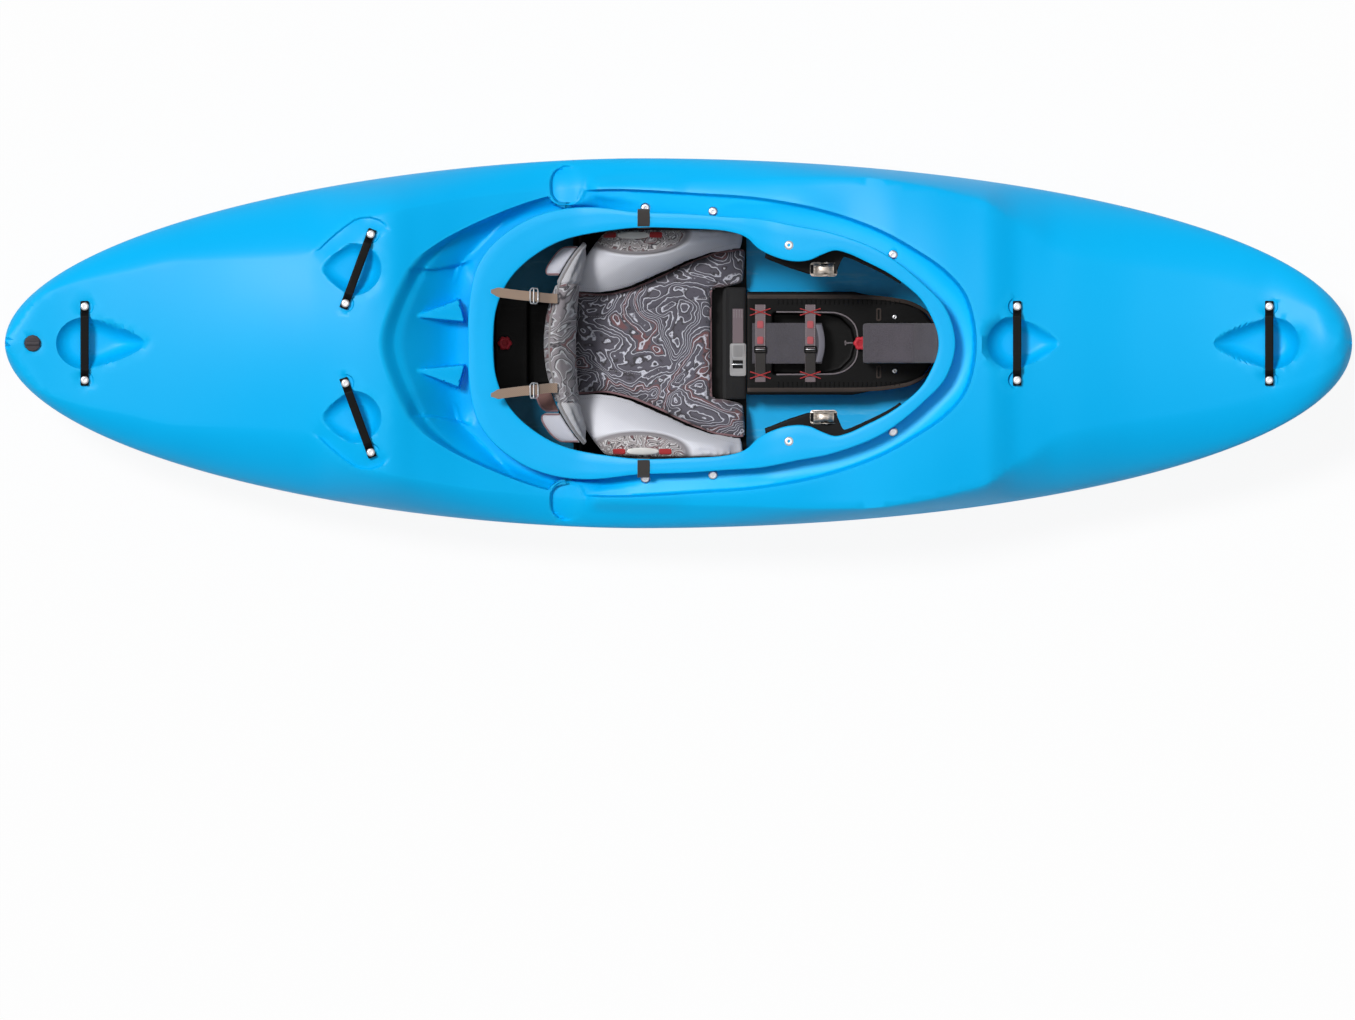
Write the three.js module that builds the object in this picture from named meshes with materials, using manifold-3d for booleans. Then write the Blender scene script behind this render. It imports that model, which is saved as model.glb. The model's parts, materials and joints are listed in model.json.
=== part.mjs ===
// Whitewater kayak: moulded hull with coaming, carry handles, outfitted cockpit.
// Millimetres. +X is the bow, +Y is port, +Z is up, z = 0 is the flat of the bottom.

import * as THREE from 'three';
import { mergeVertices } from 'three/addons/utils/BufferGeometryUtils.js';
import Module from 'manifold-3d';

const wasm = await Module();
wasm.setup();

// Hull
const LENGTH = 2560;
const BEAM = 703;
const DEPTH = 383;
const WALL = 6;
const CHINE_RISE = 35;

// Coaming
const TROUGH_DEPTH = 46;
const TROUGH_WALL_RUN = 19;
const TROUGH_FLAT_RUN = 30;
const LIP_THICKNESS = 8;
const LIP_ROUND = 3;
const FLANGE_DROP = 9;

// Clearances
const GAP = 0.3;
const HOLE_GAP = 0.5;
const SLIDE_GAP = 4;
const OVERRUN = 20;

// Carry handles
const HANDLE_LENGTH = 161;
const HANDLE_WIDTH = 16;
const HANDLE_THICKNESS = 7;
const HANDLE_ARCH = 9;
const HANDLE_FOOT = 19;
const HANDLE_BOLT_PITCH = 140;
const HANDLE_SEAT_RADIUS = 17;
const HANDLE_SEAT_DEPTH = 1.5;
const DISH_HALF_WIDTH = 50;
const DISH_ROUND_LENGTH = 55;
const DISH_DEPTH = 26;
const STERN_DISH_TIP = 108;
const BOW_DISH_TIP = 107;
const FRONT_DISH_TIP = 86;
const REAR_DISH_TIP = 62;

// Bolts
const BOLT_HEAD_RADIUS = 8;
const RIM_BOLT_HEAD_RADIUS = 9;
const BOLT_HEAD_HEIGHT = 4;
const BOLT_SHANK_RADIUS = 4;
const BOLT_LENGTH = 18;
const RIM_BOLT_LENGTH = 22;
const RIM_SPOTFACE = 2.2;
const RAIL_SPOTFACE = 3;
const NUT_RADIUS = 7;
const NUT_HEIGHT = 6;
const RAIL_BOLT_LENGTH = 22;

// Drain plug
const PLUG_RADIUS = 16;
const PLUG_HEAD = 8;
const PLUG_STEM_RADIUS = 9;
const PLUG_STEM = 20;
const PLUG_GRIP_WIDTH = 6;
const PLUG_GRIP_HEIGHT = 5;

// Side scoops and rim tabs
const SCOOP_DEPTH = 12;
const TAB_LENGTH = 25;
const TAB_THICKNESS = 2;
const TAB_LIFT = 0.9;
const TAB_FLAP = 12;

// Foam pillars
const REAR_PILLAR_WIDTH = 90;
const FRONT_PILLAR_WIDTH = 76;
const PILLAR_NOSE_HEIGHT = 20;
const PILLAR_NOSE_LENGTH = 200;
const PILLAR_FOOT_LENGTH = 59;
const PILLAR_SPACE = 60;

// Seat
const SEAT_LENGTH = 357;
const SEAT_SIDE_ROOM = 129.5;
const SEAT_FLOOR_INSET = 72;
const SEAT_SHEET = 6;
const SEAT_BEND_HEIGHT = 45;
const SEAT_WALL_HEIGHT = 175;
const SEAT_WALL_SETBACK = 28;
const SEAT_WALL_LENGTH = 323;

// Seat cushion
const CUSHION_SETBACK = 17;
const CUSHION_REAR_INSET = 117;
const CUSHION_FRONT_INSET = 36;
const CUSHION_HEIGHT = 50;
const CUSHION_DISH = 48;
const CUSHION_ROUND = 14;
const CHANNEL_DEPTH = 4;
const LIFTER_NOTCH = 62;

// Leg lifter
const LIFTER_INSET = 80;
const LIFTER_LENGTH = 46;
const LIFTER_LEAN = 14;
const LIFTER_HEIGHT = 62;
const LEG_STRAP_LENGTH = 66;
const LEG_STRAP_WIDTH = 21;
const LEG_STRAP_THICKNESS = 2;
const LEG_BUCKLE_LENGTH = 62;
const LEG_BUCKLE_WIDTH = 30;
const LEG_BUCKLE_HEIGHT = 9;

// Hip pads
const HIP_PAD_SETBACK = 88;
const HIP_PAD_LENGTH = 261;
const HIP_PAD_BASE = 114;
const HIP_PAD_TOP = 190;
const HIP_PAD_CREST = 22;
const HIP_PAD_BULGE = 8;

// Backband
const BACKBAND_RADIUS = 285;
const BACKBAND_INSET = 26;
const BACKBAND_THICKNESS = 25;
const BACKBAND_SWELL = 5;
const BACKBAND_BASE = 95;
const BACKBAND_TOP = 245;
const BACKBAND_END_DROP = 45;
const BACKBAND_AFT = 68;
const PIVOT_HEIGHT = 112;
const PIVOT_SETBACK = 40;
const PIVOT_RADIUS = 7;

// Backband strap tails
const TAIL_WIDTH = 25;
const TAIL_THICKNESS = 2.5;
const TAIL_SPREAD = 90;
const TAIL_RISE = 36;
const TAIL_BUCKLE_RUN = 45;
const TAIL_BUCKLE_RISE = 38;
const TAIL_BUCKLE_HEIGHT = 6;
const TAIL_RUN = 128;

// Rear tray
const TRAY_HALF_WIDTH = 89;
const TRAY_LENGTH = 120;
const TRAY_BASE = 14;
const TRAY_TOP = 70;
const TRAY_WELL_LENGTH = 46;
const TRAY_WELL_DEPTH = 40;
const TRAY_BORDER = 12;
const TONGUE_LIFT = 3;
const TONGUE_LAP = 12;

// Knobs
const KNOB_RADIUS = 15;
const KNOB_HEIGHT = 20;
const KNOB_LOBES = 5;
const REAR_KNOB_INSET = 17;
const FRONT_KNOB_INSET = 146;

// Centre console
const CONSOLE_LENGTH = 361;
const CONSOLE_HALF_WIDTH = 98;
const CONSOLE_NOSE_HALF_WIDTH = 76;
const CONSOLE_NOSE_LENGTH = 60;
const CONSOLE_BASE = 24;
const CONSOLE_TOP = 95;
const WELL_SETBACK = 49;
const WELL_FRONT_INSET = 154;
const WELL_HALF_WIDTH = 58;
const WELL_DEPTH = 50;
const MAT_FRONT_INSET = 50;
const MAT_SIDE_INSET = 19;
const MAT_THICKNESS = 12;
const CONSOLE_STRAP_WIDTH = 19;
const CONSOLE_STRAP_HALF_LENGTH = 74;
const CONSOLE_STRAP_THICKNESS = 3;
const REAR_STRAP_SETBACK = 26;
const FRONT_STRAP_SETBACK = 121;
const SLIDER_LENGTH = 14;
const SLIDER_HEIGHT = 4;

// Thigh braces and ratchets
const BRACE_THICKNESS = 8;
const BRACE_TRAVEL = 20;
const RATCHET_LENGTH = 51;
const RATCHET_WIDTH = 28;
const RATCHET_HEIGHT = 9;
const RATCHET_WALL = 3;
const LEVER_LENGTH = 38;
const LEVER_THICKNESS = 5;
const LEVER_PIN_RADIUS = 3;

// Footbrace
const RAIL_LENGTH = 185;
const RAIL_HEIGHT = 36;
const RAIL_THICKNESS = 20;
const RAIL_BOLT_SETBACK = 13;
const RAIL_BOLT_PITCH = 47.4;
const FOOTPLATE_THICKNESS = 12;
const FOOTPAD_THICKNESS = 20;
const FOOTPLATE_TOP = 252;
const FOOTPLATE_SHOULDER = 130;
const FOOTPLATE_BASE = 78;
const FOOTPLATE_TAPER = 66;
const FOOTPLATE_SPACE = 43;
const FOOTPAD_MARGIN = 14;
const FOOTPLATE_SETBACK = 130;

// Facet counts
const LOOP_STEPS = 56;
const DISH_STEPS = 16;
const ROUND_STEPS = 12;
const HOLE_STEPS = 8;

// Shares of the length, the half beam and the depth
const widestShare = 0.4714;
const sternWidthPower = 1.8;
const sternWidthRoot = 0.515;
const bowWidthRoot = 0.487;
const flatStartShare = 0.397;
const flatEndShare = 0.5457;
const sternKeelShare = 0.568;
const sternKeelPower = 2.15;
const bowKeelShare = 0.687;
const bowKeelPower = 2.95;
const chineWidthShare = 0.8;
const chineHeightShare = 0.3;
const bottomFlatShare = 0.5;
const bottomPower = 2;
const creaseLimitShare = 0.97;
const deckRoundPower = 1.35;
const deckRoundRoot = 0.62;

const stationShares = [
  0.0008, 0.004, 0.012, 0.025, 0.045, 0.07, 0.1, 0.135, 0.17, 0.205, 0.235, 0.26, 0.282,
  0.305, 0.335, 0.365, 0.397, 0.43, 0.471, 0.51, 0.546, 0.585, 0.625, 0.66, 0.69, 0.714,
  0.732, 0.75, 0.77, 0.8, 0.84, 0.88, 0.915, 0.945, 0.968, 0.984, 0.993, 0.9985,
];

const deckHeightShares = [
  [0, 0.707], [0.041, 0.697], [0.1, 0.722], [0.16, 0.767], [0.219, 0.836], [0.282, 0.901],
  [0.308, 0.849], [0.338, 0.779], [0.3675, 0.725], [0.397, 0.675], [0.421, 0.65],
  [0.457, 0.665], [0.486, 0.7], [0.516, 0.744], [0.546, 0.799], [0.575, 0.854],
  [0.605, 0.893], [0.635, 0.928], [0.664, 0.963], [0.705, 0.985], [0.7275, 0.985],
  [0.7535, 0.935], [0.783, 0.911], [0.843, 0.856], [0.902, 0.836], [0.932, 0.836],
  [0.961, 0.871], [0.982, 0.903], [0.9926, 0.896], [1, 0.834],
];

const rimHeightShares = [
  [0.28, 0.7], [0.35, 0.695], [0.397, 0.685], [0.421, 0.685], [0.457, 0.727],
  [0.486, 0.772], [0.516, 0.821], [0.546, 0.871], [0.575, 0.9256], [0.605, 0.95],
  [0.635, 0.975], [0.664, 0.993], [0.7, 1], [0.74, 1],
];

const shoulderHeightShares = [
  [0, 0.635], [0.041, 0.605], [0.1, 0.566], [0.167, 0.536], [0.293, 0.551], [0.457, 0.556],
  [0.5, 0.586], [0.546, 0.625], [0.59, 0.65], [0.635, 0.635], [0.679, 0.6], [0.737, 0.556],
  [0.823, 0.583], [0.89, 0.655], [0.94, 0.725], [0.984, 0.78], [1, 0.78],
];

const creaseWidthShares = [
  [0, 0.03], [0.0245, 0.243], [0.053, 0.324], [0.091, 0.381], [0.129, 0.438], [0.186, 0.449],
  [0.2235, 0.47], [0.246, 0.589], [0.275, 0.686], [0.308, 0.735], [0.353, 0.789],
  [0.403, 0.822], [0.471, 0.865], [0.546, 0.876], [0.605, 0.89], [0.635, 0.89],
  [0.679, 0.85], [0.714, 0.79], [0.7275, 0.76], [0.747, 0.654], [0.762, 0.584],
  [0.781, 0.481], [0.823, 0.422], [0.88, 0.354], [0.936, 0.257], [0.974, 0.162],
  [0.9926, 0.076], [1, 0],
];

const creaseDropShares = [
  [0, 0.1], [0.2235, 0.12], [0.3, 0.15], [0.6, 0.18], [0.7, 0.25], [0.75, 0.2], [0.8, 0.12],
  [1, 0.15],
];

const openingShares = [
  [0.3626, 0], [0.3653, 0.2], [0.3756, 0.354], [0.3938, 0.478], [0.4165, 0.562],
  [0.4566, 0.616], [0.475, 0.6255], [0.5, 0.6216], [0.536, 0.605], [0.55, 0.573],
  [0.56, 0.508], [0.5746, 0.459], [0.5865, 0.442], [0.597, 0.4486], [0.6073, 0.481],
  [0.616, 0.501], [0.6259, 0.485], [0.64, 0.438], [0.6555, 0.38], [0.669, 0.311],
  [0.68, 0.236], [0.6867, 0.156], [0.6916, 0.07], [0.693, 0],
];

const lipShares = [
  [0.3504, 0], [0.356, 0.362], [0.369, 0.486], [0.383, 0.573], [0.3979, 0.627],
  [0.4135, 0.665], [0.443, 0.706], [0.4677, 0.709], [0.504, 0.701], [0.5345, 0.686],
  [0.5605, 0.673], [0.59, 0.632], [0.6125, 0.605], [0.643, 0.54], [0.6607, 0.48],
  [0.681, 0.34], [0.6986, 0.19], [0.7055, 0],
];

const troughShares = [
  [0.2784, 0], [0.2895, 0.27], [0.303, 0.436], [0.322, 0.546], [0.36, 0.685],
  [0.403, 0.795], [0.4417, 0.838], [0.516, 0.838], [0.5605, 0.816], [0.608, 0.75],
  [0.648, 0.67], [0.678, 0.546], [0.7, 0.43], [0.7149, 0.27], [0.7216, 0],
];

// Cockpit shares
const bowlSlopeShare = 0.62;
const neckShare = 0.45;
const cutShare = 0.2;
const openingBaseShare = 0.465;
const seatRearShare = 0.411;
const channelShare = 0.5;
const sideScoopShares = { aft: 0.404, fore: 0.4315, inner: 0.768 };
const tabShare = 0.4737;
const tabSpanShares = { inner: 0.622, outer: 0.712 };
const rimBoltShares = [
  { x: 0.4755, y: 0.731, name: 'rear', onLip: false },
  { x: 0.5256, y: 0.711, name: 'mid', onLip: false },
  { x: 0.582, y: 0.53, name: 'brace_rear', onLip: true },
  { x: 0.6592, y: 0.478, name: 'brace_front', onLip: false },
];

// Handle shares
const sternHandleShare = 0.0592;
const bowHandleShare = 0.9384;
const frontHandleShare = 0.7513;
const rearHandleShares = { innerX: 0.2528, innerY: 0.219, outerX: 0.2713, outerY: 0.585 };
const rearDishShares = { x: 0.2569, y: 0.405 };
const plugShare = 0.0206;

// Pillar shares
const rearPillarShares = { aft: 0.109, fore: 0.272 };
const pillarTopShares = [[0, 0.42], [0.064, 0.46], [0.474, 0.58], [0.68, 0.8], [0.807, 1]];

// Thigh brace outline, from the rear clockwise, shares of the length and of the half beam
const braceShares = [
  [0.564, 0.46], [0.583, 0.405], [0.596, 0.375], [0.62, 0.375], [0.64, 0.36], [0.664, 0.315],
  [0.672, 0.4], [0.664, 0.53], [0.625, 0.61], [0.585, 0.61], [0.566, 0.56],
];
const ratchetShares = { x: 0.608, y: 0.4 };
const railHeightShare = 0.465;

// Places along the hull
const HALF = BEAM / 2;
const along = (share) => (share - 0.5) * LENGTH;
const across = (share) => share * HALF;
const up = (share) => share * DEPTH;
const shareAt = (x) => x / LENGTH + 0.5;
const mix = (a, b, t) => a + (b - a) * t;

function smooth(table) {
  const xs = table.map(([x]) => x);
  const ys = table.map(([, y]) => y);
  const last = xs.length - 1;
  const slopes = xs.map((_, i) => {
    if (i === 0 || i === last) return 0;
    const before = (ys[i] - ys[i - 1]) / (xs[i] - xs[i - 1]);
    const after = (ys[i + 1] - ys[i]) / (xs[i + 1] - xs[i]);
    if (before * after <= 0) return 0;
    return (2 * before * after) / (before + after);
  });
  return (x) => {
    if (x <= xs[0]) return ys[0];
    if (x >= xs[last]) return ys[last];
    let i = 0;
    while (x > xs[i + 1]) i += 1;
    const width = xs[i + 1] - xs[i];
    const t = (x - xs[i]) / width;
    const t2 = t * t;
    const t3 = t2 * t;
    return ys[i] * (2 * t3 - 3 * t2 + 1) + slopes[i] * width * (t3 - 2 * t2 + t)
      + ys[i + 1] * (3 * t2 - 2 * t3) + slopes[i + 1] * width * (t3 - t2);
  };
}

const deckHeight = smooth(deckHeightShares);
const rimHeight = smooth(rimHeightShares);
const shoulderHeight = smooth(shoulderHeightShares);
const creaseWidth = smooth(creaseWidthShares);
const creaseDrop = smooth(creaseDropShares);
const rimZ = (x) => up(rimHeight(shareAt(x)));
const troughZ = (x) => rimZ(x) - TROUGH_DEPTH;
const flangeZ = (x) => troughZ(x) - FLANGE_DROP;

function halfBeamAt(s) {
  if (s < widestShare) {
    const t = (widestShare - s) / widestShare;
    return HALF * (1 - t ** sternWidthPower) ** sternWidthRoot;
  }
  const t = (s - widestShare) / (1 - widestShare);
  return HALF * (1 - t ** 2) ** bowWidthRoot;
}

function keelAt(s) {
  if (s < flatStartShare) {
    return up(sternKeelShare) * ((flatStartShare - s) / flatStartShare) ** sternKeelPower;
  }
  if (s > flatEndShare) {
    return up(bowKeelShare) * ((s - flatEndShare) / (1 - flatEndShare)) ** bowKeelPower;
  }
  return 0;
}

function frameAt(s) {
  const half = halfBeamAt(s);
  const keel = keelAt(s);
  const shoulder = up(shoulderHeight(s));
  const centre = up(deckHeight(s));
  const crease = Math.min(across(creaseWidth(s)), half * creaseLimitShare);
  const chine = keel + Math.min(CHINE_RISE, chineHeightShare * (shoulder - keel));
  const creaseZ = centre - creaseDrop(s) * (centre - shoulder);
  return { half, keel, shoulder, centre, crease, chine, creaseZ };
}

function deckZ(x, y) {
  const f = frameAt(shareAt(x));
  const offset = Math.abs(y);
  if (offset <= f.crease) return f.centre - (f.centre - f.creaseZ) * (offset / f.crease) ** 2;
  const t = Math.min((offset - f.crease) / (f.half - f.crease), 1);
  return f.shoulder + (f.creaseZ - f.shoulder) * (1 - t ** deckRoundPower) ** deckRoundRoot;
}

// One side of a cross section, from the keel round the gunwale to the deck's centre
function halfSection(s) {
  const f = frameAt(s);
  const chineHalf = f.half * chineWidthShare;
  const points = [];
  for (const t of [0, bottomFlatShare, 0.82, 1]) {
    const bend = Math.max(0, (t - bottomFlatShare) / (1 - bottomFlatShare)) ** bottomPower;
    points.push([chineHalf * t, f.keel + (f.chine - f.keel) * bend]);
  }
  for (const t of [0.33, 0.7, 1]) {
    points.push([mix(chineHalf, f.half, Math.sin(t * Math.PI / 2)), mix(f.chine, f.shoulder, t)]);
  }
  for (const t of [0.88, 0.66, 0.36, 0]) {
    const y = mix(f.crease, f.half, t);
    points.push([y, deckZ(along(s), y)]);
  }
  for (const t of [0.6, 0]) {
    const y = f.crease * t;
    points.push([y, deckZ(along(s), y)]);
  }
  return points;
}

function inset(points, distance) {
  const last = points.length - 1;
  return points.map(([y, z], i) => {
    if (i === 0) return [0, z + distance];
    if (i === last) return [0, z - distance];
    const [ya, za] = points[i - 1];
    const [yb, zb] = points[i + 1];
    const a = new THREE.Vector2(y - ya, z - za).normalize();
    const b = new THREE.Vector2(yb - y, zb - z).normalize();
    const normal = new THREE.Vector2(-(a.y + b.y), a.x + b.x).normalize();
    const reach = distance / Math.max(Math.abs(normal.dot(new THREE.Vector2(-a.y, a.x))), 0.6);
    return [y + normal.x * reach, z + normal.y * reach];
  });
}

// Solids
function closed(geometry) {
  let g = geometry.clone();
  g.deleteAttribute('normal');
  g.deleteAttribute('uv');
  g = mergeVertices(g, 1e-3);
  const position = g.attributes.position;
  const index = Array.from(g.index.array);
  const corner = (i) => new THREE.Vector3().fromBufferAttribute(position, i);
  let volume = 0;
  for (let i = 0; i < index.length; i += 3) {
    volume += corner(index[i]).dot(corner(index[i + 1]).cross(corner(index[i + 2])));
  }
  if (volume < 0) {
    for (let i = 0; i < index.length; i += 3) {
      [index[i], index[i + 1]] = [index[i + 1], index[i]];
    }
    g.setIndex(index);
  }
  return g;
}

function solid(geometry) {
  const g = closed(geometry);
  return new wasm.Manifold(new wasm.Mesh({
    numProp: 3,
    vertProperties: new Float32Array(g.attributes.position.array),
    triVerts: new Uint32Array(g.index.array),
  }));
}

function geometryOf(manifold) {
  const mesh = manifold.getMesh();
  const g = new THREE.BufferGeometry();
  g.setAttribute('position', new THREE.BufferAttribute(new Float32Array(mesh.vertProperties), 3));
  g.setIndex(new THREE.BufferAttribute(new Uint32Array(mesh.triVerts), 1));
  return g;
}

function cutBy(geometry, ...cutters) {
  return geometryOf(cutters.reduce((body, cutter) => body.subtract(solid(cutter)), solid(geometry)));
}

function joined(...geometries) {
  const [first, ...others] = geometries.map(solid);
  return geometryOf(others.reduce((body, other) => body.add(other), first));
}

function kept(geometry, space) {
  return geometryOf(solid(geometry).intersect(space));
}

function shell(positions, triangles) {
  const g = new THREE.BufferGeometry();
  g.setAttribute('position', new THREE.Float32BufferAttribute(positions.flat(), 3));
  g.setIndex(triangles.flat());
  return g;
}

// Closed rings of equal count, one after another, with a point or a flat end
function loft(rings, startPoint, endPoint) {
  const count = rings[0].length;
  const positions = [...rings.flat(), startPoint, endPoint];
  const start = positions.length - 2;
  const end = positions.length - 1;
  const triangles = [];
  for (let r = 0; r < rings.length - 1; r += 1) {
    for (let i = 0; i < count; i += 1) {
      const a = r * count + i;
      const b = r * count + (i + 1) % count;
      triangles.push([a, b, a + count], [b, b + count, a + count]);
    }
  }
  const lastRing = (rings.length - 1) * count;
  for (let i = 0; i < count; i += 1) {
    const j = (i + 1) % count;
    triangles.push([start, j, i], [end, lastRing + i, lastRing + j]);
  }
  return shell(positions, triangles);
}

const centreOf = (ring) => ring
  .reduce((sum, p) => sum.map((v, k) => v + p[k] / ring.length), [0, 0, 0]);
const flatLoft = (rings) => loft(rings, centreOf(rings[0]), centreOf(rings[rings.length - 1]));

// A closed path of closed sections, which makes a ring
function ringLoft(sections) {
  const count = sections[0].length;
  const total = sections.length;
  const triangles = [];
  for (let r = 0; r < total; r += 1) {
    for (let i = 0; i < count; i += 1) {
      const a = r * count + i;
      const b = r * count + (i + 1) % count;
      const c = ((r + 1) % total) * count + i;
      const d = ((r + 1) % total) * count + (i + 1) % count;
      triangles.push([a, b, c], [b, d, c]);
    }
  }
  return shell(sections.flat(), triangles);
}

function prism(outline, base, height) {
  const shape = new THREE.Shape(outline.map(([x, y]) => new THREE.Vector2(x, y)));
  const g = new THREE.ExtrudeGeometry(shape, { depth: height, bevelEnabled: false });
  return g.translate(0, 0, base);
}

// An outline in x and z, carried across from one y to another
function slab(outline, from, to) {
  const g = prism(outline, 0, to - from);
  g.rotateX(Math.PI / 2);
  return g.translate(0, to, 0);
}

// An outline in y and z, carried along from one x to another
function rail(outline, from, to) {
  const g = prism(outline, 0, to - from);
  g.rotateX(Math.PI / 2);
  g.rotateZ(Math.PI / 2);
  return g.translate(from, 0, 0);
}

function block(x0, x1, y0, y1, z0, z1) {
  const g = new THREE.BoxGeometry(x1 - x0, y1 - y0, z1 - z0);
  return g.translate((x0 + x1) / 2, (y0 + y1) / 2, (z0 + z1) / 2);
}

function rod(radius, from, to, steps = HOLE_STEPS) {
  const g = new THREE.CylinderGeometry(radius, radius, to - from, steps);
  g.rotateX(Math.PI / 2);
  return g.translate(0, 0, (from + to) / 2);
}

function turned(profile, steps = ROUND_STEPS) {
  const g = new THREE.LatheGeometry(profile.map(([r, z]) => new THREE.Vector2(r, z)), steps);
  return g.rotateX(Math.PI / 2);
}

const mirrored = (geometry) => closed(geometry.clone().scale(1, -1, 1));
const sideOf = (geometry, side) => (side > 0 ? geometry : mirrored(geometry));

// Hull body and the space inside it
function hullRing(s, depth) {
  const half = inset(halfSection(s), depth);
  const port = half.map(([y, z]) => [along(s), y, z]);
  const starboard = half.slice(1, -1).reverse().map(([y, z]) => [along(s), -y, z]);
  return [...port, ...starboard];
}

function outerBody() {
  const rings = stationShares.map((s) => hullRing(s, 0));
  const stern = [along(0), 0, (keelAt(0) + up(deckHeight(0))) / 2];
  const bow = [along(1), 0, (keelAt(1) + up(deckHeight(1))) / 2];
  return loft(rings, stern, bow);
}

function innerBody(depth) {
  return flatLoft(stationShares.slice(3, -3).map((s) => hullRing(s, depth)));
}

// Loops round the cockpit: opening, lip edge and the top of the trough's outer wall
function loopOf(table) {
  const port = table.map(([s, w]) => new THREE.Vector3(along(s), across(w), 0));
  const starboard = port.slice(1, -1).reverse().map((p) => new THREE.Vector3(p.x, -p.y, 0));
  const curve = new THREE.CatmullRomCurve3([...port, ...starboard], true, 'centripetal');
  return curve.getSpacedPoints(LOOP_STEPS).slice(0, -1);
}

const openingLoop = loopOf(openingShares);
const lipLoop = loopOf(lipShares);
const troughLoop = loopOf(troughShares);

function coamingRing() {
  return ringLoft(openingLoop.map((inner, i) => {
    const outer = lipLoop[i];
    const at = (t, drop) => {
      const p = inner.clone().lerp(outer, t);
      return [p.x, p.y, rimZ(p.x) - drop];
    };
    const roundShare = LIP_ROUND / inner.distanceTo(outer);
    const foot = TROUGH_DEPTH + FLANGE_DROP;
    return [
      at(0, foot), at(0, LIP_ROUND), at(roundShare, 0), at(1 - roundShare, 0), at(1, LIP_ROUND),
      at(1, LIP_THICKNESS), at(neckShare, LIP_THICKNESS), at(neckShare, foot),
    ];
  }));
}

function troughCutter(grow, startShare = cutShare) {
  return ringLoft(openingLoop.map((opening, i) => {
    const lip = lipLoop[i];
    const outward = troughLoop[i].clone().sub(lip).normalize();
    const edge = troughLoop[i].clone().addScaledVector(outward, grow);
    const run = troughLoop[i].distanceTo(lip);
    const foot = edge.clone().addScaledVector(outward, -TROUGH_WALL_RUN);
    const inner = opening.clone().lerp(lip, startShare);
    const floor = troughZ(lip.x) - grow;
    const rise = bowlSlopeShare * Math.max(0, run - TROUGH_WALL_RUN - TROUGH_FLAT_RUN);
    const brink = deckZ(troughLoop[i].x, troughLoop[i].y) - grow;
    const top = DEPTH + OVERRUN;
    return [
      [inner.x, inner.y, top], [inner.x, inner.y, floor], [lip.x, lip.y, floor],
      [foot.x, foot.y, Math.min(floor + rise, brink)], [edge.x, edge.y, brink],
      [edge.x, edge.y, top],
    ];
  }));
}

function openingCutter() {
  const outline = openingLoop.map((p, i) => {
    const q = p.clone().lerp(lipLoop[i], cutShare);
    return [q.x, q.y];
  });
  return prism(outline, up(openingBaseShare), DEPTH);
}

// A finger recess: round at one end, drawn to a point at the other
function dish(x, y, tip, towards, grow) {
  const levels = [[-1, 1], [0, 1], [0.55, 0.88], [1, 0.5]];
  const base = deckZ(x, y);
  const depth = DISH_DEPTH + grow;
  const rings = levels.map(([level, scale]) => {
    const z = level < 0 ? base + OVERRUN : base - depth * level;
    const ring = [];
    for (let i = 0; i < DISH_STEPS; i += 1) {
      const angle = (i / DISH_STEPS) * 2 * Math.PI;
      const ahead = Math.cos(angle);
      const length = (ahead > 0 ? tip : DISH_ROUND_LENGTH) + grow;
      const narrow = ahead > 0 ? 1 - 0.45 * ahead : 1;
      const width = (DISH_HALF_WIDTH + grow) * narrow;
      ring.push([
        x + towards * length * ahead * scale, y + width * Math.sin(angle) * scale, z,
      ]);
    }
    return ring;
  });
  return flatLoft(rings);
}

const dishes = [
  { x: along(sternHandleShare), y: 0, tip: STERN_DISH_TIP, towards: 1 },
  { x: along(bowHandleShare), y: 0, tip: BOW_DISH_TIP, towards: -1 },
  { x: along(frontHandleShare), y: 0, tip: FRONT_DISH_TIP, towards: 1 },
  ...[1, -1].map((side) => ({
    x: along(rearDishShares.x), y: side * across(rearDishShares.y), tip: REAR_DISH_TIP, towards: -1,
  })),
];

function sideScoop(side, grow) {
  const { aft, fore, inner } = sideScoopShares;
  const x0 = along(aft) - grow;
  const x1 = along(fore) + grow;
  const deck = deckZ(along(aft), across(inner));
  const floor = deck - SCOOP_DEPTH - grow;
  const outline = [
    [x0, floor], [mix(x0, x1, 0.4), floor], [x1, deck - grow], [x1, deck + OVERRUN],
    [x0, deck + OVERRUN],
  ];
  return sideOf(slab(outline, across(inner) - grow, HALF + OVERRUN - grow), side);
}

// Handle places: a frame whose y runs from bolt to bolt and whose z leaves the deck
function boltFrame(ax, ay, bx, by) {
  const a = new THREE.Vector3(ax, ay, deckZ(ax, ay) - HANDLE_SEAT_DEPTH);
  const b = new THREE.Vector3(bx, by, deckZ(bx, by) - HANDLE_SEAT_DEPTH);
  const boltLine = b.clone().sub(a).normalize();
  const ahead = boltLine.clone().cross(new THREE.Vector3(0, 0, 1)).normalize();
  const upward = ahead.clone().cross(boltLine).normalize();
  const middle = a.clone().add(b).multiplyScalar(0.5);
  return new THREE.Matrix4().makeBasis(ahead, boltLine, upward).setPosition(middle);
}

function straightFrame(share) {
  const x = along(share);
  return boltFrame(x, -HANDLE_BOLT_PITCH / 2, x, HANDLE_BOLT_PITCH / 2);
}

function rearFrame(side) {
  const { innerX, innerY, outerX, outerY } = rearHandleShares;
  const a = [along(innerX), side * across(innerY)];
  const b = [along(outerX), side * across(outerY)];
  return side > 0 ? boltFrame(...a, ...b) : boltFrame(...b, ...a);
}

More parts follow.
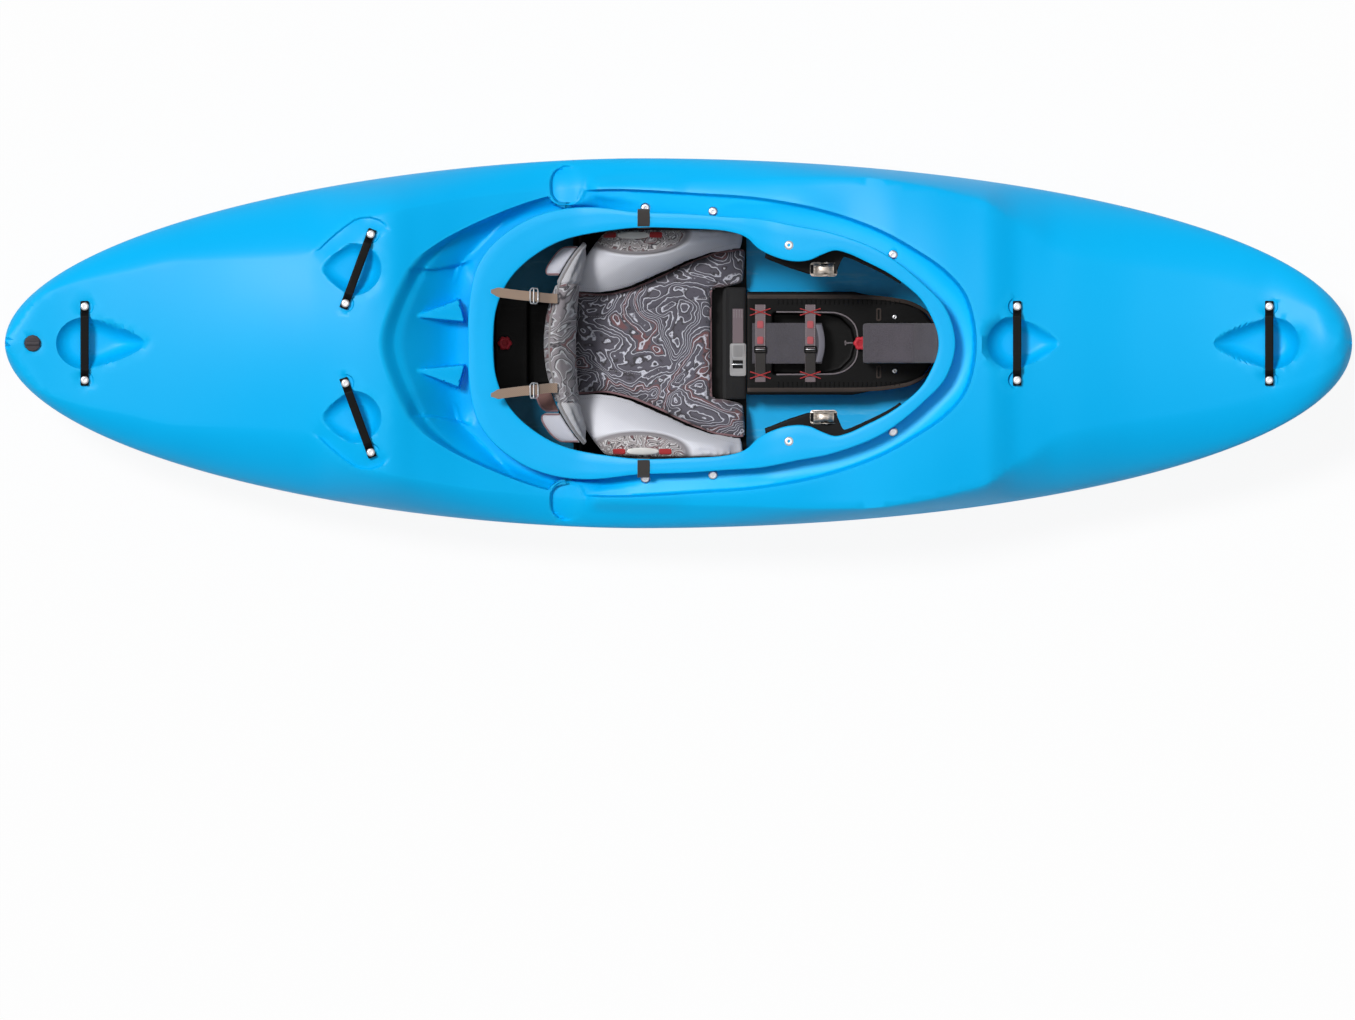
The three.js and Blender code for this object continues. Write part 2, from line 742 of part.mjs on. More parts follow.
const handleFrames = {
  stern: straightFrame(sternHandleShare),
  bow: straightFrame(bowHandleShare),
  front: straightFrame(frontHandleShare),
  rear_port: rearFrame(1),
  rear_starboard: rearFrame(-1),
};
const boltEnds = { a: -HANDLE_BOLT_PITCH / 2, b: HANDLE_BOLT_PITCH / 2 };

function handleCutters() {
  return Object.values(handleFrames).flatMap((frame) => Object.values(boltEnds).flatMap((y) => [
    rod(HANDLE_SEAT_RADIUS, 0, OVERRUN, ROUND_STEPS).translate(0, y, 0).applyMatrix4(frame),
    rod(BOLT_SHANK_RADIUS + HOLE_GAP, -BOLT_LENGTH - OVERRUN, OVERRUN).translate(0, y, 0)
      .applyMatrix4(frame),
  ]));
}

function handle() {
  const end = HANDLE_LENGTH / 2;
  const foot = end - HANDLE_FOOT;
  const rise = foot - HANDLE_ARCH;
  const low = HANDLE_THICKNESS;
  const high = HANDLE_THICKNESS + HANDLE_ARCH;
  const outline = [
    [-end, 0], [-foot, 0], [-rise, HANDLE_ARCH], [rise, HANDLE_ARCH], [foot, 0], [end, 0],
    [end, low], [foot, low], [rise, high], [-rise, high], [-foot, low], [-end, low],
  ];
  const strap = rail(outline, -HANDLE_WIDTH / 2, HANDLE_WIDTH / 2).translate(0, 0, GAP);
  const holes = Object.values(boltEnds).map((y) => rod(
    BOLT_SHANK_RADIUS + HOLE_GAP, -OVERRUN, OVERRUN,
  ).translate(0, y, 0));
  return cutBy(strap, ...holes);
}

function bolt(headRadius, length, grip = 0, nut = false) {
  const tail = nut
    ? [[0, -length], [NUT_RADIUS, -length], [NUT_RADIUS, -length + NUT_HEIGHT],
      [BOLT_SHANK_RADIUS, -length + NUT_HEIGHT]]
    : [[0, -length], [BOLT_SHANK_RADIUS, -length]];
  const base = grip + GAP;
  return turned([
    ...tail, [BOLT_SHANK_RADIUS, base], [headRadius, base],
    [headRadius, base + BOLT_HEAD_HEIGHT / 3], [headRadius * 0.7, base + BOLT_HEAD_HEIGHT],
    [0, base + BOLT_HEAD_HEIGHT],
  ]);
}

// A frame on the lip, along its slope
function rimFrame(x) {
  const step = LIP_THICKNESS;
  const slope = Math.atan2(rimZ(x + step) - rimZ(x - step), 2 * step);
  return new THREE.Matrix4().makeRotationY(-slope).setPosition(x, 0, rimZ(x));
}

// The rim's bolts stand upright, each in a spot face on the lip or on the trough's floor
const rimBolts = [1, -1].flatMap((side) => rimBoltShares.map(({ x, y, name, onLip }) => ({
  name: `rim_bolt_${name}_${side > 0 ? 'port' : 'starboard'}`,
  x: along(x),
  y: side * across(y),
  z: (onLip ? rimZ(along(x)) : troughZ(along(x))) - RIM_SPOTFACE,
  brace: name.startsWith('brace'),
})));

function rimHoles() {
  return rimBolts.flatMap(({ x, y, z }) => [
    rod(
      BOLT_SHANK_RADIUS + HOLE_GAP, -TROUGH_DEPTH - FLANGE_DROP - OVERRUN, RIM_SPOTFACE,
    ).translate(x, y, z),
    rod(RIM_BOLT_HEAD_RADIUS + HOLE_GAP, 0, LIP_THICKNESS, ROUND_STEPS).translate(x, y, z),
  ]);
}

// Places along the cockpit, each from the piece behind it
const seatRear = along(seatRearShare);
const seatFront = seatRear + SEAT_LENGTH;
const consoleRear = seatFront + GAP;
const consoleFront = consoleRear + CONSOLE_LENGTH;
const pillarRear = consoleFront + PILLAR_SPACE;
const pillarFront = pillarRear + PILLAR_FOOT_LENGTH;
const plateX = pillarFront + FOOTPLATE_SPACE;
const railX = plateX - FOOTPLATE_SETBACK;

// Footbrace rails lie along the inside of the hull's sides
const railZ = up(railHeightShare);
const railBolts = [1, -1].flatMap((side) => [0, 1].map((place) => ({
  name: `rail_bolt_${place === 0 ? 'aft' : 'fore'}_${side > 0 ? 'port' : 'starboard'}`,
  x: railX + RAIL_BOLT_SETBACK + place * RAIL_BOLT_PITCH,
  side,
})));

function sideY(x, z) {
  const points = halfSection(shareAt(x));
  for (let i = 0; i < points.length - 1; i += 1) {
    const [ya, za] = points[i];
    const [yb, zb] = points[i + 1];
    if (z >= za && z <= zb) return mix(ya, yb, (z - za) / (zb - za));
  }
  return 0;
}

function railBoltFrame({ x, side }) {
  const frame = new THREE.Matrix4().makeRotationX(-side * Math.PI / 2);
  return frame.setPosition(x, side * (sideY(x, railZ) - RAIL_SPOTFACE), railZ);
}

const railHole = (place) => rod(
  BOLT_SHANK_RADIUS + HOLE_GAP, -RAIL_BOLT_LENGTH - OVERRUN, OVERRUN,
).applyMatrix4(railBoltFrame(place));
const railSpot = (place) => rod(
  BOLT_HEAD_RADIUS + HOLE_GAP, 0, OVERRUN, ROUND_STEPS,
).applyMatrix4(railBoltFrame(place));

// The drain plug screws down through the stern deck
const plugX = along(plugShare);
const plugZ = deckZ(plugX, 0) - HANDLE_SEAT_DEPTH;

function hullShell() {
  const space = [
    troughCutter(WALL), sideScoop(1, WALL), sideScoop(-1, WALL),
    ...dishes.map((d) => dish(d.x, d.y, d.tip, d.towards, WALL)),
  ].reduce((body, cutter) => body.subtract(solid(cutter)), solid(innerBody(WALL)));
  const cutters = [
    troughCutter(0), sideScoop(1, 0), sideScoop(-1, 0),
    ...dishes.map((d) => dish(d.x, d.y, d.tip, d.towards, 0)), openingCutter(),
  ];
  const body = cutters.reduce((rest, cutter) => rest.subtract(solid(cutter)), solid(outerBody()));
  const withRim = body.subtract(space).add(solid(coamingRing()));
  const holes = [
    ...handleCutters(), ...rimHoles(), ...railBolts.map(railHole), ...railBolts.map(railSpot),
    rod(PLUG_STEM_RADIUS + HOLE_GAP, -PLUG_STEM, OVERRUN, ROUND_STEPS)
      .translate(plugX, 0, plugZ),
    rod(PLUG_RADIUS + HOLE_GAP, 0, OVERRUN, ROUND_STEPS).translate(plugX, 0, plugZ),
  ];
  return geometryOf(holes.reduce((rest, hole) => rest.subtract(solid(hole)), withRim));
}

// The room left for what is fitted inside, a gap away from every wall
const clearSpace = [
  troughCutter(FLANGE_DROP + GAP * 2, -GAP / neckShare / LIP_THICKNESS),
  ...dishes.map((d) => dish(d.x, d.y, d.tip, d.towards, WALL + GAP * 2)),
].reduce((body, cutter) => body.subtract(solid(cutter)), solid(innerBody(WALL + GAP)));

function drainPlug() {
  const body = turned([
    [0, -PLUG_STEM], [PLUG_STEM_RADIUS, -PLUG_STEM], [PLUG_STEM_RADIUS, GAP], [PLUG_RADIUS, GAP],
    [PLUG_RADIUS, PLUG_HEAD * 0.7], [PLUG_RADIUS * 0.85, PLUG_HEAD], [0, PLUG_HEAD],
  ]);
  const span = PLUG_RADIUS * 0.8;
  const grip = block(
    -span, span, -PLUG_GRIP_WIDTH / 2, PLUG_GRIP_WIDTH / 2, PLUG_HEAD / 2,
    PLUG_HEAD + PLUG_GRIP_HEIGHT,
  );
  return joined(body, grip).translate(plugX, 0, plugZ);
}

function rimTab(side) {
  const x = along(tabShare);
  const inner = across(tabSpanShares.inner);
  const outer = across(tabSpanShares.outer) + TAB_LIFT;
  const top = TAB_LIFT + TAB_THICKNESS;
  const outline = [
    [inner, TAB_LIFT], [outer, TAB_LIFT], [outer, -TAB_FLAP],
    [outer + TAB_THICKNESS, -TAB_FLAP], [outer + TAB_THICKNESS, top], [inner, top],
  ];
  const g = rail(outline, -TAB_LENGTH / 2, TAB_LENGTH / 2);
  return sideOf(g.applyMatrix4(rimFrame(x)), side);
}

// The rear foam pillar under the stern deck
function rearPillar() {
  const { aft, fore } = rearPillarShares;
  const half = REAR_PILLAR_WIDTH / 2;
  return kept(block(along(aft), along(fore), -half, half, 0, DEPTH), clearSpace);
}

// Seat pan, a bent sheet on the hull's floor with a tongue behind it for the rear tray
const seatHalf = HALF - SEAT_SIDE_ROOM;
const seatFloorHalf = seatHalf - SEAT_FLOOR_INSET;
const cushionRearHalf = seatHalf - CUSHION_REAR_INSET;
const cushionFrontHalf = seatHalf - CUSHION_FRONT_INSET;
const lifterHalf = cushionFrontHalf - LIFTER_INSET;
const backbandHalf = seatHalf - BACKBAND_INSET;
const seatBase = WALL + GAP;
const panTop = seatBase + SEAT_SHEET;
const trayFront = seatRear - GAP;
const trayRear = trayFront - TRAY_LENGTH;

function seatPan() {
  const w0 = seatFloorHalf;
  const w1 = seatHalf;
  const t = SEAT_SHEET;
  const low = [
    [-w0, seatBase], [w0, seatBase], [w1, SEAT_BEND_HEIGHT], [w1, SEAT_WALL_HEIGHT],
    [w1 - t, SEAT_WALL_HEIGHT], [w1 - t, SEAT_BEND_HEIGHT + t / 2], [w0 - t / 2, panTop],
    [-w0 + t / 2, panTop], [-w1 + t, SEAT_BEND_HEIGHT + t / 2], [-w1 + t, SEAT_WALL_HEIGHT],
    [-w1, SEAT_WALL_HEIGHT], [-w1, SEAT_BEND_HEIGHT],
  ];
  const tongue = block(
    trayRear, seatRear + TONGUE_LAP, -TRAY_HALF_WIDTH, TRAY_HALF_WIDTH, seatBase + TONGUE_LIFT,
    TRAY_BASE - GAP,
  );
  const sheet = joined(rail(low, seatRear, seatFront), tongue);
  const ends = [
    block(
      seatRear - OVERRUN, seatRear + SEAT_WALL_SETBACK, -w1 - OVERRUN, w1 + OVERRUN,
      TRAY_BASE, SEAT_WALL_HEIGHT + OVERRUN,
    ),
    block(
      seatRear + SEAT_WALL_SETBACK + SEAT_WALL_LENGTH, seatFront + OVERRUN, -w1 - OVERRUN,
      w1 + OVERRUN, SEAT_BEND_HEIGHT, SEAT_WALL_HEIGHT + OVERRUN,
    ),
  ];
  return kept(cutBy(sheet, ...ends), clearSpace);
}

// Where the pan's upper face is, at an offset from its centre line
function panFace(y) {
  const offset = Math.abs(y);
  const w0 = seatFloorHalf - SEAT_SHEET / 2;
  if (offset < w0) return panTop;
  const t = (offset - w0) / (seatHalf - SEAT_SHEET - w0);
  return mix(panTop, SEAT_BEND_HEIGHT + SEAT_SHEET / 2, t);
}

// A pad on a grid: its outline, its under face and its crowned top
function pad(x0, x1, halfAt, bottomAt, topAt, nx, ny) {
  const positions = [];
  for (const face of [bottomAt, topAt]) {
    for (let i = 0; i <= nx; i += 1) {
      const x = mix(x0, x1, i / nx);
      for (let j = 0; j <= ny; j += 1) {
        const v = (j / ny) * 2 - 1;
        const y = v * halfAt(x);
        positions.push([x, y, face(x, y, i / nx, v)]);
      }
    }
  }
  const row = ny + 1;
  const layer = (nx + 1) * row;
  const triangles = [];
  for (let i = 0; i < nx; i += 1) {
    for (let j = 0; j < ny; j += 1) {
      const a = i * row + j;
      triangles.push([a, a + 1, a + row], [a + 1, a + row + 1, a + row]);
      const b = layer + a;
      triangles.push([b, b + row, b + 1], [b + 1, b + row, b + row + 1]);
    }
  }
  const wall = (a, b) => triangles.push([a, b + layer, b], [a, a + layer, b + layer]);
  for (let i = 0; i < nx; i += 1) {
    wall((i + 1) * row, i * row);
    wall(i * row + ny, (i + 1) * row + ny);
  }
  for (let j = 0; j < ny; j += 1) {
    wall(j, j + 1);
    wall(nx * row + j + 1, nx * row + j);
  }
  return shell(positions, triangles);
}

const cushionRear = seatRear + CUSHION_SETBACK;
const cushionFront = seatFront - GAP;
const lifterFront = seatFront - GAP;
const lifterRear = lifterFront - LIFTER_LENGTH;

function cushionHalf(x) {
  const t = (x - cushionRear) / (cushionFront - cushionRear);
  return mix(cushionRearHalf, cushionFrontHalf, t ** 1.3);
}

function seatCushion() {
  const body = pad(
    cushionRear, cushionFront, cushionHalf,
    (x, y) => panFace(y) + GAP,
    (x, y, u, v) => {
      const dip = CUSHION_DISH * (y / cushionFrontHalf) ** 2;
      const edge = Math.max(Math.abs(v), Math.abs(u * 2 - 1));
      const channel = Math.abs(Math.abs(v) - channelShare) < 0.05 ? CHANNEL_DEPTH : 0;
      return CUSHION_HEIGHT + dip - CUSHION_ROUND * edge ** 6 - channel;
    },
    14, 16,
  );
  const notch = lifterHalf + SLIDE_GAP;
  return cutBy(body, block(
    seatFront - LIFTER_NOTCH, seatFront + OVERRUN, -notch, notch, 0, DEPTH,
  ));
}

function legLifter() {
  const base = panTop + GAP;
  const outline = [
    [lifterRear, base], [lifterFront, base], [lifterFront, base + LIFTER_HEIGHT],
    [lifterRear + LIFTER_LEAN, base + LIFTER_HEIGHT],
    [lifterRear + LIFTER_LEAN / 2, base + LIFTER_HEIGHT * 0.8],
  ];
  return slab(outline, -lifterHalf, lifterHalf);
}

const lifterTop = panTop + GAP + LIFTER_HEIGHT;
const lifterMiddle = lifterFront - (LIFTER_LENGTH - LIFTER_LEAN) / 2;

function legStrap() {
  return block(
    lifterMiddle - LEG_STRAP_WIDTH / 2, lifterMiddle + LEG_STRAP_WIDTH / 2, GAP,
    LEG_STRAP_LENGTH, lifterTop + GAP, lifterTop + GAP + LEG_STRAP_THICKNESS,
  );
}

function legBuckle() {
  const half = LEG_BUCKLE_WIDTH / 2;
  const base = lifterTop + GAP;
  const outline = [
    [-LEG_BUCKLE_LENGTH, base], [-GAP, base], [-GAP, base + LEG_BUCKLE_HEIGHT / 2],
    [-LEG_BUCKLE_LENGTH * 0.3, base + LEG_BUCKLE_HEIGHT],
    [-LEG_BUCKLE_LENGTH * 0.8, base + LEG_BUCKLE_HEIGHT],
    [-LEG_BUCKLE_LENGTH, base + LEG_BUCKLE_HEIGHT / 2],
  ];
  return rail(outline, lifterMiddle - half, lifterMiddle + half);
}

// Hip pads: wedges that stand on the seat's side walls
const hipRear = seatRear + HIP_PAD_SETBACK;
const hipFront = hipRear + HIP_PAD_LENGTH;

function hipPad(side) {
  const outer = seatHalf - SEAT_SHEET - GAP;
  const steps = 8;
  const rings = [];
  for (let i = 0; i <= steps; i += 1) {
    const t = i / steps;
    const x = mix(hipRear, hipFront, t);
    const inner = mix(cushionRearHalf + HIP_PAD_CREST, cushionFrontHalf, t);
    const draw = HIP_PAD_BULGE * (1 - (2 * t - 1) ** 4);
    const crest = HIP_PAD_TOP - HIP_PAD_BULGE + draw;
    rings.push([
      [x, outer, HIP_PAD_BASE], [x, outer, crest], [x, outer - HIP_PAD_CREST, crest],
      [x, mix(inner, outer - HIP_PAD_CREST, 0.5) - draw, mix(HIP_PAD_BASE, crest, 0.6)],
      [x, inner - draw, mix(HIP_PAD_BASE, crest, 0.2)], [x, inner, HIP_PAD_BASE],
    ]);
  }
  return sideOf(flatLoft(rings), side);
}

// Backband: a padded band on an arc, hinged on the seat's walls
const pivotX = seatRear + PIVOT_SETBACK;
const bandX = seatRear + PIVOT_SETBACK - BACKBAND_AFT;

function backband() {
  const reach = Math.asin(backbandHalf / BACKBAND_RADIUS);
  const centreX = bandX + BACKBAND_RADIUS;
  const steps = 14;
  const rings = [];
  for (let i = 0; i <= steps; i += 1) {
    const v = (i / steps) * 2 - 1;
    const angle = v * reach;
    const at = (radius, z) => [
      centreX - radius * Math.cos(angle), radius * Math.sin(angle), z,
    ];
    const outer = BACKBAND_RADIUS;
    const inner = BACKBAND_RADIUS - BACKBAND_THICKNESS;
    const middle = (outer + inner) / 2;
    const top = BACKBAND_TOP - BACKBAND_END_DROP * v ** 4;
    const base = BACKBAND_BASE;
    rings.push([
      at(middle, base), at(outer, mix(base, top, 0.12)), at(outer, mix(base, top, 0.88)),
      at(middle, top), at(inner, mix(base, top, 0.88)), at(inner - BACKBAND_SWELL, mix(base, top, 0.5)),
      at(inner, mix(base, top, 0.12)),
    ]);
  }
  const band = flatLoft(rings);
  const lugs = [1, -1].map((side) => {
    const tip = seatHalf - SEAT_SHEET - GAP;
    const g = rod(PIVOT_RADIUS, backbandHalf - BACKBAND_THICKNESS, tip, ROUND_STEPS);
    g.rotateX(-side * Math.PI / 2);
    return g.translate(pivotX, 0, PIVOT_HEIGHT);
  });
  return joined(band, ...lugs);
}

// Strap tails run aft and up from the backband, through a ladder buckle
function strapTail(side) {
  const bandMiddle = bandX + BACKBAND_THICKNESS / 2
    + BACKBAND_RADIUS - Math.sqrt(BACKBAND_RADIUS ** 2 - TAIL_SPREAD ** 2);
  const base = BACKBAND_TOP - BACKBAND_END_DROP * (TAIL_SPREAD / backbandHalf) ** 4;
  const t = TAIL_THICKNESS;
  const x0 = bandMiddle + t;
  const buckleX = bandMiddle - TAIL_BUCKLE_RUN;
  const buckleZ = base + TAIL_BUCKLE_RISE;
  const tipX = bandMiddle - TAIL_RUN;
  const tipZ = base + TAIL_BUCKLE_RISE + TAIL_RISE;
  const outline = [
    [x0 - t, base + GAP * 3], [x0, base + GAP * 3], [x0, base + t * 2],
    [buckleX, buckleZ + t], [tipX, tipZ + t], [tipX - t / 2, tipZ], [buckleX, buckleZ],
    [x0 - t, base + t],
  ];
  const half = TAIL_WIDTH / 2;
  const strap = slab(outline, TAIL_SPREAD - half, TAIL_SPREAD + half);
  const run = TAIL_BUCKLE_HEIGHT;
  const buckle = block(
    buckleX - run, buckleX + run, TAIL_SPREAD - half * 1.2, TAIL_SPREAD + half * 1.2,
    buckleZ - run / 3, buckleZ + run,
  );
  return sideOf(joined(strap, buckle), side);
}

// Rear tray, behind the backband on the pan's tongue
function rearTray() {
  const body = block(trayRear, trayFront, -TRAY_HALF_WIDTH, TRAY_HALF_WIDTH, TRAY_BASE, TRAY_TOP);
  const wellFront = trayFront - TRAY_BORDER;
  const well = block(
    wellFront - TRAY_WELL_LENGTH, wellFront, -TRAY_HALF_WIDTH + TRAY_BORDER,
    TRAY_HALF_WIDTH - TRAY_BORDER, TRAY_TOP - TRAY_WELL_DEPTH, TRAY_TOP + OVERRUN,
  );
  return cutBy(body, well);
}

function knob(x, z) {
  const shape = new THREE.Shape();
  const points = KNOB_LOBES * 4;
  for (let i = 0; i < points; i += 1) {
    const angle = (i / points) * 2 * Math.PI;
    const radius = KNOB_RADIUS * (0.88 + 0.12 * Math.cos(KNOB_LOBES * angle));
    const p = [radius * Math.cos(angle), radius * Math.sin(angle)];
    if (i === 0) shape.moveTo(...p);
    else shape.lineTo(...p);
  }
  const g = new THREE.ExtrudeGeometry(shape, { depth: KNOB_HEIGHT, bevelEnabled: false });
  return g.translate(x, 0, z + GAP);
}

// Centre console, ahead of the seat
function centreConsole() {
  const w = CONSOLE_HALF_WIDTH;
  const n = CONSOLE_NOSE_HALF_WIDTH;
  const nose = consoleFront - CONSOLE_NOSE_LENGTH;
  const curve = [];
  for (let i = 0; i <= 6; i += 1) {
    const angle = -Math.PI / 2 + (i / 6) * Math.PI;
    curve.push([nose + CONSOLE_NOSE_LENGTH * Math.cos(angle), n * Math.sin(angle)]);
  }
  const outline = [[consoleRear, -w], [nose - w, -w], ...curve, [nose - w, w], [consoleRear, w]];
  const body = prism(outline, CONSOLE_BASE, CONSOLE_TOP - CONSOLE_BASE);
  const x0 = consoleRear + WELL_SETBACK;
  const h = WELL_HALF_WIDTH;
  const arc = [];
  for (let i = 0; i <= 6; i += 1) {
    const angle = -Math.PI / 2 + (i / 6) * Math.PI;
    arc.push([consoleFront - WELL_FRONT_INSET - h + h * Math.cos(angle), h * Math.sin(angle)]);
  }
  const well = prism([[x0, -h], ...arc, [x0, h]], CONSOLE_TOP - WELL_DEPTH, WELL_DEPTH + OVERRUN);
  return kept(cutBy(body, well), clearSpace);
}

// The front pillar stands ahead of the console, and its nose reaches back over the console
function frontPillar() {
  const half = FRONT_PILLAR_WIDTH / 2;
  const aft = pillarRear - PILLAR_NOSE_LENGTH;
  const noseBase = CONSOLE_TOP + GAP + KNOB_HEIGHT + SLIDE_GAP;
  const outline = [
    [aft, noseBase], [pillarRear, noseBase], [pillarRear, 0], [pillarFront, 0], [pillarFront, DEPTH],
    ...pillarTopShares.slice().reverse().map(([share, h]) => [
      mix(aft, pillarRear, share), Math.max(up(h), noseBase + PILLAR_NOSE_HEIGHT),
    ]),
  ];
  return kept(slab(outline, -half, half), clearSpace);
}

function consoleMat() {
  const x0 = consoleRear + WELL_SETBACK + GAP;
  const z0 = CONSOLE_TOP - WELL_DEPTH + GAP;
  const x1 = consoleFront - WELL_FRONT_INSET - MAT_FRONT_INSET;
  const half = WELL_HALF_WIDTH - MAT_SIDE_INSET;
  return block(x0, x1, -half, half, z0, z0 + MAT_THICKNESS);
}

function consoleStrap(setback) {
  const x = consoleRear + setback;
  const half = CONSOLE_STRAP_HALF_LENGTH;
  const base = CONSOLE_TOP + GAP;
  const w = CONSOLE_STRAP_WIDTH / 2;
  const strap = block(x - w, x + w, -half, half, base, base + CONSOLE_STRAP_THICKNESS);
  const slider = block(
    x - w * 1.2, x + w * 1.2, -SLIDER_LENGTH, 0, base, base + CONSOLE_STRAP_THICKNESS
      + SLIDER_HEIGHT,
  );
  return joined(strap, slider);
}

// Thigh braces hang under the coaming on two bolts each and slide along their slots
const braceRearX = along(braceShares[0][0]);
const braceFrontX = along(braceShares[6][0]);
const braceSlope = (rimZ(braceFrontX) - rimZ(braceRearX)) / (braceFrontX - braceRearX);
const braceTopZ = (x) => rimZ(braceRearX) + braceSlope * (x - braceRearX)
  - TROUGH_DEPTH - FLANGE_DROP - SLIDE_GAP;

// A brace bolt reaches through the brace to its nut, the rear and mid bolts only the hull
function rimBoltLength({ x, z, brace }) {
  if (!brace) return RIM_BOLT_LENGTH;
  const drop = z - braceTopZ(x) + BRACE_THICKNESS + NUT_RADIUS * braceSlope;
  return drop + GAP + NUT_HEIGHT;
}

function sloped(geometry) {
  const position = geometry.attributes.position;
  for (let i = 0; i < position.count; i += 1) {
    position.setZ(i, position.getZ(i) + braceTopZ(position.getX(i)));
  }
  return geometry;
}

function thighBrace(side) {
  const outline = braceShares.map(([s, w]) => [along(s), across(w)]);
  const plate = prism(outline, -BRACE_THICKNESS, BRACE_THICKNESS);
  const slots = rimBolts.filter((b) => b.brace && b.y > 0).map(({ x, y }) => {
    const reach = BRACE_TRAVEL + BOLT_SHANK_RADIUS + HOLE_GAP * 4;
    const half = BOLT_SHANK_RADIUS + HOLE_GAP * 2;
    return block(x - reach, x + reach, y - half, y + half, -OVERRUN, OVERRUN);
  });
  return sideOf(sloped(cutBy(plate, ...slots)), side);
}

const ratchetX = along(ratchetShares.x);
const ratchetY = across(ratchetShares.y);

function ratchetFrame(side) {
  const frame = new THREE.Matrix4().makeRotationY(-Math.atan(braceSlope));
  return frame.setPosition(ratchetX, side * ratchetY, braceTopZ(ratchetX) + GAP);
}

const leverX = RATCHET_LENGTH / 2 - LEVER_PIN_RADIUS * 2;
const leverZ = RATCHET_HEIGHT;

function ratchetBody() {
  const l = RATCHET_LENGTH / 2;
  const w = RATCHET_WIDTH / 2;
  const t = RATCHET_WALL;
  const outline = [
    [-w, 0], [w, 0], [w, RATCHET_HEIGHT + t], [w - t, RATCHET_HEIGHT + t], [w - t, t],
    [-w + t, t], [-w + t, RATCHET_HEIGHT + t], [-w, RATCHET_HEIGHT + t],
  ];
  return rail(outline, -l, l);
}

function ratchetLever() {
  const w = RATCHET_WIDTH / 2 - RATCHET_WALL - GAP;
  const t = LEVER_THICKNESS / 2;
  const arm = slab([
    [leverX - LEVER_LENGTH, leverZ + t], [leverX - LEVER_LENGTH * 0.4, leverZ - t],
    [leverX, leverZ - t], [leverX + t, leverZ], [leverX, leverZ + t],
  ], -w, w);
  const pin = new THREE.CylinderGeometry(LEVER_PIN_RADIUS, LEVER_PIN_RADIUS, w * 2, ROUND_STEPS);
  return joined(arm, pin.translate(leverX, 0, leverZ));
}

// Footbrace: two rails, a plate across them and its foam face
const railInner = sideY(railX + RAIL_LENGTH, railZ) - WALL - GAP - RAIL_THICKNESS;

function footRail(side) {
  const g = block(
    railX, railX + RAIL_LENGTH, railInner, HALF, railZ - RAIL_HEIGHT / 2, railZ + RAIL_HEIGHT / 2,
  );
  const trimmed = kept(g, clearSpace);
  const holes = railBolts.filter((b) => b.side > 0).map(railHole);
  return sideOf(cutBy(trimmed, ...holes), side);
}

function footOutline(margin) {
  const w1 = railInner - GAP - margin;
  const w0 = w1 - FOOTPLATE_TAPER;
  const z0 = FOOTPLATE_BASE + margin;
  const z1 = FOOTPLATE_SHOULDER;
  const z2 = FOOTPLATE_TOP - margin;
  return [[-w0, z0], [w0, z0], [w1, z1], [w1, z2], [-w1, z2], [-w1, z1]];
}

const footPlate = () => kept(
  rail(footOutline(0), plateX, plateX + FOOTPLATE_THICKNESS), clearSpace,
);
const footPad = () => kept(
  rail(footOutline(FOOTPAD_MARGIN), plateX - GAP - FOOTPAD_THICKNESS, plateX - GAP), clearSpace,
);

// Finishes
const finish = (color, roughness, metalness = 0) => new THREE.MeshStandardMaterial({
  color, roughness, metalness,
});
const hullBlue = finish(0x0eb2ff, 0.35);
const blackPlastic = finish(0x161719, 0.5);
const darkGrey = finish(0x45413f, 0.6);
const steel = finish(0xc4c8cc, 0.3, 1);
const webbing = finish(0x837f7c, 0.9);
const padGrey = finish(0xa2a2ae, 0.95);
const seatGrey = finish(0x655f62, 0.95);
const foamGrey = finish(0x524d53, 0.98);
const knobRed = finish(0xa02a38, 0.4);

// Assembly
const kayak = new THREE.Group();
const add = (name, geometry, material) => {
  const mesh = new THREE.Mesh(closed(geometry), material);
  mesh.name = name;
  kayak.add(mesh);
};
const sides = { port: 1, starboard: -1 };

add('hull_shell', hullShell(), hullBlue);
add('drain_plug', drainPlug(), darkGrey);
for (const [place, frame] of Object.entries(handleFrames)) {
  add(`handle_${place}`, handle().applyMatrix4(frame), blackPlastic);
  for (const [end, y] of Object.entries(boltEnds)) {
    const piece = bolt(BOLT_HEAD_RADIUS, BOLT_LENGTH, HANDLE_THICKNESS + GAP);
    add(`handle_bolt_${place}_${end}`, piece.translate(0, y, 0).applyMatrix4(frame), steel);
  }
}
for (const place of rimBolts) {
  const piece = bolt(RIM_BOLT_HEAD_RADIUS, rimBoltLength(place), 0, place.brace);
  add(place.name, piece.translate(place.x, place.y, place.z), steel);
}
for (const [side, sign] of Object.entries(sides)) {
  add(`rim_tab_${side}`, rimTab(sign), webbing);
}
add('rear_pillar', rearPillar(), foamGrey);
add('front_pillar', frontPillar(), foamGrey);
for (const [side, sign] of Object.entries(sides)) {
  add(`footbrace_rail_${side}`, footRail(sign), blackPlastic);
}
for (const place of railBolts) {
  add(place.name, bolt(BOLT_HEAD_RADIUS, RAIL_BOLT_LENGTH).applyMatrix4(railBoltFrame(place)), steel);
}
add('footbrace_plate', footPlate(), blackPlastic);
add('footbrace_pad', footPad(), foamGrey);
add('seat_pan', seatPan(), blackPlastic);
add('seat_cushion', seatCushion(), seatGrey);
add('leg_lifter', legLifter(), blackPlastic);
add('leg_strap', legStrap(), webbing);
add('leg_buckle', legBuckle(), steel);
for (const [side, sign] of Object.entries(sides)) {
  add(`hip_pad_${side}`, hipPad(sign), padGrey);
}
add('backband', backband(), seatGrey);
for (const [side, sign] of Object.entries(sides)) {
  add(`strap_tail_${side}`, strapTail(sign), webbing);
}
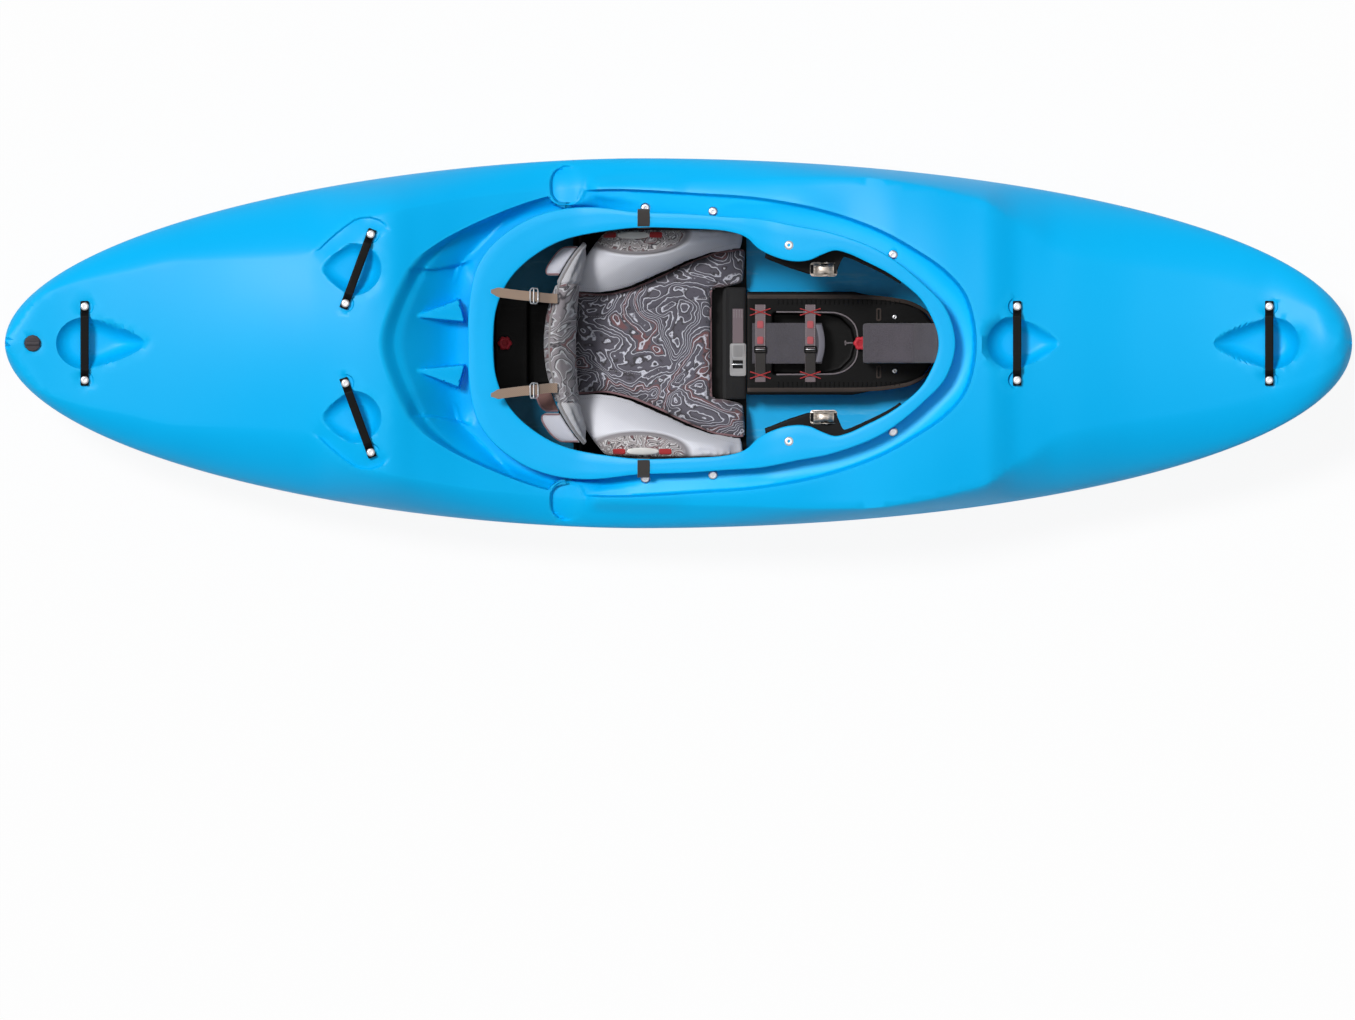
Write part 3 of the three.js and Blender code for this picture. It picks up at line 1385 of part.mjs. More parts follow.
add('rear_tray', rearTray(), blackPlastic);
add('rear_knob', knob(trayRear + REAR_KNOB_INSET, TRAY_TOP), knobRed);
add('center_console', centreConsole(), blackPlastic);
add('console_mat', consoleMat(), foamGrey);
add('console_strap_rear', consoleStrap(REAR_STRAP_SETBACK), webbing);
add('console_strap_front', consoleStrap(FRONT_STRAP_SETBACK), webbing);
add('front_knob', knob(consoleFront - FRONT_KNOB_INSET, CONSOLE_TOP), knobRed);
for (const [side, sign] of Object.entries(sides)) {
  add(`thigh_brace_${side}`, thighBrace(sign), blackPlastic);
  add(`ratchet_${side}`, ratchetBody().applyMatrix4(ratchetFrame(sign)), steel);
  add(`ratchet_lever_${side}`, ratchetLever().applyMatrix4(ratchetFrame(sign)), steel);
}

export default kayak;
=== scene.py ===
import json
import math

import bmesh
import bpy
import numpy as np
from mathutils import Matrix, Vector
from mathutils.bvhtree import BVHTree
from mathutils.geometry import delaunay_2d_cdt


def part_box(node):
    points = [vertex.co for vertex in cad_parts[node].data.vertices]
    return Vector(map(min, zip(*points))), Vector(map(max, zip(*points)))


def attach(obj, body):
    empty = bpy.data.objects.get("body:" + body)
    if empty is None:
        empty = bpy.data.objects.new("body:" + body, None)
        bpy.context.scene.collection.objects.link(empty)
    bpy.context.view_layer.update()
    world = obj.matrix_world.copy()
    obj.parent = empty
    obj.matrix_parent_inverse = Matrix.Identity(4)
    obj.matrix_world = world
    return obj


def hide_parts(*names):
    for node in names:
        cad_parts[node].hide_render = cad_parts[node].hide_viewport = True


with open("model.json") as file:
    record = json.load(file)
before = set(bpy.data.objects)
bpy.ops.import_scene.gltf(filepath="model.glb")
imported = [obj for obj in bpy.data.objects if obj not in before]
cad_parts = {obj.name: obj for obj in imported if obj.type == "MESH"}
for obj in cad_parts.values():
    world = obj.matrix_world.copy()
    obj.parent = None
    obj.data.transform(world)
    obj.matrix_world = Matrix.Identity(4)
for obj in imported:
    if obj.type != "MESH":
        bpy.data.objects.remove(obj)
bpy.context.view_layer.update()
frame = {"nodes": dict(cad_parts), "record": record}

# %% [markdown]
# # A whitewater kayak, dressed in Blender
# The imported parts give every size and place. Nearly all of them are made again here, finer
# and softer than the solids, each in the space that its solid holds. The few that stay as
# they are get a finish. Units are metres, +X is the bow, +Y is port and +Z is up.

NODES = frame["nodes"]

# %% [markdown]
# The photograph is a picture from straight above, without perspective. So the camera is
# orthographic and looks down, and its scale is the real length that the picture's width
# covers. One picture pixel is 1.9 mm.

# %% Camera
PIXEL = 0.0019
PHOTO_WIDTH, PHOTO_HEIGHT = 1355, 1020
MIDSHIPS_PIXEL, CENTRE_LINE_PIXEL = 678.5, 343.25


def photo_x(px):
    return (px - MIDSHIPS_PIXEL) * PIXEL


def photo_y(py):
    return (CENTRE_LINE_PIXEL - py) * PIXEL


def in_scene(name, data):
    """An object for a mesh, curve, lamp or camera, at the origin of the scene."""
    obj = bpy.data.objects.new(name, data)
    bpy.context.scene.collection.objects.link(obj)
    return obj


camera_data = bpy.data.cameras.new("camera")
camera_data.type = "ORTHO"
camera_data.ortho_scale = PHOTO_WIDTH * PIXEL
camera = in_scene("camera", camera_data)
camera.location = (photo_x(PHOTO_WIDTH / 2), photo_y(PHOTO_HEIGHT / 2), 4)
bpy.context.scene.camera = camera
print("camera covers", round(camera_data.ortho_scale, 3), "m")


# %% Helpers for every node tree
def put(tree, socket, value):
    """Links an input to an output, or sets it to a plain value."""
    if isinstance(value, bpy.types.NodeSocket):
        tree.links.new(value, socket)
    else:
        socket.default_value = value


def add_node(tree, kind, *values, **named):
    """A node of that kind. Its inputs come in order or by name, its settings by name."""
    node = tree.nodes.new(kind)
    for name in [name for name in named if hasattr(node, name)]:
        setattr(node, name, named.pop(name))
    for place, value in enumerate(values):
        put(tree, node.inputs[place], value)
    for name, value in named.items():
        put(tree, node.inputs[name.replace("_", " ")], value)
    return node


def maths(tree, operation, *values):
    return add_node(tree, "ShaderNodeMath", *values, operation=operation).outputs[0]


def number_range(tree, value, low, high, source=(0.0, 1.0), **settings):
    """The value carried from the source range to the range from low to high."""
    return add_node(tree, "ShaderNodeMapRange", value, *source, low, high, **settings).outputs["Result"]


def coordinate(tree, axis, absolute=False):
    """One of the object's own coordinates, or its distance from the middle."""
    place = add_node(tree, "ShaderNodeTexCoord")
    along_axis = add_node(tree, "ShaderNodeSeparateXYZ", place.outputs["Object"]).outputs[axis]
    return maths(tree, "ABSOLUTE", along_axis) if absolute else along_axis


# %% [markdown]
# The light is a plain studio: a pale sky that is weaker below, a large soft lamp from the
# port side and a weak one overhead. Together they bring a level face to about its written
# colour. What the camera sees past the floor is white.

# %% World and lamps
SKY_ABOVE, SKY_BELOW, SKY_RANGE = 0.18, 0.08, (-0.6, 0.9)
SKY_COLOUR, WHITE = (0.93, 0.97, 1, 1), (1, 1, 1, 1)
# where each lamp stands, its strength and its width in degrees
LAMPS = [((-0.34, 0.27, 0.9), 2.55, 12), ((0, 0.02, 1), 0.45, 40)]

bpy.context.scene.view_settings.view_transform = "Standard"
world = bpy.data.worlds.new("studio")
world.use_nodes = True
bpy.context.scene.world = world


def build_world():
    tree = world.node_tree
    tree.nodes.clear()
    place = add_node(tree, "ShaderNodeTexCoord")
    up = add_node(tree, "ShaderNodeSeparateXYZ", place.outputs["Generated"]).outputs["Z"]
    height = number_range(tree, up, SKY_BELOW, SKY_ABOVE, SKY_RANGE)
    sky = add_node(tree, "ShaderNodeBackground", Color=SKY_COLOUR, Strength=height)
    white = add_node(tree, "ShaderNodeBackground", Color=WHITE, Strength=1)
    rays = add_node(tree, "ShaderNodeLightPath").outputs
    seen = maths(tree, "MAXIMUM", rays["Is Transmission Ray"], rays["Is Glossy Ray"])
    seen = maths(tree, "MAXIMUM", rays["Is Camera Ray"], seen)
    both = add_node(tree, "ShaderNodeMixShader", seen, sky.outputs[0], white.outputs[0])
    add_node(tree, "ShaderNodeOutputWorld", Surface=both.outputs[0])


build_world()
for stands, strength, spread in LAMPS:
    lamp_data = bpy.data.lights.new("lamp", "SUN")
    lamp_data.energy = strength
    lamp_data.angle = math.radians(spread)
    lamp = in_scene("lamp", lamp_data)
    lamp.rotation_mode = "QUATERNION"
    lamp.rotation_quaternion = Vector(stands).to_track_quat("Z", "Y")
    print("lamp stands", round(math.degrees(Vector(stands).angle((0, 0, 1)))), "degrees off the zenith")

# %% [markdown]
# ## Shared effects
# Moulded plastic is never quite even: it has a fine grain, it is a little paler where it
# rubs, and its flats are scuffed. Each effect is a node group, built once and used in many
# finishes with its own values.

# %% Group helper
def new_group(name, inputs, outputs):
    """An empty shader group and its inputs. inputs holds defaults, outputs are all numbers."""
    tree = bpy.data.node_groups.new(name, "ShaderNodeTree")
    for label, value in inputs.items():
        kind = "NodeSocketFloat" if isinstance(value, float) else "NodeSocketVector"
        tree.interface.new_socket(label, in_out="INPUT", socket_type=kind).default_value = value
    for label in outputs:
        tree.interface.new_socket(label, in_out="OUTPUT", socket_type="NodeSocketFloat")
    return tree, add_node(tree, "NodeGroupInput").outputs


# %% Grain: a fine height and a slow change of shade
def build_grain():
    sizes = {"Scale": 400.0, "Patch Scale": 3.0, "Detail": 4.0}
    tree, given = new_group("grain", sizes, ("Height", "Patches"))
    place = add_node(tree, "ShaderNodeTexCoord").outputs["Object"]
    fine = add_node(tree, "ShaderNodeTexNoise", Vector=place, Scale=given["Scale"], Detail=given["Detail"])
    slow = add_node(tree, "ShaderNodeTexNoise", Vector=place, Scale=given["Patch Scale"], Detail=3.0)
    add_node(tree, "NodeGroupOutput", Height=fine.outputs["Fac"], Patches=slow.outputs["Fac"])
    return tree


GRAIN = build_grain()


# %% Wear: pale, scuffed streaks where an edge or a flat rubs
def build_wear():
    tree, given = new_group("wear", {"Scale": 30.0, "Amount": 0.3, "Low": 0.5}, ("Edge", "Scuff"))
    shape = add_node(tree, "ShaderNodeNewGeometry")
    edge = number_range(tree, shape.outputs["Pointiness"], 0, 1, (0.5, 0.6))
    place = add_node(tree, "ShaderNodeTexCoord")
    streaks = add_node(tree, "ShaderNodeMapping", Vector=place.outputs["Object"], Scale=(0.25, 1.6, 1.6))
    noise = add_node(tree, "ShaderNodeTexNoise", Vector=streaks.outputs["Vector"], Scale=given["Scale"],
                     Detail=6.0, Roughness=0.65)
    scuff = number_range(tree, noise.outputs["Fac"], 0, 1, (given["Low"], 0.8))
    add_node(tree, "NodeGroupOutput", Edge=maths(tree, "MULTIPLY", edge, given["Amount"]),
             Scuff=maths(tree, "MULTIPLY", scuff, given["Amount"]))
    return tree


WEAR = build_wear()


# %% Weave: crossing threads, as a height and a mask of light and dark threads
def build_weave():
    tree, given = new_group("weave", {"Threads": 900.0, "Along": (1, 0, 0), "Across": (0, 1, 0)},
                            ("Height", "Shade"))
    place = add_node(tree, "ShaderNodeTexCoord").outputs["Object"]
    waves = []
    for way in ("Along", "Across"):
        reach = add_node(tree, "ShaderNodeVectorMath", place, given[way], operation="DOT_PRODUCT")
        phase = maths(tree, "MULTIPLY", reach.outputs["Value"], given["Threads"])
        waves.append(maths(tree, "SINE", phase))
    shade = maths(tree, "MULTIPLY_ADD", maths(tree, "MULTIPLY", *waves), 0.5, 0.5)
    fuzz = add_node(tree, "ShaderNodeTexNoise", Vector=place, Scale=240.0, Detail=3.0)
    height = maths(tree, "MULTIPLY_ADD", fuzz.outputs["Fac"], 0.6, shade)
    add_node(tree, "NodeGroupOutput", Height=height, Shade=shade)
    return tree


WEAVE = build_weave()
print("groups", [group.name for group in (GRAIN, WEAR, WEAVE)])

# %% [markdown]
# ## Finishes
# A finish lays two or more shades of one colour over each other by those masks, and changes
# its roughness and its bump with them. One helper starts a material, one lays the colours
# and one joins them to the surface.

# %% Material helpers
def start_material(name, **sockets):
    material = bpy.data.materials.new(name)
    material.use_nodes = True
    tree = material.node_tree
    surface = tree.nodes["Principled BSDF"]
    for socket, value in sockets.items():
        surface.inputs[socket.replace("_", " ")].default_value = value
    return material, tree, surface


def add_group(tree, group, **values):
    return add_node(tree, "ShaderNodeGroup", node_tree=group, **values).outputs


def layered(tree, colour, *layers):
    """A colour with others over it. A layer is a mask and a colour, each colour plain or an output."""
    for mask, over in layers:
        node = add_node(tree, "ShaderNodeMix", mask, data_type="RGBA")
        for socket, value in ((node.inputs[6], colour), (node.inputs[7], over)):
            put(tree, socket, (*value, 1) if isinstance(value, tuple) else value)
        colour = node.outputs[2]
    return colour


def dress(tree, surface, colour, height, strength, distance, roughness=None):
    """Joins a finish to its surface. height is raised by a bump, strength and distance are its own."""
    put(tree, surface.inputs["Base Color"], colour)
    if roughness:
        put(tree, surface.inputs["Roughness"], roughness)
    raised = add_node(tree, "ShaderNodeBump", Strength=strength, Distance=distance, Height=height)
    put(tree, surface.inputs["Normal"], raised.outputs["Normal"])


def linear(red, green, blue):
    """A colour as shader numbers, from its 0 to 255 screen values."""
    shares = (value / 255 for value in (red, green, blue))
    return tuple(share / 12.92 if share <= 0.04045 else ((share + 0.055) / 1.055) ** 2.4 for share in shares)


# %% [markdown]
# The hull is rotationally moulded polyethylene: through-coloured, satin, with a slight
# orange-peel skin. Its bottom is scuffed pale by rocks and landings, which here is a mask
# of long streaks that fades out with height. Two marks on the skin's points carry painted
# shade and painted light: the inner wall is painted darker as shade, most of all aft, and
# the trough floor is painted paler to lift the shade that its wall casts.

# %% Hull finish
def hull_finish():
    material, tree, surface = start_material("hull_plastic", Roughness=0.4, Specular_IOR_Level=0.12)
    grain = add_group(tree, GRAIN, Scale=520.0, Patch_Scale=2.2, Detail=3.0)
    wear = add_group(tree, WEAR, Scale=26.0, Amount=0.5, Low=0.56)
    low = number_range(tree, coordinate(tree, "Z"), 1.0, 0.0, (0.02, 0.11))
    rubbed = maths(tree, "MULTIPLY", low, wear["Scuff"])
    # The inside mark paints shade: it darkens the inner wall and the opening's lower wall to a deep teal.
    trough, inside = (add_node(tree, "ShaderNodeAttribute", attribute_name=mark).outputs["Fac"]
                      for mark in ("trough", "inside"))
    # The trough layer is painted light: a paler floor where the trough's wall casts shade on it.
    colour = layered(tree, linear(0, 171, 237), (grain["Patches"], linear(2, 183, 244)),
                     (trough, linear(10, 187, 243)), (inside, linear(0, 112, 150)),
                     (wear["Edge"], linear(40, 196, 255)), (rubbed, linear(120, 190, 215)))
    roughness = number_range(tree, grain["Patches"], 0.3, 0.44)
    dress(tree, surface, colour, grain["Height"], 0.12, 0.0006, roughness)
    return material


# %% Plastic, metal and foam finishes
def plastic_finish(name, dark, pale, roughness, grain_scale=700.0, strength=0.25):
    material, tree, surface = start_material(name, Roughness=roughness, Specular_IOR_Level=0.06)
    grain = add_group(tree, GRAIN, Scale=grain_scale, Patch_Scale=14.0, Detail=5.0)
    wear = add_group(tree, WEAR, Scale=60.0, Amount=0.4, Low=0.55)
    colour = layered(tree, dark, (grain["Patches"], pale),
                     (wear["Scuff"], tuple(1.8 * c + 0.008 for c in pale)),
                     (wear["Edge"], tuple(2.2 * c + 0.012 for c in pale)))
    rough = number_range(tree, grain["Patches"], roughness - 0.08, roughness + 0.12)
    dress(tree, surface, colour, grain["Height"], strength, 0.0007, rough)
    return material


def metal_finish(name, grain_scales, wear_values, shades, roughness, strength, distance):
    """Bare metal in a dark and a pale shade, with a third one where it is scratched."""
    material, tree, surface = start_material(name, Metallic=1.0)
    grain = add_group(tree, GRAIN, Scale=grain_scales[0], Patch_Scale=grain_scales[1], Detail=6.0)
    wear = add_group(tree, WEAR, Scale=wear_values[0], Amount=wear_values[1], Low=wear_values[2])
    colour = layered(tree, shades[0], (grain["Patches"], shades[1]), (wear["Scuff"], shades[2]))
    rough = number_range(tree, grain["Height"], *roughness)
    dress(tree, surface, colour, grain["Height"], strength, distance, rough)
    return material


def foam_finish(name, dark, pale):
    material, tree, surface = start_material(name, Roughness=0.95, Sheen_Weight=0.15)
    place = add_node(tree, "ShaderNodeTexCoord")
    cells = add_node(tree, "ShaderNodeTexVoronoi", Vector=place.outputs["Object"], Scale=650.0)
    grain = add_group(tree, GRAIN, Scale=300.0, Patch_Scale=20.0, Detail=6.0)
    speckle = number_range(tree, cells.outputs["Distance"], 1.0, 0.0, (0.0, 0.7))
    colour = layered(tree, dark, (speckle, pale), (grain["Patches"], tuple(0.8 * c for c in pale)))
    dress(tree, surface, colour, cells.outputs["Distance"], 0.5, 0.0008)
    return material


# %% Webbing and plain fabric finishes
def fabric_finish(name, dark, pale, threads=1700.0, sheen=0.2):
    material, tree, surface = start_material(name, Roughness=0.9, Sheen_Weight=sheen)
    weave = add_group(tree, WEAVE, Threads=threads)
    grain = add_group(tree, GRAIN, Scale=200.0, Patch_Scale=16.0, Detail=5.0)
    colour = layered(tree, dark, (weave["Shade"], pale), (grain["Patches"], tuple(0.82 * c for c in pale)))
    rough = number_range(tree, grain["Patches"], 0.8, 0.98)
    dress(tree, surface, colour, weave["Height"], 0.35, 0.0006, rough)
    return material


HULL_PLASTIC = hull_finish()
BLACK_PLASTIC = plastic_finish("black_plastic", linear(4, 4, 4), linear(14, 13, 13), 0.42)
GREY_PLASTIC = plastic_finish("grey_plastic", linear(58, 55, 58), linear(76, 72, 76), 0.5)
RED_PLASTIC = plastic_finish("red_plastic", linear(150, 30, 42), linear(182, 52, 62), 0.35, 300.0, 0.1)
STEEL = metal_finish("steel", (1500.0, 90.0), (220.0, 0.5, 0.5),
                     ((0.3, 0.3, 0.31), (0.5, 0.5, 0.51), (0.68, 0.68, 0.68)), (0.2, 0.42), 0.08, 0.0003)
FOAM = foam_finish("foam", linear(58, 54, 59), linear(96, 90, 97))
WEBBING = fabric_finish("webbing", linear(92, 80, 84), linear(126, 111, 115))
DARK_WEBBING = fabric_finish("dark_webbing", linear(30, 28, 27), linear(52, 48, 46))
print("finishes", len(bpy.data.materials))

# %% [markdown]
# ## The hull's lines
# A hull is drawn with a few lines along its length: where the keel rises, how wide the
# crease of the deck lies, how high the shoulder runs. Each is a table of places, as shares
# of the length, the half beam and the depth, and a smooth curve joins them without
# overshooting. The same lines made the solid hull, so this finer skin lies on it.

# %% Sizes and smooth tables
LENGTH, BEAM, DEPTH, WALL = 2.56, 0.703, 0.383, 0.006
HALF = BEAM / 2
CHINE_RISE = 0.035
WIDEST, CHINE_WIDTH = 0.4714, 0.8
DECK_POWER, DECK_ROOT = 1.35, 0.62


def smooth(table):
    """A curve through (place, value) pairs that never overshoots them."""
    xs, ys = np.array(table, float).T
    slope = np.diff(ys) / np.diff(xs)
    both = slope[:-1] * slope[1:]
    mean = np.where(both > 0, 2 * both / np.where(both > 0, slope[:-1] + slope[1:], 1), 0)
    slopes = np.concatenate([[0], mean, [0]])

    def value(x):
        x = np.clip(np.asarray(x, float), xs[0], xs[-1])
        i = np.clip(np.searchsorted(xs, x, side="right") - 1, 0, len(xs) - 2)
        width = xs[i + 1] - xs[i]
        t = (x - xs[i]) / width
        return (ys[i] * (2 * t**3 - 3 * t**2 + 1) + slopes[i] * width * (t**3 - 2 * t**2 + t)
                + ys[i + 1] * (3 * t**2 - 2 * t**3) + slopes[i + 1] * width * (t**3 - t**2))
    return value


def mix(a, b, t):
    return a + (b - a) * t


def ease(t):
    t = np.clip(t, 0, 1)
    return t * t * (3 - 2 * t)


def along(share):
    return (share - 0.5) * LENGTH


# %% The lines
deck_height = smooth([
    (0, 0.707), (0.041, 0.697), (0.1, 0.722), (0.16, 0.767), (0.219, 0.836), (0.282, 0.901),
    (0.308, 0.849), (0.338, 0.779), (0.3675, 0.725), (0.397, 0.675), (0.421, 0.65),
    (0.457, 0.665), (0.486, 0.7), (0.516, 0.744), (0.546, 0.799), (0.575, 0.854),
    (0.605, 0.893), (0.635, 0.928), (0.664, 0.963), (0.705, 0.985), (0.7275, 0.985),
    (0.7535, 0.935), (0.783, 0.911), (0.843, 0.856), (0.902, 0.836), (0.932, 0.836),
    (0.961, 0.871), (0.982, 0.903), (0.9926, 0.896), (1, 0.834),
])
rim_height = smooth([
    (0.28, 0.7), (0.35, 0.695), (0.397, 0.685), (0.421, 0.685), (0.457, 0.727),
    (0.486, 0.772), (0.516, 0.821), (0.546, 0.871), (0.575, 0.9256), (0.605, 0.95),
    (0.635, 0.975), (0.664, 0.993), (0.7, 1), (0.74, 1),
])
shoulder_height = smooth([
    (0, 0.635), (0.041, 0.605), (0.1, 0.566), (0.167, 0.536), (0.293, 0.551), (0.457, 0.556),
    (0.5, 0.586), (0.546, 0.625), (0.59, 0.65), (0.635, 0.635), (0.679, 0.6), (0.737, 0.556),
    (0.823, 0.583), (0.89, 0.655), (0.94, 0.725), (0.984, 0.78), (1, 0.78),
])
crease_width = smooth([
    (0, 0.03), (0.0245, 0.243), (0.053, 0.324), (0.091, 0.381), (0.129, 0.438), (0.186, 0.449),
    (0.2235, 0.47), (0.246, 0.589), (0.275, 0.686), (0.308, 0.735), (0.353, 0.789),
    (0.403, 0.822), (0.471, 0.865), (0.546, 0.876), (0.605, 0.89), (0.635, 0.89),
    (0.679, 0.85), (0.714, 0.79), (0.7275, 0.76), (0.747, 0.654), (0.762, 0.584),
    (0.781, 0.481), (0.823, 0.422), (0.88, 0.354), (0.936, 0.257), (0.974, 0.162),
    (0.9926, 0.076), (1, 0),
])
crease_drop = smooth([
    (0, 0.1), (0.2235, 0.12), (0.3, 0.15), (0.6, 0.18), (0.7, 0.25), (0.75, 0.2), (0.8, 0.12),
    (1, 0.15),
])


# %% Sections of the hull
def half_beam(s):
    stern = np.clip((WIDEST - s) / WIDEST, 0, 1)
    bow = np.clip((s - WIDEST) / (1 - WIDEST), 0, 1)
    return HALF * np.where(s < WIDEST, (1 - stern**1.8) ** 0.515, (1 - bow**2) ** 0.487)


def keel_height(s):
    stern = np.clip((0.397 - s) / 0.397, 0, 1)
    bow = np.clip((s - 0.5457) / (1 - 0.5457), 0, 1)
    return DEPTH * (0.568 * stern**2.15 + 0.687 * bow**2.95)


def frame_at(s):
    """half beam, keel, chine, shoulder, crease's width, crease's height and centre's height."""
    half, keel = half_beam(s), keel_height(s)
    shoulder, centre = DEPTH * shoulder_height(s), DEPTH * deck_height(s)
    crease = np.minimum(HALF * crease_width(s), half * 0.97)
    chine = keel + np.minimum(CHINE_RISE, 0.3 * (shoulder - keel))
    return half, keel, chine, shoulder, crease, centre - crease_drop(s) * (centre - shoulder), centre


def deck_z(x, y):
    half, _, _, shoulder, crease, crease_z, centre = frame_at(np.asarray(x) / LENGTH + 0.5)
    offset = np.abs(y)
    crease = np.maximum(crease, 1e-6)
    inside = centre - (centre - crease_z) * (offset / crease) ** 2
    t = np.clip((offset - crease) / np.maximum(half - crease, 1e-6), 0, 1)
    outside = shoulder + (crease_z - shoulder) * (1 - t**DECK_POWER) ** DECK_ROOT
    return np.where(offset <= crease, inside, outside)


def rim_z(x):
    return DEPTH * rim_height(np.asarray(x) / LENGTH + 0.5)


print("deck at the bow handle", round(float(deck_z(along(0.9384), 0)), 4))

# %% [markdown]
# Three loops run round the cockpit: the opening, the outer edge of the lip, and the brink
# where the deck drops into the trough that the lip stands in. A sprayskirt hooks under the
# lip. Behind the seat the trough widens to a bowl.

# %% Loops round the cockpit
AROUND = 480
TROUGH_DEPTH, TROUGH_FLAT_RUN = 0.046, 0.03
WALL_RUN_BOWL, WALL_RUN_AFT, WALL_RUN_FORE, WALL_STEPS, EDGE_SHARE = 0.036, 0.017, 0.0075, 7, 0.5
BOWL_SLOPE, NECK_SHARE = 0.62, 0.45


def loop_of(table, steps=AROUND):
    """A closed smooth loop through (x, y) shares of the port side, in even steps."""
    port = [(along(s), HALF * w) for s, w in table]
    p1 = np.array(port + [(x, -y) for x, y in port[-2:0:-1]])
    p0, p2, p3 = (np.roll(p1, shift, axis=0) for shift in (1, -1, -2))
    d0, d1, d2 = (np.linalg.norm(b - a, axis=1)[:, None] ** 0.5
                  for a, b in ((p0, p1), (p1, p2), (p2, p3)))
    leave = ((p1 - p0) / d0 - (p2 - p0) / (d0 + d1) + (p2 - p1) / d1) * d1
    arrive = ((p2 - p1) / d1 - (p3 - p1) / (d1 + d2) + (p3 - p2) / d2) * d1
    t = np.linspace(0, 1, 40, endpoint=False)[None, :, None]
    p1, p2, leave, arrive = (v[:, None, :] for v in (p1, p2, leave, arrive))
    fine = (p1 * (2 * t**3 - 3 * t**2 + 1) + leave * (t**3 - 2 * t**2 + t)
            + p2 * (3 * t**2 - 2 * t**3) + arrive * (t**3 - t**2)).reshape(-1, 2)
    fine = np.vstack([fine, fine[:1]])
    reach = np.concatenate([[0], np.cumsum(np.linalg.norm(np.diff(fine, axis=0), axis=1))])
    at = np.linspace(0, reach[-1], steps, endpoint=False)
    return np.stack([np.interp(at, reach, fine[:, k]) for k in (0, 1)], axis=1)


OPENING = loop_of([
    (0.3626, 0), (0.3653, 0.2), (0.3756, 0.354), (0.3938, 0.478), (0.4165, 0.562),
    (0.4566, 0.616), (0.475, 0.6255), (0.5, 0.6216), (0.536, 0.605), (0.55, 0.573),
    (0.56, 0.508), (0.5746, 0.459), (0.5865, 0.442), (0.597, 0.4486), (0.6073, 0.481),
    (0.616, 0.501), (0.6259, 0.485), (0.64, 0.438), (0.6555, 0.38), (0.669, 0.311),
    (0.68, 0.236), (0.6867, 0.156), (0.6916, 0.07), (0.693, 0),
])
LIP = loop_of([
    (0.3436, 0), (0.3452, 0.262), (0.3503, 0.41), (0.3588, 0.509), (0.3698, 0.586), (0.3868, 0.665),
    (0.4037, 0.71), (0.4206, 0.732), (0.4405, 0.734), (0.4677, 0.711), (0.504, 0.701), (0.5345, 0.686),
    (0.5605, 0.673), (0.59, 0.632), (0.6125, 0.6), (0.643, 0.522), (0.6607, 0.447),
    (0.681, 0.325), (0.6986, 0.185), (0.7055, 0),
])
BRINK = loop_of([
    (0.2784, 0), (0.2895, 0.27), (0.303, 0.436), (0.322, 0.546), (0.36, 0.685),
    (0.403, 0.795), (0.4417, 0.833), (0.516, 0.812), (0.5605, 0.788), (0.608, 0.723),
    (0.648, 0.622), (0.678, 0.502), (0.7, 0.388), (0.7149, 0.25), (0.7216, 0),
])
SCOOP_X, SCOOP_Y, SCOOP_RADIUS = photo_x(567), photo_y(189), 0.031
in_scoop = np.abs(BRINK[:, 0] - SCOOP_X) < SCOOP_RADIUS
tongue = SCOOP_Y - np.sqrt(SCOOP_RADIUS**2 - (BRINK[in_scoop, 0] - SCOOP_X) ** 2)
BRINK[in_scoop, 1] = np.sign(BRINK[in_scoop, 1]) * np.minimum(np.abs(BRINK[in_scoop, 1]), tongue)
NECK = mix(OPENING, LIP, NECK_SHARE)
TROUGH_RUN = np.linalg.norm(BRINK - LIP, axis=1)[:, None]
OUTWARD = (BRINK - LIP) / TROUGH_RUN
print("trough is", np.round(1000 * TROUGH_RUN.min()), "to", np.round(1000 * TROUGH_RUN.max()), "mm wide")


# %% The crown: beside the cockpit the gunwale swells up along the brink
CROWN = smooth([(0.43, 0), (0.441, 0.013), (0.492, 0.0135), (0.51, 0.0085), (0.585, 0.0085), (0.63, 0)])


def brink_half(x):
    port = BRINK[BRINK[:, 1] > 0]
    order = np.argsort(port[:, 0])
    return np.interp(x, port[order, 0], port[order, 1])


def crowned_z(x, y):
    """The deck's height with the crown, which fades out toward the deck's edge."""
    x, offset = np.asarray(x, float), np.abs(y)
    half, _, _, _, crease, _, _ = frame_at(x / LENGTH + 0.5)
    start, end = brink_half(x), mix(crease, half, EDGE_SHARE)
    share = np.clip((offset - start) / np.maximum(end - start, 0.005), 0, 1)
    s = np.clip(x / LENGTH + 0.5, 0.43, 0.63)
    return deck_z(x, y) + CROWN(s) * (1 - ease(share)) * (offset > start - 0.03)


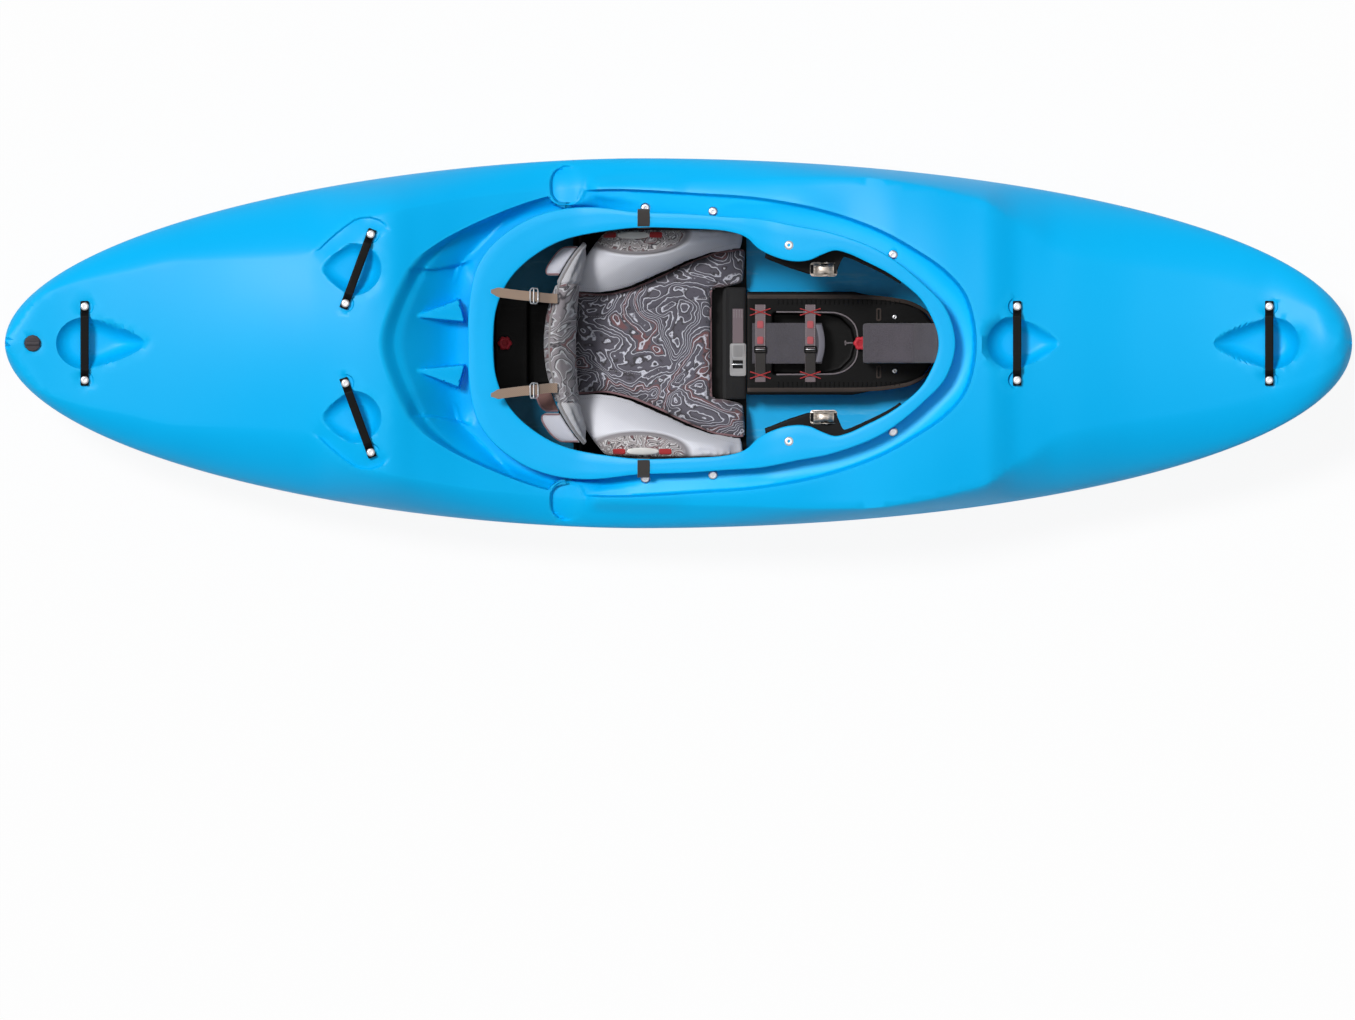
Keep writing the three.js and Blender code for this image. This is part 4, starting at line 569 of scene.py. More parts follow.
# %% Rings from the neck out over the brink
def trough_rings():
    floor = (rim_z(LIP[:, 0]) - TROUGH_DEPTH)[:, None]
    wall_run = mix(WALL_RUN_AFT, WALL_RUN_FORE, ease((BRINK[:, :1] - along(0.34)) / (0.08 * LENGTH)))
    wall_run = mix(WALL_RUN_BOWL, wall_run, ease((BRINK[:, :1] - along(0.29)) / (0.05 * LENGTH)))
    wall_run = np.minimum(wall_run, 0.6 * TROUGH_RUN)
    foot = TROUGH_RUN - wall_run
    plain, brink = deck_z(*BRINK.T)[:, None], crowned_z(*BRINK.T)[:, None]

    def ramp(run):
        past = run - TROUGH_FLAT_RUN
        return (past + np.sqrt(past**2 + 0.012**2)) / 2

    even = (plain - floor) / (ramp(TROUGH_RUN) - ramp(0))
    slope = mix(even, BOWL_SLOPE, ease((BRINK[:, :1] - along(0.29)) / (0.05 * LENGTH)))

    def bowl(run):
        return slope * ramp(run)

    foot_z = np.minimum(floor + bowl(foot) - bowl(0), plain - 0.002)
    rings = [np.hstack([NECK, floor]), np.hstack([LIP, floor])]
    for share in (0.14, 0.28, 0.42, 0.55, 0.68, 0.8, 0.91):
        rise = np.minimum(floor + bowl(foot * share) - bowl(0), foot_z)
        rings.append(np.hstack([LIP + OUTWARD * foot * share, rise]))
    steps = np.linspace(0, 1, WALL_STEPS)
    steepness = np.where(steps < 0.3, steps / 0.3, np.where(steps > 0.85, (1.03 - steps) / 0.18, 1))
    climb = np.concatenate([[0], np.cumsum((steepness[1:] + steepness[:-1]) / 2)])
    for step, rise in zip(steps, climb / climb[-1]):
        rings.append(np.hstack([LIP + OUTWARD * (foot + wall_run * step), mix(foot_z, brink, rise)]))
    for past in (0.0035, 0.009):
        place = BRINK + OUTWARD * past
        rings.append(np.column_stack([place, crowned_z(*place.T)]))
    return np.array(rings)


def ring_faces(count, steps):
    """The faces between that many closed rings, each of that many points."""
    turns = [(i, (i + 1) % steps) for i in range(steps)]
    return [(r * steps + i, r * steps + j, (r + 1) * steps + j, (r + 1) * steps + i)
            for r in range(count - 1) for i, j in turns]


TROUGH = trough_rings()
TROUGH_SURFACE = BVHTree.FromPolygons([tuple(p) for p in TROUGH.reshape(-1, 3)],
                                      ring_faces(len(TROUGH), AROUND))
print("trough rings", TROUGH.shape)

# %% [markdown]
# ## What is moulded into the deck
# Finger recesses lie under the grab handles, so that a hand gets round them. Bolts sit in
# shallow spot faces. Steps and ridges stiffen the sheet, and two gussets brace the bowl.
# Each is a rule that takes the deck's height at a place and gives the new height.

# %% Recesses under the handles
HANDLE_PITCH, SEAT_RADIUS, SEAT_DEPTH = 0.14, 0.017, 0.0015
DISH_HALF_WIDTH, DISH_ROUND, DISH_DEPTH = 0.05, 0.055, 0.026
HANDLE_ENDS = [
    (along(0.0592), -0.07, along(0.0592), 0.07),
    (along(0.9384), -0.07, along(0.9384), 0.07),
    (along(0.7513), -0.07, along(0.7513), 0.07),
    *[(along(0.2528), side * 0.219 * HALF, along(0.2713), side * 0.585 * HALF) for side in (1, -1)],
]
DISHES = [
    (along(0.0592), 0, 0.108, 1), (along(0.9384), 0, 0.107, -1), (along(0.7513), 0, 0.086, 1),
    (along(0.2569), 0.405 * HALF, 0.062, -1), (along(0.2569), -0.405 * HALF, 0.062, -1),
]
PLUG = (along(0.0206), 0)


def dish_reach(dish, x, y):
    """0 at the recess's middle and 1 on its edge."""
    cx, cy, tip, towards = dish
    ahead, aside = (x - cx) * towards, (y - cy) / DISH_HALF_WIDTH
    ahead = ahead / np.where(ahead > 0, tip, DISH_ROUND)
    reach = np.hypot(ahead, aside)
    for _ in range(8):
        narrow = 1 - 0.45 * np.clip(ahead / np.maximum(reach, 1e-6), 0, 1)
        reach = np.hypot(ahead, aside / narrow)
    return reach


def dished(x, y, z):
    for dish in DISHES:
        reach = dish_reach(dish, x, y)
        depth = 1 - (np.clip(reach - 0.38, 0, None) / 0.62) ** 2.6
        z = np.where(reach < 1.3, np.minimum(z, deck_z(dish[0], dish[1]) - DISH_DEPTH * depth), z)
    return z


def spot(x, y, z, place, level, radius, round_over=0.0012):
    """A flat of that radius, cut down to level where the deck is higher."""
    inside = ease((radius - np.hypot(x - place[0], y - place[1])) / round_over)
    return mix(z, np.minimum(z, level), inside)


def handle_spots():
    """(place, level, radius) of the flats under the handles' bolts, the plug's and the rim's."""
    spots = []
    for ax, ay, bx, by in HANDLE_ENDS:
        a, b = ((x, y, float(deck_z(x, y)) - SEAT_DEPTH) for x, y in ((ax, ay), (bx, by)))
        reach = math.hypot(bx - ax, by - ay)
        for side in (-1, 1):
            x, y, z = mix(np.array(a), np.array(b), 0.5 + side * HANDLE_PITCH / 2 / reach)
            spots.append(((x, y), z, SEAT_RADIUS))
    spots.append((PLUG, float(deck_z(*PLUG)) - SEAT_DEPTH, 0.0168))
    for share, width in ((0.4755, 0.731), (0.5256, 0.711), (0.6592, 0.478)):
        level = float(rim_z(along(share))) - TROUGH_DEPTH - 0.0022
        spots += [((along(share), side * width * HALF), level, 0.0096) for side in (1, -1)]
    return spots


SPOTS = handle_spots()
print("spot faces", len(SPOTS))


# %% Steps, ridges and gussets
def polyline(*pixels, mirror=False):
    line = np.array([(photo_x(px), photo_y(py)) for px, py in pixels])
    return line * (1, -1) if mirror else line


def line_distance(line, x, y):
    """Signed distance to a polyline, positive on its left, and the share of the way along it."""
    lengths = np.linalg.norm(np.diff(line, axis=0), axis=1)
    starts = np.concatenate([[0], np.cumsum(lengths)])
    best, side, share = np.full(x.shape, 9.0), np.ones(x.shape), np.zeros(x.shape)
    for a, b, length, start in zip(line[:-1], line[1:], lengths, starts):
        ux, uy = (b - a) / length
        t = np.clip((x - a[0]) * ux + (y - a[1]) * uy, 0, length)
        distance = np.hypot(x - a[0] - ux * t, y - a[1] - uy * t)
        nearer = distance < best - 1e-9
        best = np.where(nearer, distance, best)
        side = np.where(nearer, np.sign(ux * (y - a[1]) - uy * (x - a[0]) + 1e-12), side)
        share = np.where(nearer, (start + t) / starts[-1], share)
    return best * side, share


# Lines, the height of the step down on the left or right, its width and how far it fades
STEPS = []
for flip in (False, True):
    turn = -1 if flip else 1
    eyebrow = polyline((309, 254), (319.5, 249), (330, 239), (342.5, 228.5), (354, 220.5), (361, 218),
                       (370, 217.4), (379, 220), (386, 225), (392.5, 232.5), mirror=flip)
    STEPS.append((eyebrow, 0.0062, -turn, 0.005, 0.045))
    ledge = polyline((407, 268), (420, 269.8), (433, 270), (456, 266), (475, 260.5), mirror=flip)
    STEPS.append((ledge, 0.0095, -turn, 0.005, 0.06))
    crease = polyline((520, 205), (470, 255), (457, 268), (453, 285), mirror=flip)
    STEPS.append((crease, 0.003, -turn, 0.004, 0.02))
# corners, with the tip first, and the heights of the tip and the front
GUSSETS = [(polyline((411, 317), (459, 299), (465, 322), mirror=flip), 0.29, 0.262) for flip in (False, True)]


def stepped(x, y, z):
    for line, height, side, width, fade in STEPS:
        distance, share = line_distance(line, x, y)
        distance = distance * side
        taper = ease(share / 0.18) * ease((1 - share) / 0.18)
        z = z - height * taper * ease(distance / width + 0.5) * (1 - ease(distance / fade))
    return z


def gusseted(x, y, z):
    for corners, tip_z, front_z in GUSSETS:
        outline = np.vstack([corners, corners[:1]])
        centre = corners.mean(axis=0)
        inward = np.full(x.shape, 9.0)
        for a, b in zip(outline[:-1], outline[1:]):
            ux, uy = (b - a) / np.linalg.norm(b - a)
            turn = np.sign(ux * (centre[1] - a[1]) - uy * (centre[0] - a[0]))
            inward = np.minimum(inward, turn * (ux * (y - a[1]) - uy * (x - a[0])))
        share = np.clip((x - corners[0][0]) / (corners[2][0] - corners[0][0]), 0, 1)
        top = mix(tip_z, front_z, share) - 0.001 * ease(1 - inward / 0.004)
        z = np.maximum(z, mix(z, top, ease(inward / 0.003 + 0.5)))
    return z


# %% Side scoops, where the gunwale is notched behind the rim tabs
SCOOP_DEPTH, SCOOP_OUTER = 0.013, photo_y(182)
SCOOP_AFT, SCOOP_FORE = SCOOP_X - SCOOP_RADIUS, SCOOP_X + SCOOP_RADIUS


def scooped(x, y, z):
    """A notch with round ends, deep at its aft side and level with the deck forward."""
    depth = SCOOP_DEPTH * (1 - ease((x - SCOOP_AFT) / (1.9 * SCOOP_RADIUS)))
    past = np.maximum(np.maximum(SCOOP_Y - np.abs(y), np.abs(y) - SCOOP_OUTER), 0)
    outside = np.hypot(x - SCOOP_X, past) - SCOOP_RADIUS
    return z - depth * ease((0.0015 - outside) / 0.0055)


def moulded(x, y, z):
    z = stepped(x, y, dished(x, y, z))
    for place, level, radius in SPOTS:
        z = spot(x, y, z, place, level, radius)
    return scooped(x, y, gusseted(x, y, z))


print("scoops from", round(SCOOP_AFT, 4), "to", round(SCOOP_FORE, 4))

# %% [markdown]
# ## The hull's skin
# The deck is a sheet of triangles. Points lie close together where the form turns, and a
# Delaunay net joins them. Below the deck's edge, the sides, the chine and the bottom are a
# loft of sections. A second skin a wall's thickness inside closes the body, and the lip
# joins the two round the cockpit.

# %% Stations along the hull
def stations():
    step = 0.0125
    tip = np.array([0.0003, 0.0009, 0.002, 0.004, 0.0072, 0.0115, 0.017, 0.024, 0.032, 0.042])
    body = np.arange(-LENGTH / 2 + 0.052, LENGTH / 2 - 0.05, step)
    notch = np.arange(-0.006, 0.0061, 0.002)
    dense = [SCOOP_AFT + notch, SCOOP_FORE + notch, np.arange(SCOOP_AFT, SCOOP_FORE, 0.008)]
    dense += [x + np.arange(-0.01, 0.0101, 0.0025) for x in RAIL_BOLTS_X]
    dense = np.concatenate(dense)
    body = body[np.abs(body[:, None] - dense).min(axis=1) > 0.004]
    places = np.sort(np.concatenate([tip - LENGTH / 2, body, dense, LENGTH / 2 - tip]))
    return places[np.concatenate([[True], np.diff(places) > 0.0002])]


RAIL_BOX = [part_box(f"rail_bolt_{place}_port") for place in ("aft", "fore")]
RAIL_BOLTS_X = [float(low[0] + high[0]) / 2 for low, high in RAIL_BOX]
RAIL_BOLT_Z = float(RAIL_BOX[0][0][2] + RAIL_BOX[0][1][2]) / 2
STATIONS = stations()


def deck_edge(x):
    half, _, _, _, crease, _, _ = frame_at(np.asarray(x) / LENGTH + 0.5)
    return mix(crease, half, EDGE_SHARE)


print("stations", len(STATIONS))


# %% Sides and bottom: sections from one deck edge down round the keel to the other
def side_rows():
    """(kind, share) of each row from the keel up to the deck's edge."""
    bottom = [0, 0.2, 0.4, 0.55, 0.66, 0.76, 0.85, 0.92, 0.965, 0.99, 1]
    side = [0.012, 0.05, 0.14, 0.26, 0.38, 0.5, 0.6, 0.66, 0.7, 0.74, 0.78, 0.82, 0.87, 0.93, 1]
    shoulder = [0.1, 0.2, 0.3, 0.4, 0.49, 0.57, 0.65, 0.7]
    return [("bottom", t) for t in bottom] + [("side", t) for t in side] + [("shoulder", t) for t in shoulder]


def side_row(kind, share, x):
    half, keel, chine, shoulder, crease, crease_z, _ = frame_at(x / LENGTH + 0.5)
    chine_half = half * CHINE_WIDTH
    if kind == "bottom":
        bend = max(0, (share - 0.5) / 0.5) ** 2
        return chine_half * share, mix(keel, chine, bend)
    if kind == "side":
        y, z = mix(chine_half, half, math.sin(share * math.pi / 2)), mix(chine, shoulder, share)
        for bolt_x in RAIL_BOLTS_X:
            spot_y = np.interp(bolt_x, x, y) - 0.003
            near = (8.5e-3 - np.hypot(x - bolt_x, z - RAIL_BOLT_Z)) / 0.0015
            y = mix(y, np.minimum(y, spot_y), ease(near))
        return y, z
    t = (1 - share ** (1 / DECK_ROOT)) ** (1 / DECK_POWER)
    y = mix(crease, half, t)
    return y, scooped(x, y, shoulder + (crease_z - shoulder) * share)


def side_sheet():
    """Points and faces of the loft, with its ends closed to a point at each tip."""
    x = STATIONS
    rows = [side_row(kind, share, x) for kind, share in side_rows()]
    edge = deck_edge(x)
    rows.append((edge, moulded(x, edge, deck_z(x, edge))))
    port = [np.column_stack([x, y, z]) for y, z in rows[::-1]]
    starboard = [row * (1, -1, 1) for row in port[-2::-1]]
    grid = np.array(port + starboard)
    count, width = grid.shape[:2]
    faces = [(r * width + i, (r + 1) * width + i, (r + 1) * width + i + 1, r * width + i + 1)
             for r in range(count - 1) for i in range(width - 1)]
    points = grid.reshape(-1, 3)
    ends = []
    for column, tip_x in ((0, -LENGTH / 2), (width - 1, LENGTH / 2)):
        s = tip_x / LENGTH + 0.5
        level = (float(keel_height(s)) + DEPTH * float(deck_height(s))) / 2
        top = (x[column], 0, float(deck_z(x[column], 0)))
        ends += [(tip_x, 0, level), top]
        tip, middle = len(points) + len(ends) - 2, len(points) + len(ends) - 1
        ring = [r * width + column for r in range(count)] + [middle]
        for a, b in zip(ring, ring[1:] + ring[:1]):
            faces.append((a, b, tip) if column else (b, a, tip))
    return np.vstack([points, ends]), faces


SIDE_POINTS, SIDE_FACES = side_sheet()
print("side loft points", len(SIDE_POINTS))


# %% Points of the deck, the ones that matter most first
def circle(place, radius, steps):
    angle = np.arange(steps) * 2 * math.pi / steps
    return np.column_stack([place[0] + radius * np.cos(angle), place[1] + radius * np.sin(angle)])


def beside(line, offsets, spacing=0.006):
    """Points along a polyline, at those distances to its left."""
    points = []
    for a, b in zip(line[:-1], line[1:]):
        length = np.linalg.norm(b - a)
        direction = (b - a) / length
        normal = np.array([-direction[1], direction[0]])
        at = np.arange(0, length, spacing)[:, None]
        points += [a + direction * at + normal * offset for offset in offsets]
    return np.vstack(points)


def detail_points():
    groups = []
    for place, _, radius in SPOTS:
        for reach in (radius + 0.0005, radius - 0.0018):
            groups.append(circle(place, reach, 26))
        groups.append(circle(place, radius * 0.5, 8))
    for line, *_ in STEPS:
        groups.append(beside(line, (-0.002, 0.002, -0.006, 0.006)))
    for corners, *_ in GUSSETS:
        groups.append(beside(np.vstack([corners, corners[:1]]), (-0.0018, 0.0018, -0.004, 0.004), 0.005))
    for cx, cy, tip, towards in DISHES:
        angle = np.arange(52) * 2 * math.pi / 52
        ahead = np.cos(angle)
        length = np.where(ahead > 0, tip, DISH_ROUND)
        narrow = 1 - 0.45 * np.clip(ahead, 0, 1)
        for reach in (0.15, 0.32, 0.46, 0.58, 0.68, 0.77, 0.85, 0.91, 0.96, 0.99, 1.015, 1.06):
            groups.append(np.column_stack([cx + towards * length * ahead * reach,
                                           cy + DISH_HALF_WIDTH * narrow * np.sin(angle) * reach]))
    for side in (1, -1):
        y = np.arange(SCOOP_Y, float(deck_edge(SCOOP_AFT)), 0.005)
        angle = np.linspace(0, math.pi, 30)
        for inset in (-0.0025, 0.0005, 0.0035):
            reach = SCOOP_RADIUS - inset
            for x in (SCOOP_X - reach, SCOOP_X + reach):
                groups.append(np.column_stack([np.full(y.shape, x), side * y]))
            for middle, turn in ((SCOOP_Y, -1), (SCOOP_OUTER, 1)):
                groups.append(np.column_stack([SCOOP_X + reach * np.cos(angle),
                                               side * (middle + turn * reach * np.sin(angle))]))
    half, _, _, _, crease, _, _ = frame_at(STATIONS / LENGTH + 0.5)
    for share in (0.82, 0.64, 0.46, 0.28, 0.1, 0):
        rows = mix(crease, half, EDGE_SHARE * share)
        groups += [np.column_stack([STATIONS, side * rows]) for side in (1, -1)]
    return groups


def in_loop(loop, points):
    """Which points lie inside a closed loop."""
    inside = np.zeros(len(points), bool)
    x, y = points.T
    for (ax, ay), (bx, by) in zip(loop, np.roll(loop, -1, axis=0)):
        if ay == by:
            continue
        crosses = ((ay > y) != (by > y)) & (x < ax + (bx - ax) * (y - ay) / (by - ay))
        inside ^= crosses
    return inside


def thinned(kept, new, clear):
    """The new points that stay clear of the kept ones, by a grid of cells."""
    cells = {}
    for x, y in kept:
        cells.setdefault((int(x // clear), int(y // clear)), []).append((x, y))
    chosen = []
    for x, y in new:
        cx, cy = int(x // clear), int(y // clear)
        near = (p for i in (-1, 0, 1) for j in (-1, 0, 1) for p in cells.get((cx + i, cy + j), ()))
        if all((x - px) ** 2 + (y - py) ** 2 > clear * clear for px, py in near):
            chosen.append((x, y))
            cells.setdefault((cx, cy), []).append((x, y))
    return chosen


def deck_points():
    edge = deck_edge(STATIONS)
    port = list(zip(STATIONS, edge))
    fixed = port + [(STATIONS[-1], 0)] + [(x, -y) for x, y in port[::-1]] + [(STATIONS[0], 0)]
    loops = [list(range(len(fixed)))]
    for loop in (NECK, circle(PLUG, 0.0095, 26), *TROUGH[-WALL_STEPS - 2:, :, :2]):
        loops.append([len(fixed) + i for i in range(len(loop))])
        fixed += [tuple(p) for p in loop]
    outer = np.array(fixed[:len(loops[0])])
    grid_step = 0.0125
    layers = [(np.vstack(detail_points()), 0.0011), (TROUGH[1:, :, :2].reshape(-1, 2), 0.0016)]
    rows = np.arange(-HALF, HALF, grid_step * 0.866)
    grid = np.array([(x + (k % 2) * grid_step / 2, y) for k, y in enumerate(rows)
                     for x in np.arange(-LENGTH / 2, LENGTH / 2, grid_step)])
    grid = grid[~in_loop(BRINK + OUTWARD * 0.014, grid)]
    layers.append((grid, grid_step * 0.55))
    points = list(fixed)
    for layer, clear in layers:
        layer = layer[in_loop(outer, layer) & ~in_loop(NECK, layer)]
        layer = layer[np.hypot(layer[:, 0] - PLUG[0], layer[:, 1] - PLUG[1]) > 0.0105]
        points += thinned(points, layer, clear)
    return np.array(points), loops


def base_z(points):
    """The deck's plain height, or the trough's within its brink."""
    z = crowned_z(*points.T)
    for i in np.nonzero(in_loop(BRINK + OUTWARD * 0.0085, points))[0]:
        hit = TROUGH_SURFACE.ray_cast(Vector((*points[i], 1)), Vector((0, 0, -1)))[0]
        if hit:
            z[i] = hit.z
    return z


def deck_sheet():
    points, loops = deck_points()
    edges = [(a, b) for loop in loops for a, b in zip(loop, loop[1:] + loop[:1])]
    flat, _, faces, *_ = delaunay_2d_cdt([Vector(p) for p in points], edges, [], 1, 1e-7)
    flat = np.array([tuple(p) for p in flat])
    faces = np.array([face for face in faces if len(face) == 3])
    middle = flat[faces].mean(axis=1)
    keep = ~in_loop(NECK, middle) & in_loop(points[loops[0]], middle)
    keep &= np.hypot(middle[:, 0] - PLUG[0], middle[:, 1] - PLUG[1]) > 0.0094
    faces = faces[keep]
    a, b, c = (flat[faces[:, k]] for k in range(3))
    turned = (b[:, 0] - a[:, 0]) * (c[:, 1] - a[:, 1]) < (b[:, 1] - a[:, 1]) * (c[:, 0] - a[:, 0])
    faces[turned] = faces[turned][:, ::-1]
    z = moulded(*flat.T, base_z(flat))
    return np.column_stack([flat, z]), [tuple(int(i) for i in face) for face in faces]


DECK_POINTS, DECK_FACES = deck_sheet()
print("deck points", len(DECK_POINTS), "faces", len(DECK_FACES))


# %% The lip's section, from the neck's foot out round the lip and down inside the opening
LIP_ROUND, LIP_THICKNESS = 0.003, 0.008


def lip_rings():
    """Rings between the outer skin's edge at the neck and the inner skin's edge below it."""
    span = np.linalg.norm(LIP - OPENING, axis=1)[:, None]
    neck = span * NECK_SHARE
    foot = TROUGH_DEPTH + 0.009
    round_over = [(LIP_ROUND * (1 - math.cos(a)), LIP_ROUND * (1 - math.sin(a)))
                  for a in (0, 0.5, 1.05, 1.57)]
    section = [(neck, 0.034), (neck, 0.014), (neck + 0.0008, 0.0095), (neck + 0.003, LIP_THICKNESS)]
    section += [(span - 0.002, LIP_THICKNESS), (span - 0.0006, 0.0074), (span, 0.006)]
    section += [(span - inward, drop) for inward, drop in round_over]
    section += [(mix(LIP_ROUND, span - LIP_ROUND, t), 0) for t in (0.66, 0.33)]
    section += [(0 * span + inward, drop) for inward, drop in round_over[::-1]]
    section += [(0 * span, drop) for drop in (0.012, 0.028, 0.044, foot - 0.001)]
    section += [(0 * span + 0.001, foot), (neck - 0.001, foot), (neck, foot - 0.001)]
    rings = []
    for reach, drop in section:
        place = OPENING + (LIP - OPENING) * reach / span
        rings.append(np.column_stack([place, rim_z(place[:, 0]) - drop]))
    return rings


# %% One closed body from both skins and the lip
MERGE = 0.00002


def point_normals(points, triangles):
    a, b, c = (points[triangles[:, k]] for k in range(3))
    across = np.cross(b - a, c - a)
    normals = np.zeros_like(points)
    for k in range(3):
        np.add.at(normals, triangles[:, k], across)
    return normals / np.maximum(np.linalg.norm(normals, axis=1)[:, None], 1e-12)


def mesh_object(name, points, faces, material, smooth_angle=40, marks=None):
    """A piece from its points and faces. marks are numbers on its points, by name."""
    mesh = bpy.data.meshes.new(name)
    mesh.from_pydata([tuple(map(float, p)) for p in points], [], faces)
    for label, values in (marks or {}).items():
        mesh.attributes.new(label, "FLOAT", "POINT").data.foreach_set("value", np.asarray(values, np.float32))
    mesh.materials.append(material)
    tidy_mesh(mesh, smooth_angle)
    return in_scene(name, mesh)


def ring_body(name, rings, material, smooth_angle=40):
    """A closed body through rings of points, with a face over each end."""
    count, steps = len(rings), len(rings[0])
    ends = [tuple(range(steps))[::-1], tuple((count - 1) * steps + i for i in range(steps))]
    points = [p for ring in rings for p in ring]
    return mesh_object(name, points, ring_faces(count, steps) + ends, material, smooth_angle)


def tidy_mesh(mesh, smooth_angle=40):
    """Joins points that meet, turns the faces outward and smooths all but sharp edges."""
    bm = bmesh.new()
    bm.from_mesh(mesh)
    bmesh.ops.remove_doubles(bm, verts=bm.verts, dist=MERGE)
    bmesh.ops.recalc_face_normals(bm, faces=bm.faces)
    bm.to_mesh(mesh)
    bm.free()
    mesh.shade_smooth()
    mesh.set_sharp_from_angle(angle=math.radians(smooth_angle))
    mesh.update()


def merged_skin():
    """The outer skin as one sheet: points, triangles, and its two inner edges in order."""
    faces = DECK_FACES + [tuple(i + len(DECK_POINTS) for i in face) for face in SIDE_FACES]
    mesh = bpy.data.meshes.new("skin")
    mesh.from_pydata([tuple(p) for p in np.vstack([DECK_POINTS, SIDE_POINTS])], [], faces)
    bm = bmesh.new()
    bm.from_mesh(mesh)
    bmesh.ops.remove_doubles(bm, verts=bm.verts, dist=MERGE)
    bmesh.ops.holes_fill(bm, edges=[edge for edge in bm.edges if edge.is_boundary], sides=14)
    bmesh.ops.triangulate(bm, faces=bm.faces)
    bmesh.ops.recalc_face_normals(bm, faces=bm.faces)
    if max(bm.faces, key=lambda face: face.calc_center_median().z).normal.z < 0:
        bmesh.ops.reverse_faces(bm, faces=bm.faces)
    bm.verts.ensure_lookup_table()
    points = np.array([tuple(v.co) for v in bm.verts])
    triangles = np.array([[v.index for v in face.verts] for face in bm.faces])
    follows = {}
    for edge in bm.edges:
        if edge.is_boundary:
            a, b = (vert.index for vert in edge.verts)
            follows.setdefault(a, []).append(b)
            follows.setdefault(b, []).append(a)
    bm.free()
    bpy.data.meshes.remove(mesh)
    loops = []
    while follows:
        loop, at = [], min(follows)
        while at in follows:
            loop.append(at)
            at = next((n for n in follows.pop(at) if n in follows), None)
        loops.append(loop)
    return points, triangles, sorted(loops, key=len, reverse=True)


def hull_body():
    outer, triangles, loops = merged_skin()
    print("open edges of the skin", [len(loop) for loop in loops])
    width = half_beam(outer[:, 0] / LENGTH + 0.5)
    wall = np.minimum(WALL, 0.25 * width)[:, None]
    inner = outer - point_normals(outer, triangles) * wall
    neck_edge, plug_edge = loops[:2]
    order = np.array([np.argmin(np.hypot(*(outer[neck_edge, :2] - p).T)) for p in NECK])
    neck_edge = [neck_edge[i] for i in order]
    for edge in (neck_edge, plug_edge):
        inner[edge] = outer[edge] - (0, 0, WALL)
    rings = lip_rings()
    base = 2 * len(outer)
    points = np.vstack([outer, inner, *rings])
    faces = [tuple(f) for f in triangles.tolist()]
    faces += [tuple(i + len(outer) for i in f[::-1]) for f in triangles.tolist()]
    chain = [neck_edge] + [[base + r * AROUND + i for i in range(AROUND)] for r in range(len(rings))]
    chain.append([i + len(outer) for i in neck_edge])
    for ring, following in zip(chain, chain[1:]):
        for i in range(AROUND):
            j = (i + 1) % AROUND
            faces.append((ring[i], ring[j], following[j], following[i]))
    for a, b in zip(plug_edge, plug_edge[1:] + plug_edge[:1]):
        faces.append((a, b, b + len(outer), a + len(outer)))
    # Painted shade mark: 1 on the inner skin and on the opening's wall below the lip, fading from 1 aft of x
    # = -0.1 to 0.2 forward of x = 0.1.
    inside = np.zeros(len(points))
    inside[len(outer):base] = 1
    inside[-6 * AROUND:] = 1
    inside *= mix(1, 0.2, ease((points[:, 0] + 0.1) / 0.2))
    # Painted light mark: the trough floor inside the wall's foot, on the outer skin only, fading in from the
    # bowl forward.
    floor = in_loop(TROUGH[-WALL_STEPS - 2][:, :2], points[:, :2]) * ease((points[:, 0] - along(0.44)) / 0.08)
    floor[len(outer):] = 0
    return mesh_object("hull_skin", points, faces, HULL_PLASTIC, 42, {"inside": inside, "trough": floor})


def own(obj, body, slot, *nodes, fill=None):
    """The piece rides on a body and stands for its nodes, which it hides. slot is not used."""
    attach(obj, body)
    if nodes:
        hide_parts(*nodes)
    return obj


hull = own(hull_body(), "hull", "hull", "hull_shell")
print("hull faces", len(hull.data.polygons))

# %% [markdown]
# ## Screws
# Every screw on the hull is of one kind: a stainless head with a hex socket. One head is
# drawn for each size, and a node tree sets a copy where each packed screw is, along its axis.

# %% Where the screws are
def screw_axis(name):
    """The middle of a packed screw's head and the way it points, from its own points."""
    points = np.array([tuple(v.co) for v in NODES[name].data.vertices])
    centre = points.mean(axis=0)
    _, _, axes = np.linalg.svd(points - centre)
    axis = axes[0]
    for candidate in axes:
        reach = (points - centre) @ candidate
        radius = np.linalg.norm(points - centre - np.outer(reach, candidate), axis=1)
        rounds = np.unique(np.round(radius, 4))
        if len(rounds) < 8:
            axis = candidate
    reach = (points - centre) @ axis
    radius = np.linalg.norm(points - centre - np.outer(reach, axis), axis=1)
    head = reach[radius > radius.max() - 0.0005]
    axis = axis * np.sign(axis[2] if name.startswith("rim") else head.mean())
    return centre + axis * ((points - centre) @ axis).max(), axis


SCREWS = {name: screw_axis(name) for name in NODES if "_bolt_" in name}
print("screws", len(SCREWS))


# %% One screw head with its socket
def turned_ring(reaches, level):
    """A ring of points about Z, at one distance or at a list of them."""
    turns = 2 * math.pi * np.arange(len(reaches)) / len(reaches)
    return [(r * math.cos(turn), r * math.sin(turn), level) for r, turn in zip(reaches, turns)]


def screw_head(radius, height=0.004, socket=0.0028, steps=24):
    profile = [(radius, -height), (radius, -height * 0.55), (radius * 0.96, -height * 0.3),
               (radius * 0.8, -height * 0.08), (radius * 0.6, 0), (socket * 1.25, 0)]
    rings = [turned_ring([reach] * steps, level) for reach, level in profile]
    turns = 2 * math.pi * np.arange(steps) / steps
    flats = socket / np.cos((turns + math.pi / 6) % (math.pi / 3) - math.pi / 6)
    rings += [turned_ring(flats, level) for level in (-0.0001, -height * 0.7 - 0.0001)]
    return ring_body("screw_head", rings, STEEL, 35)


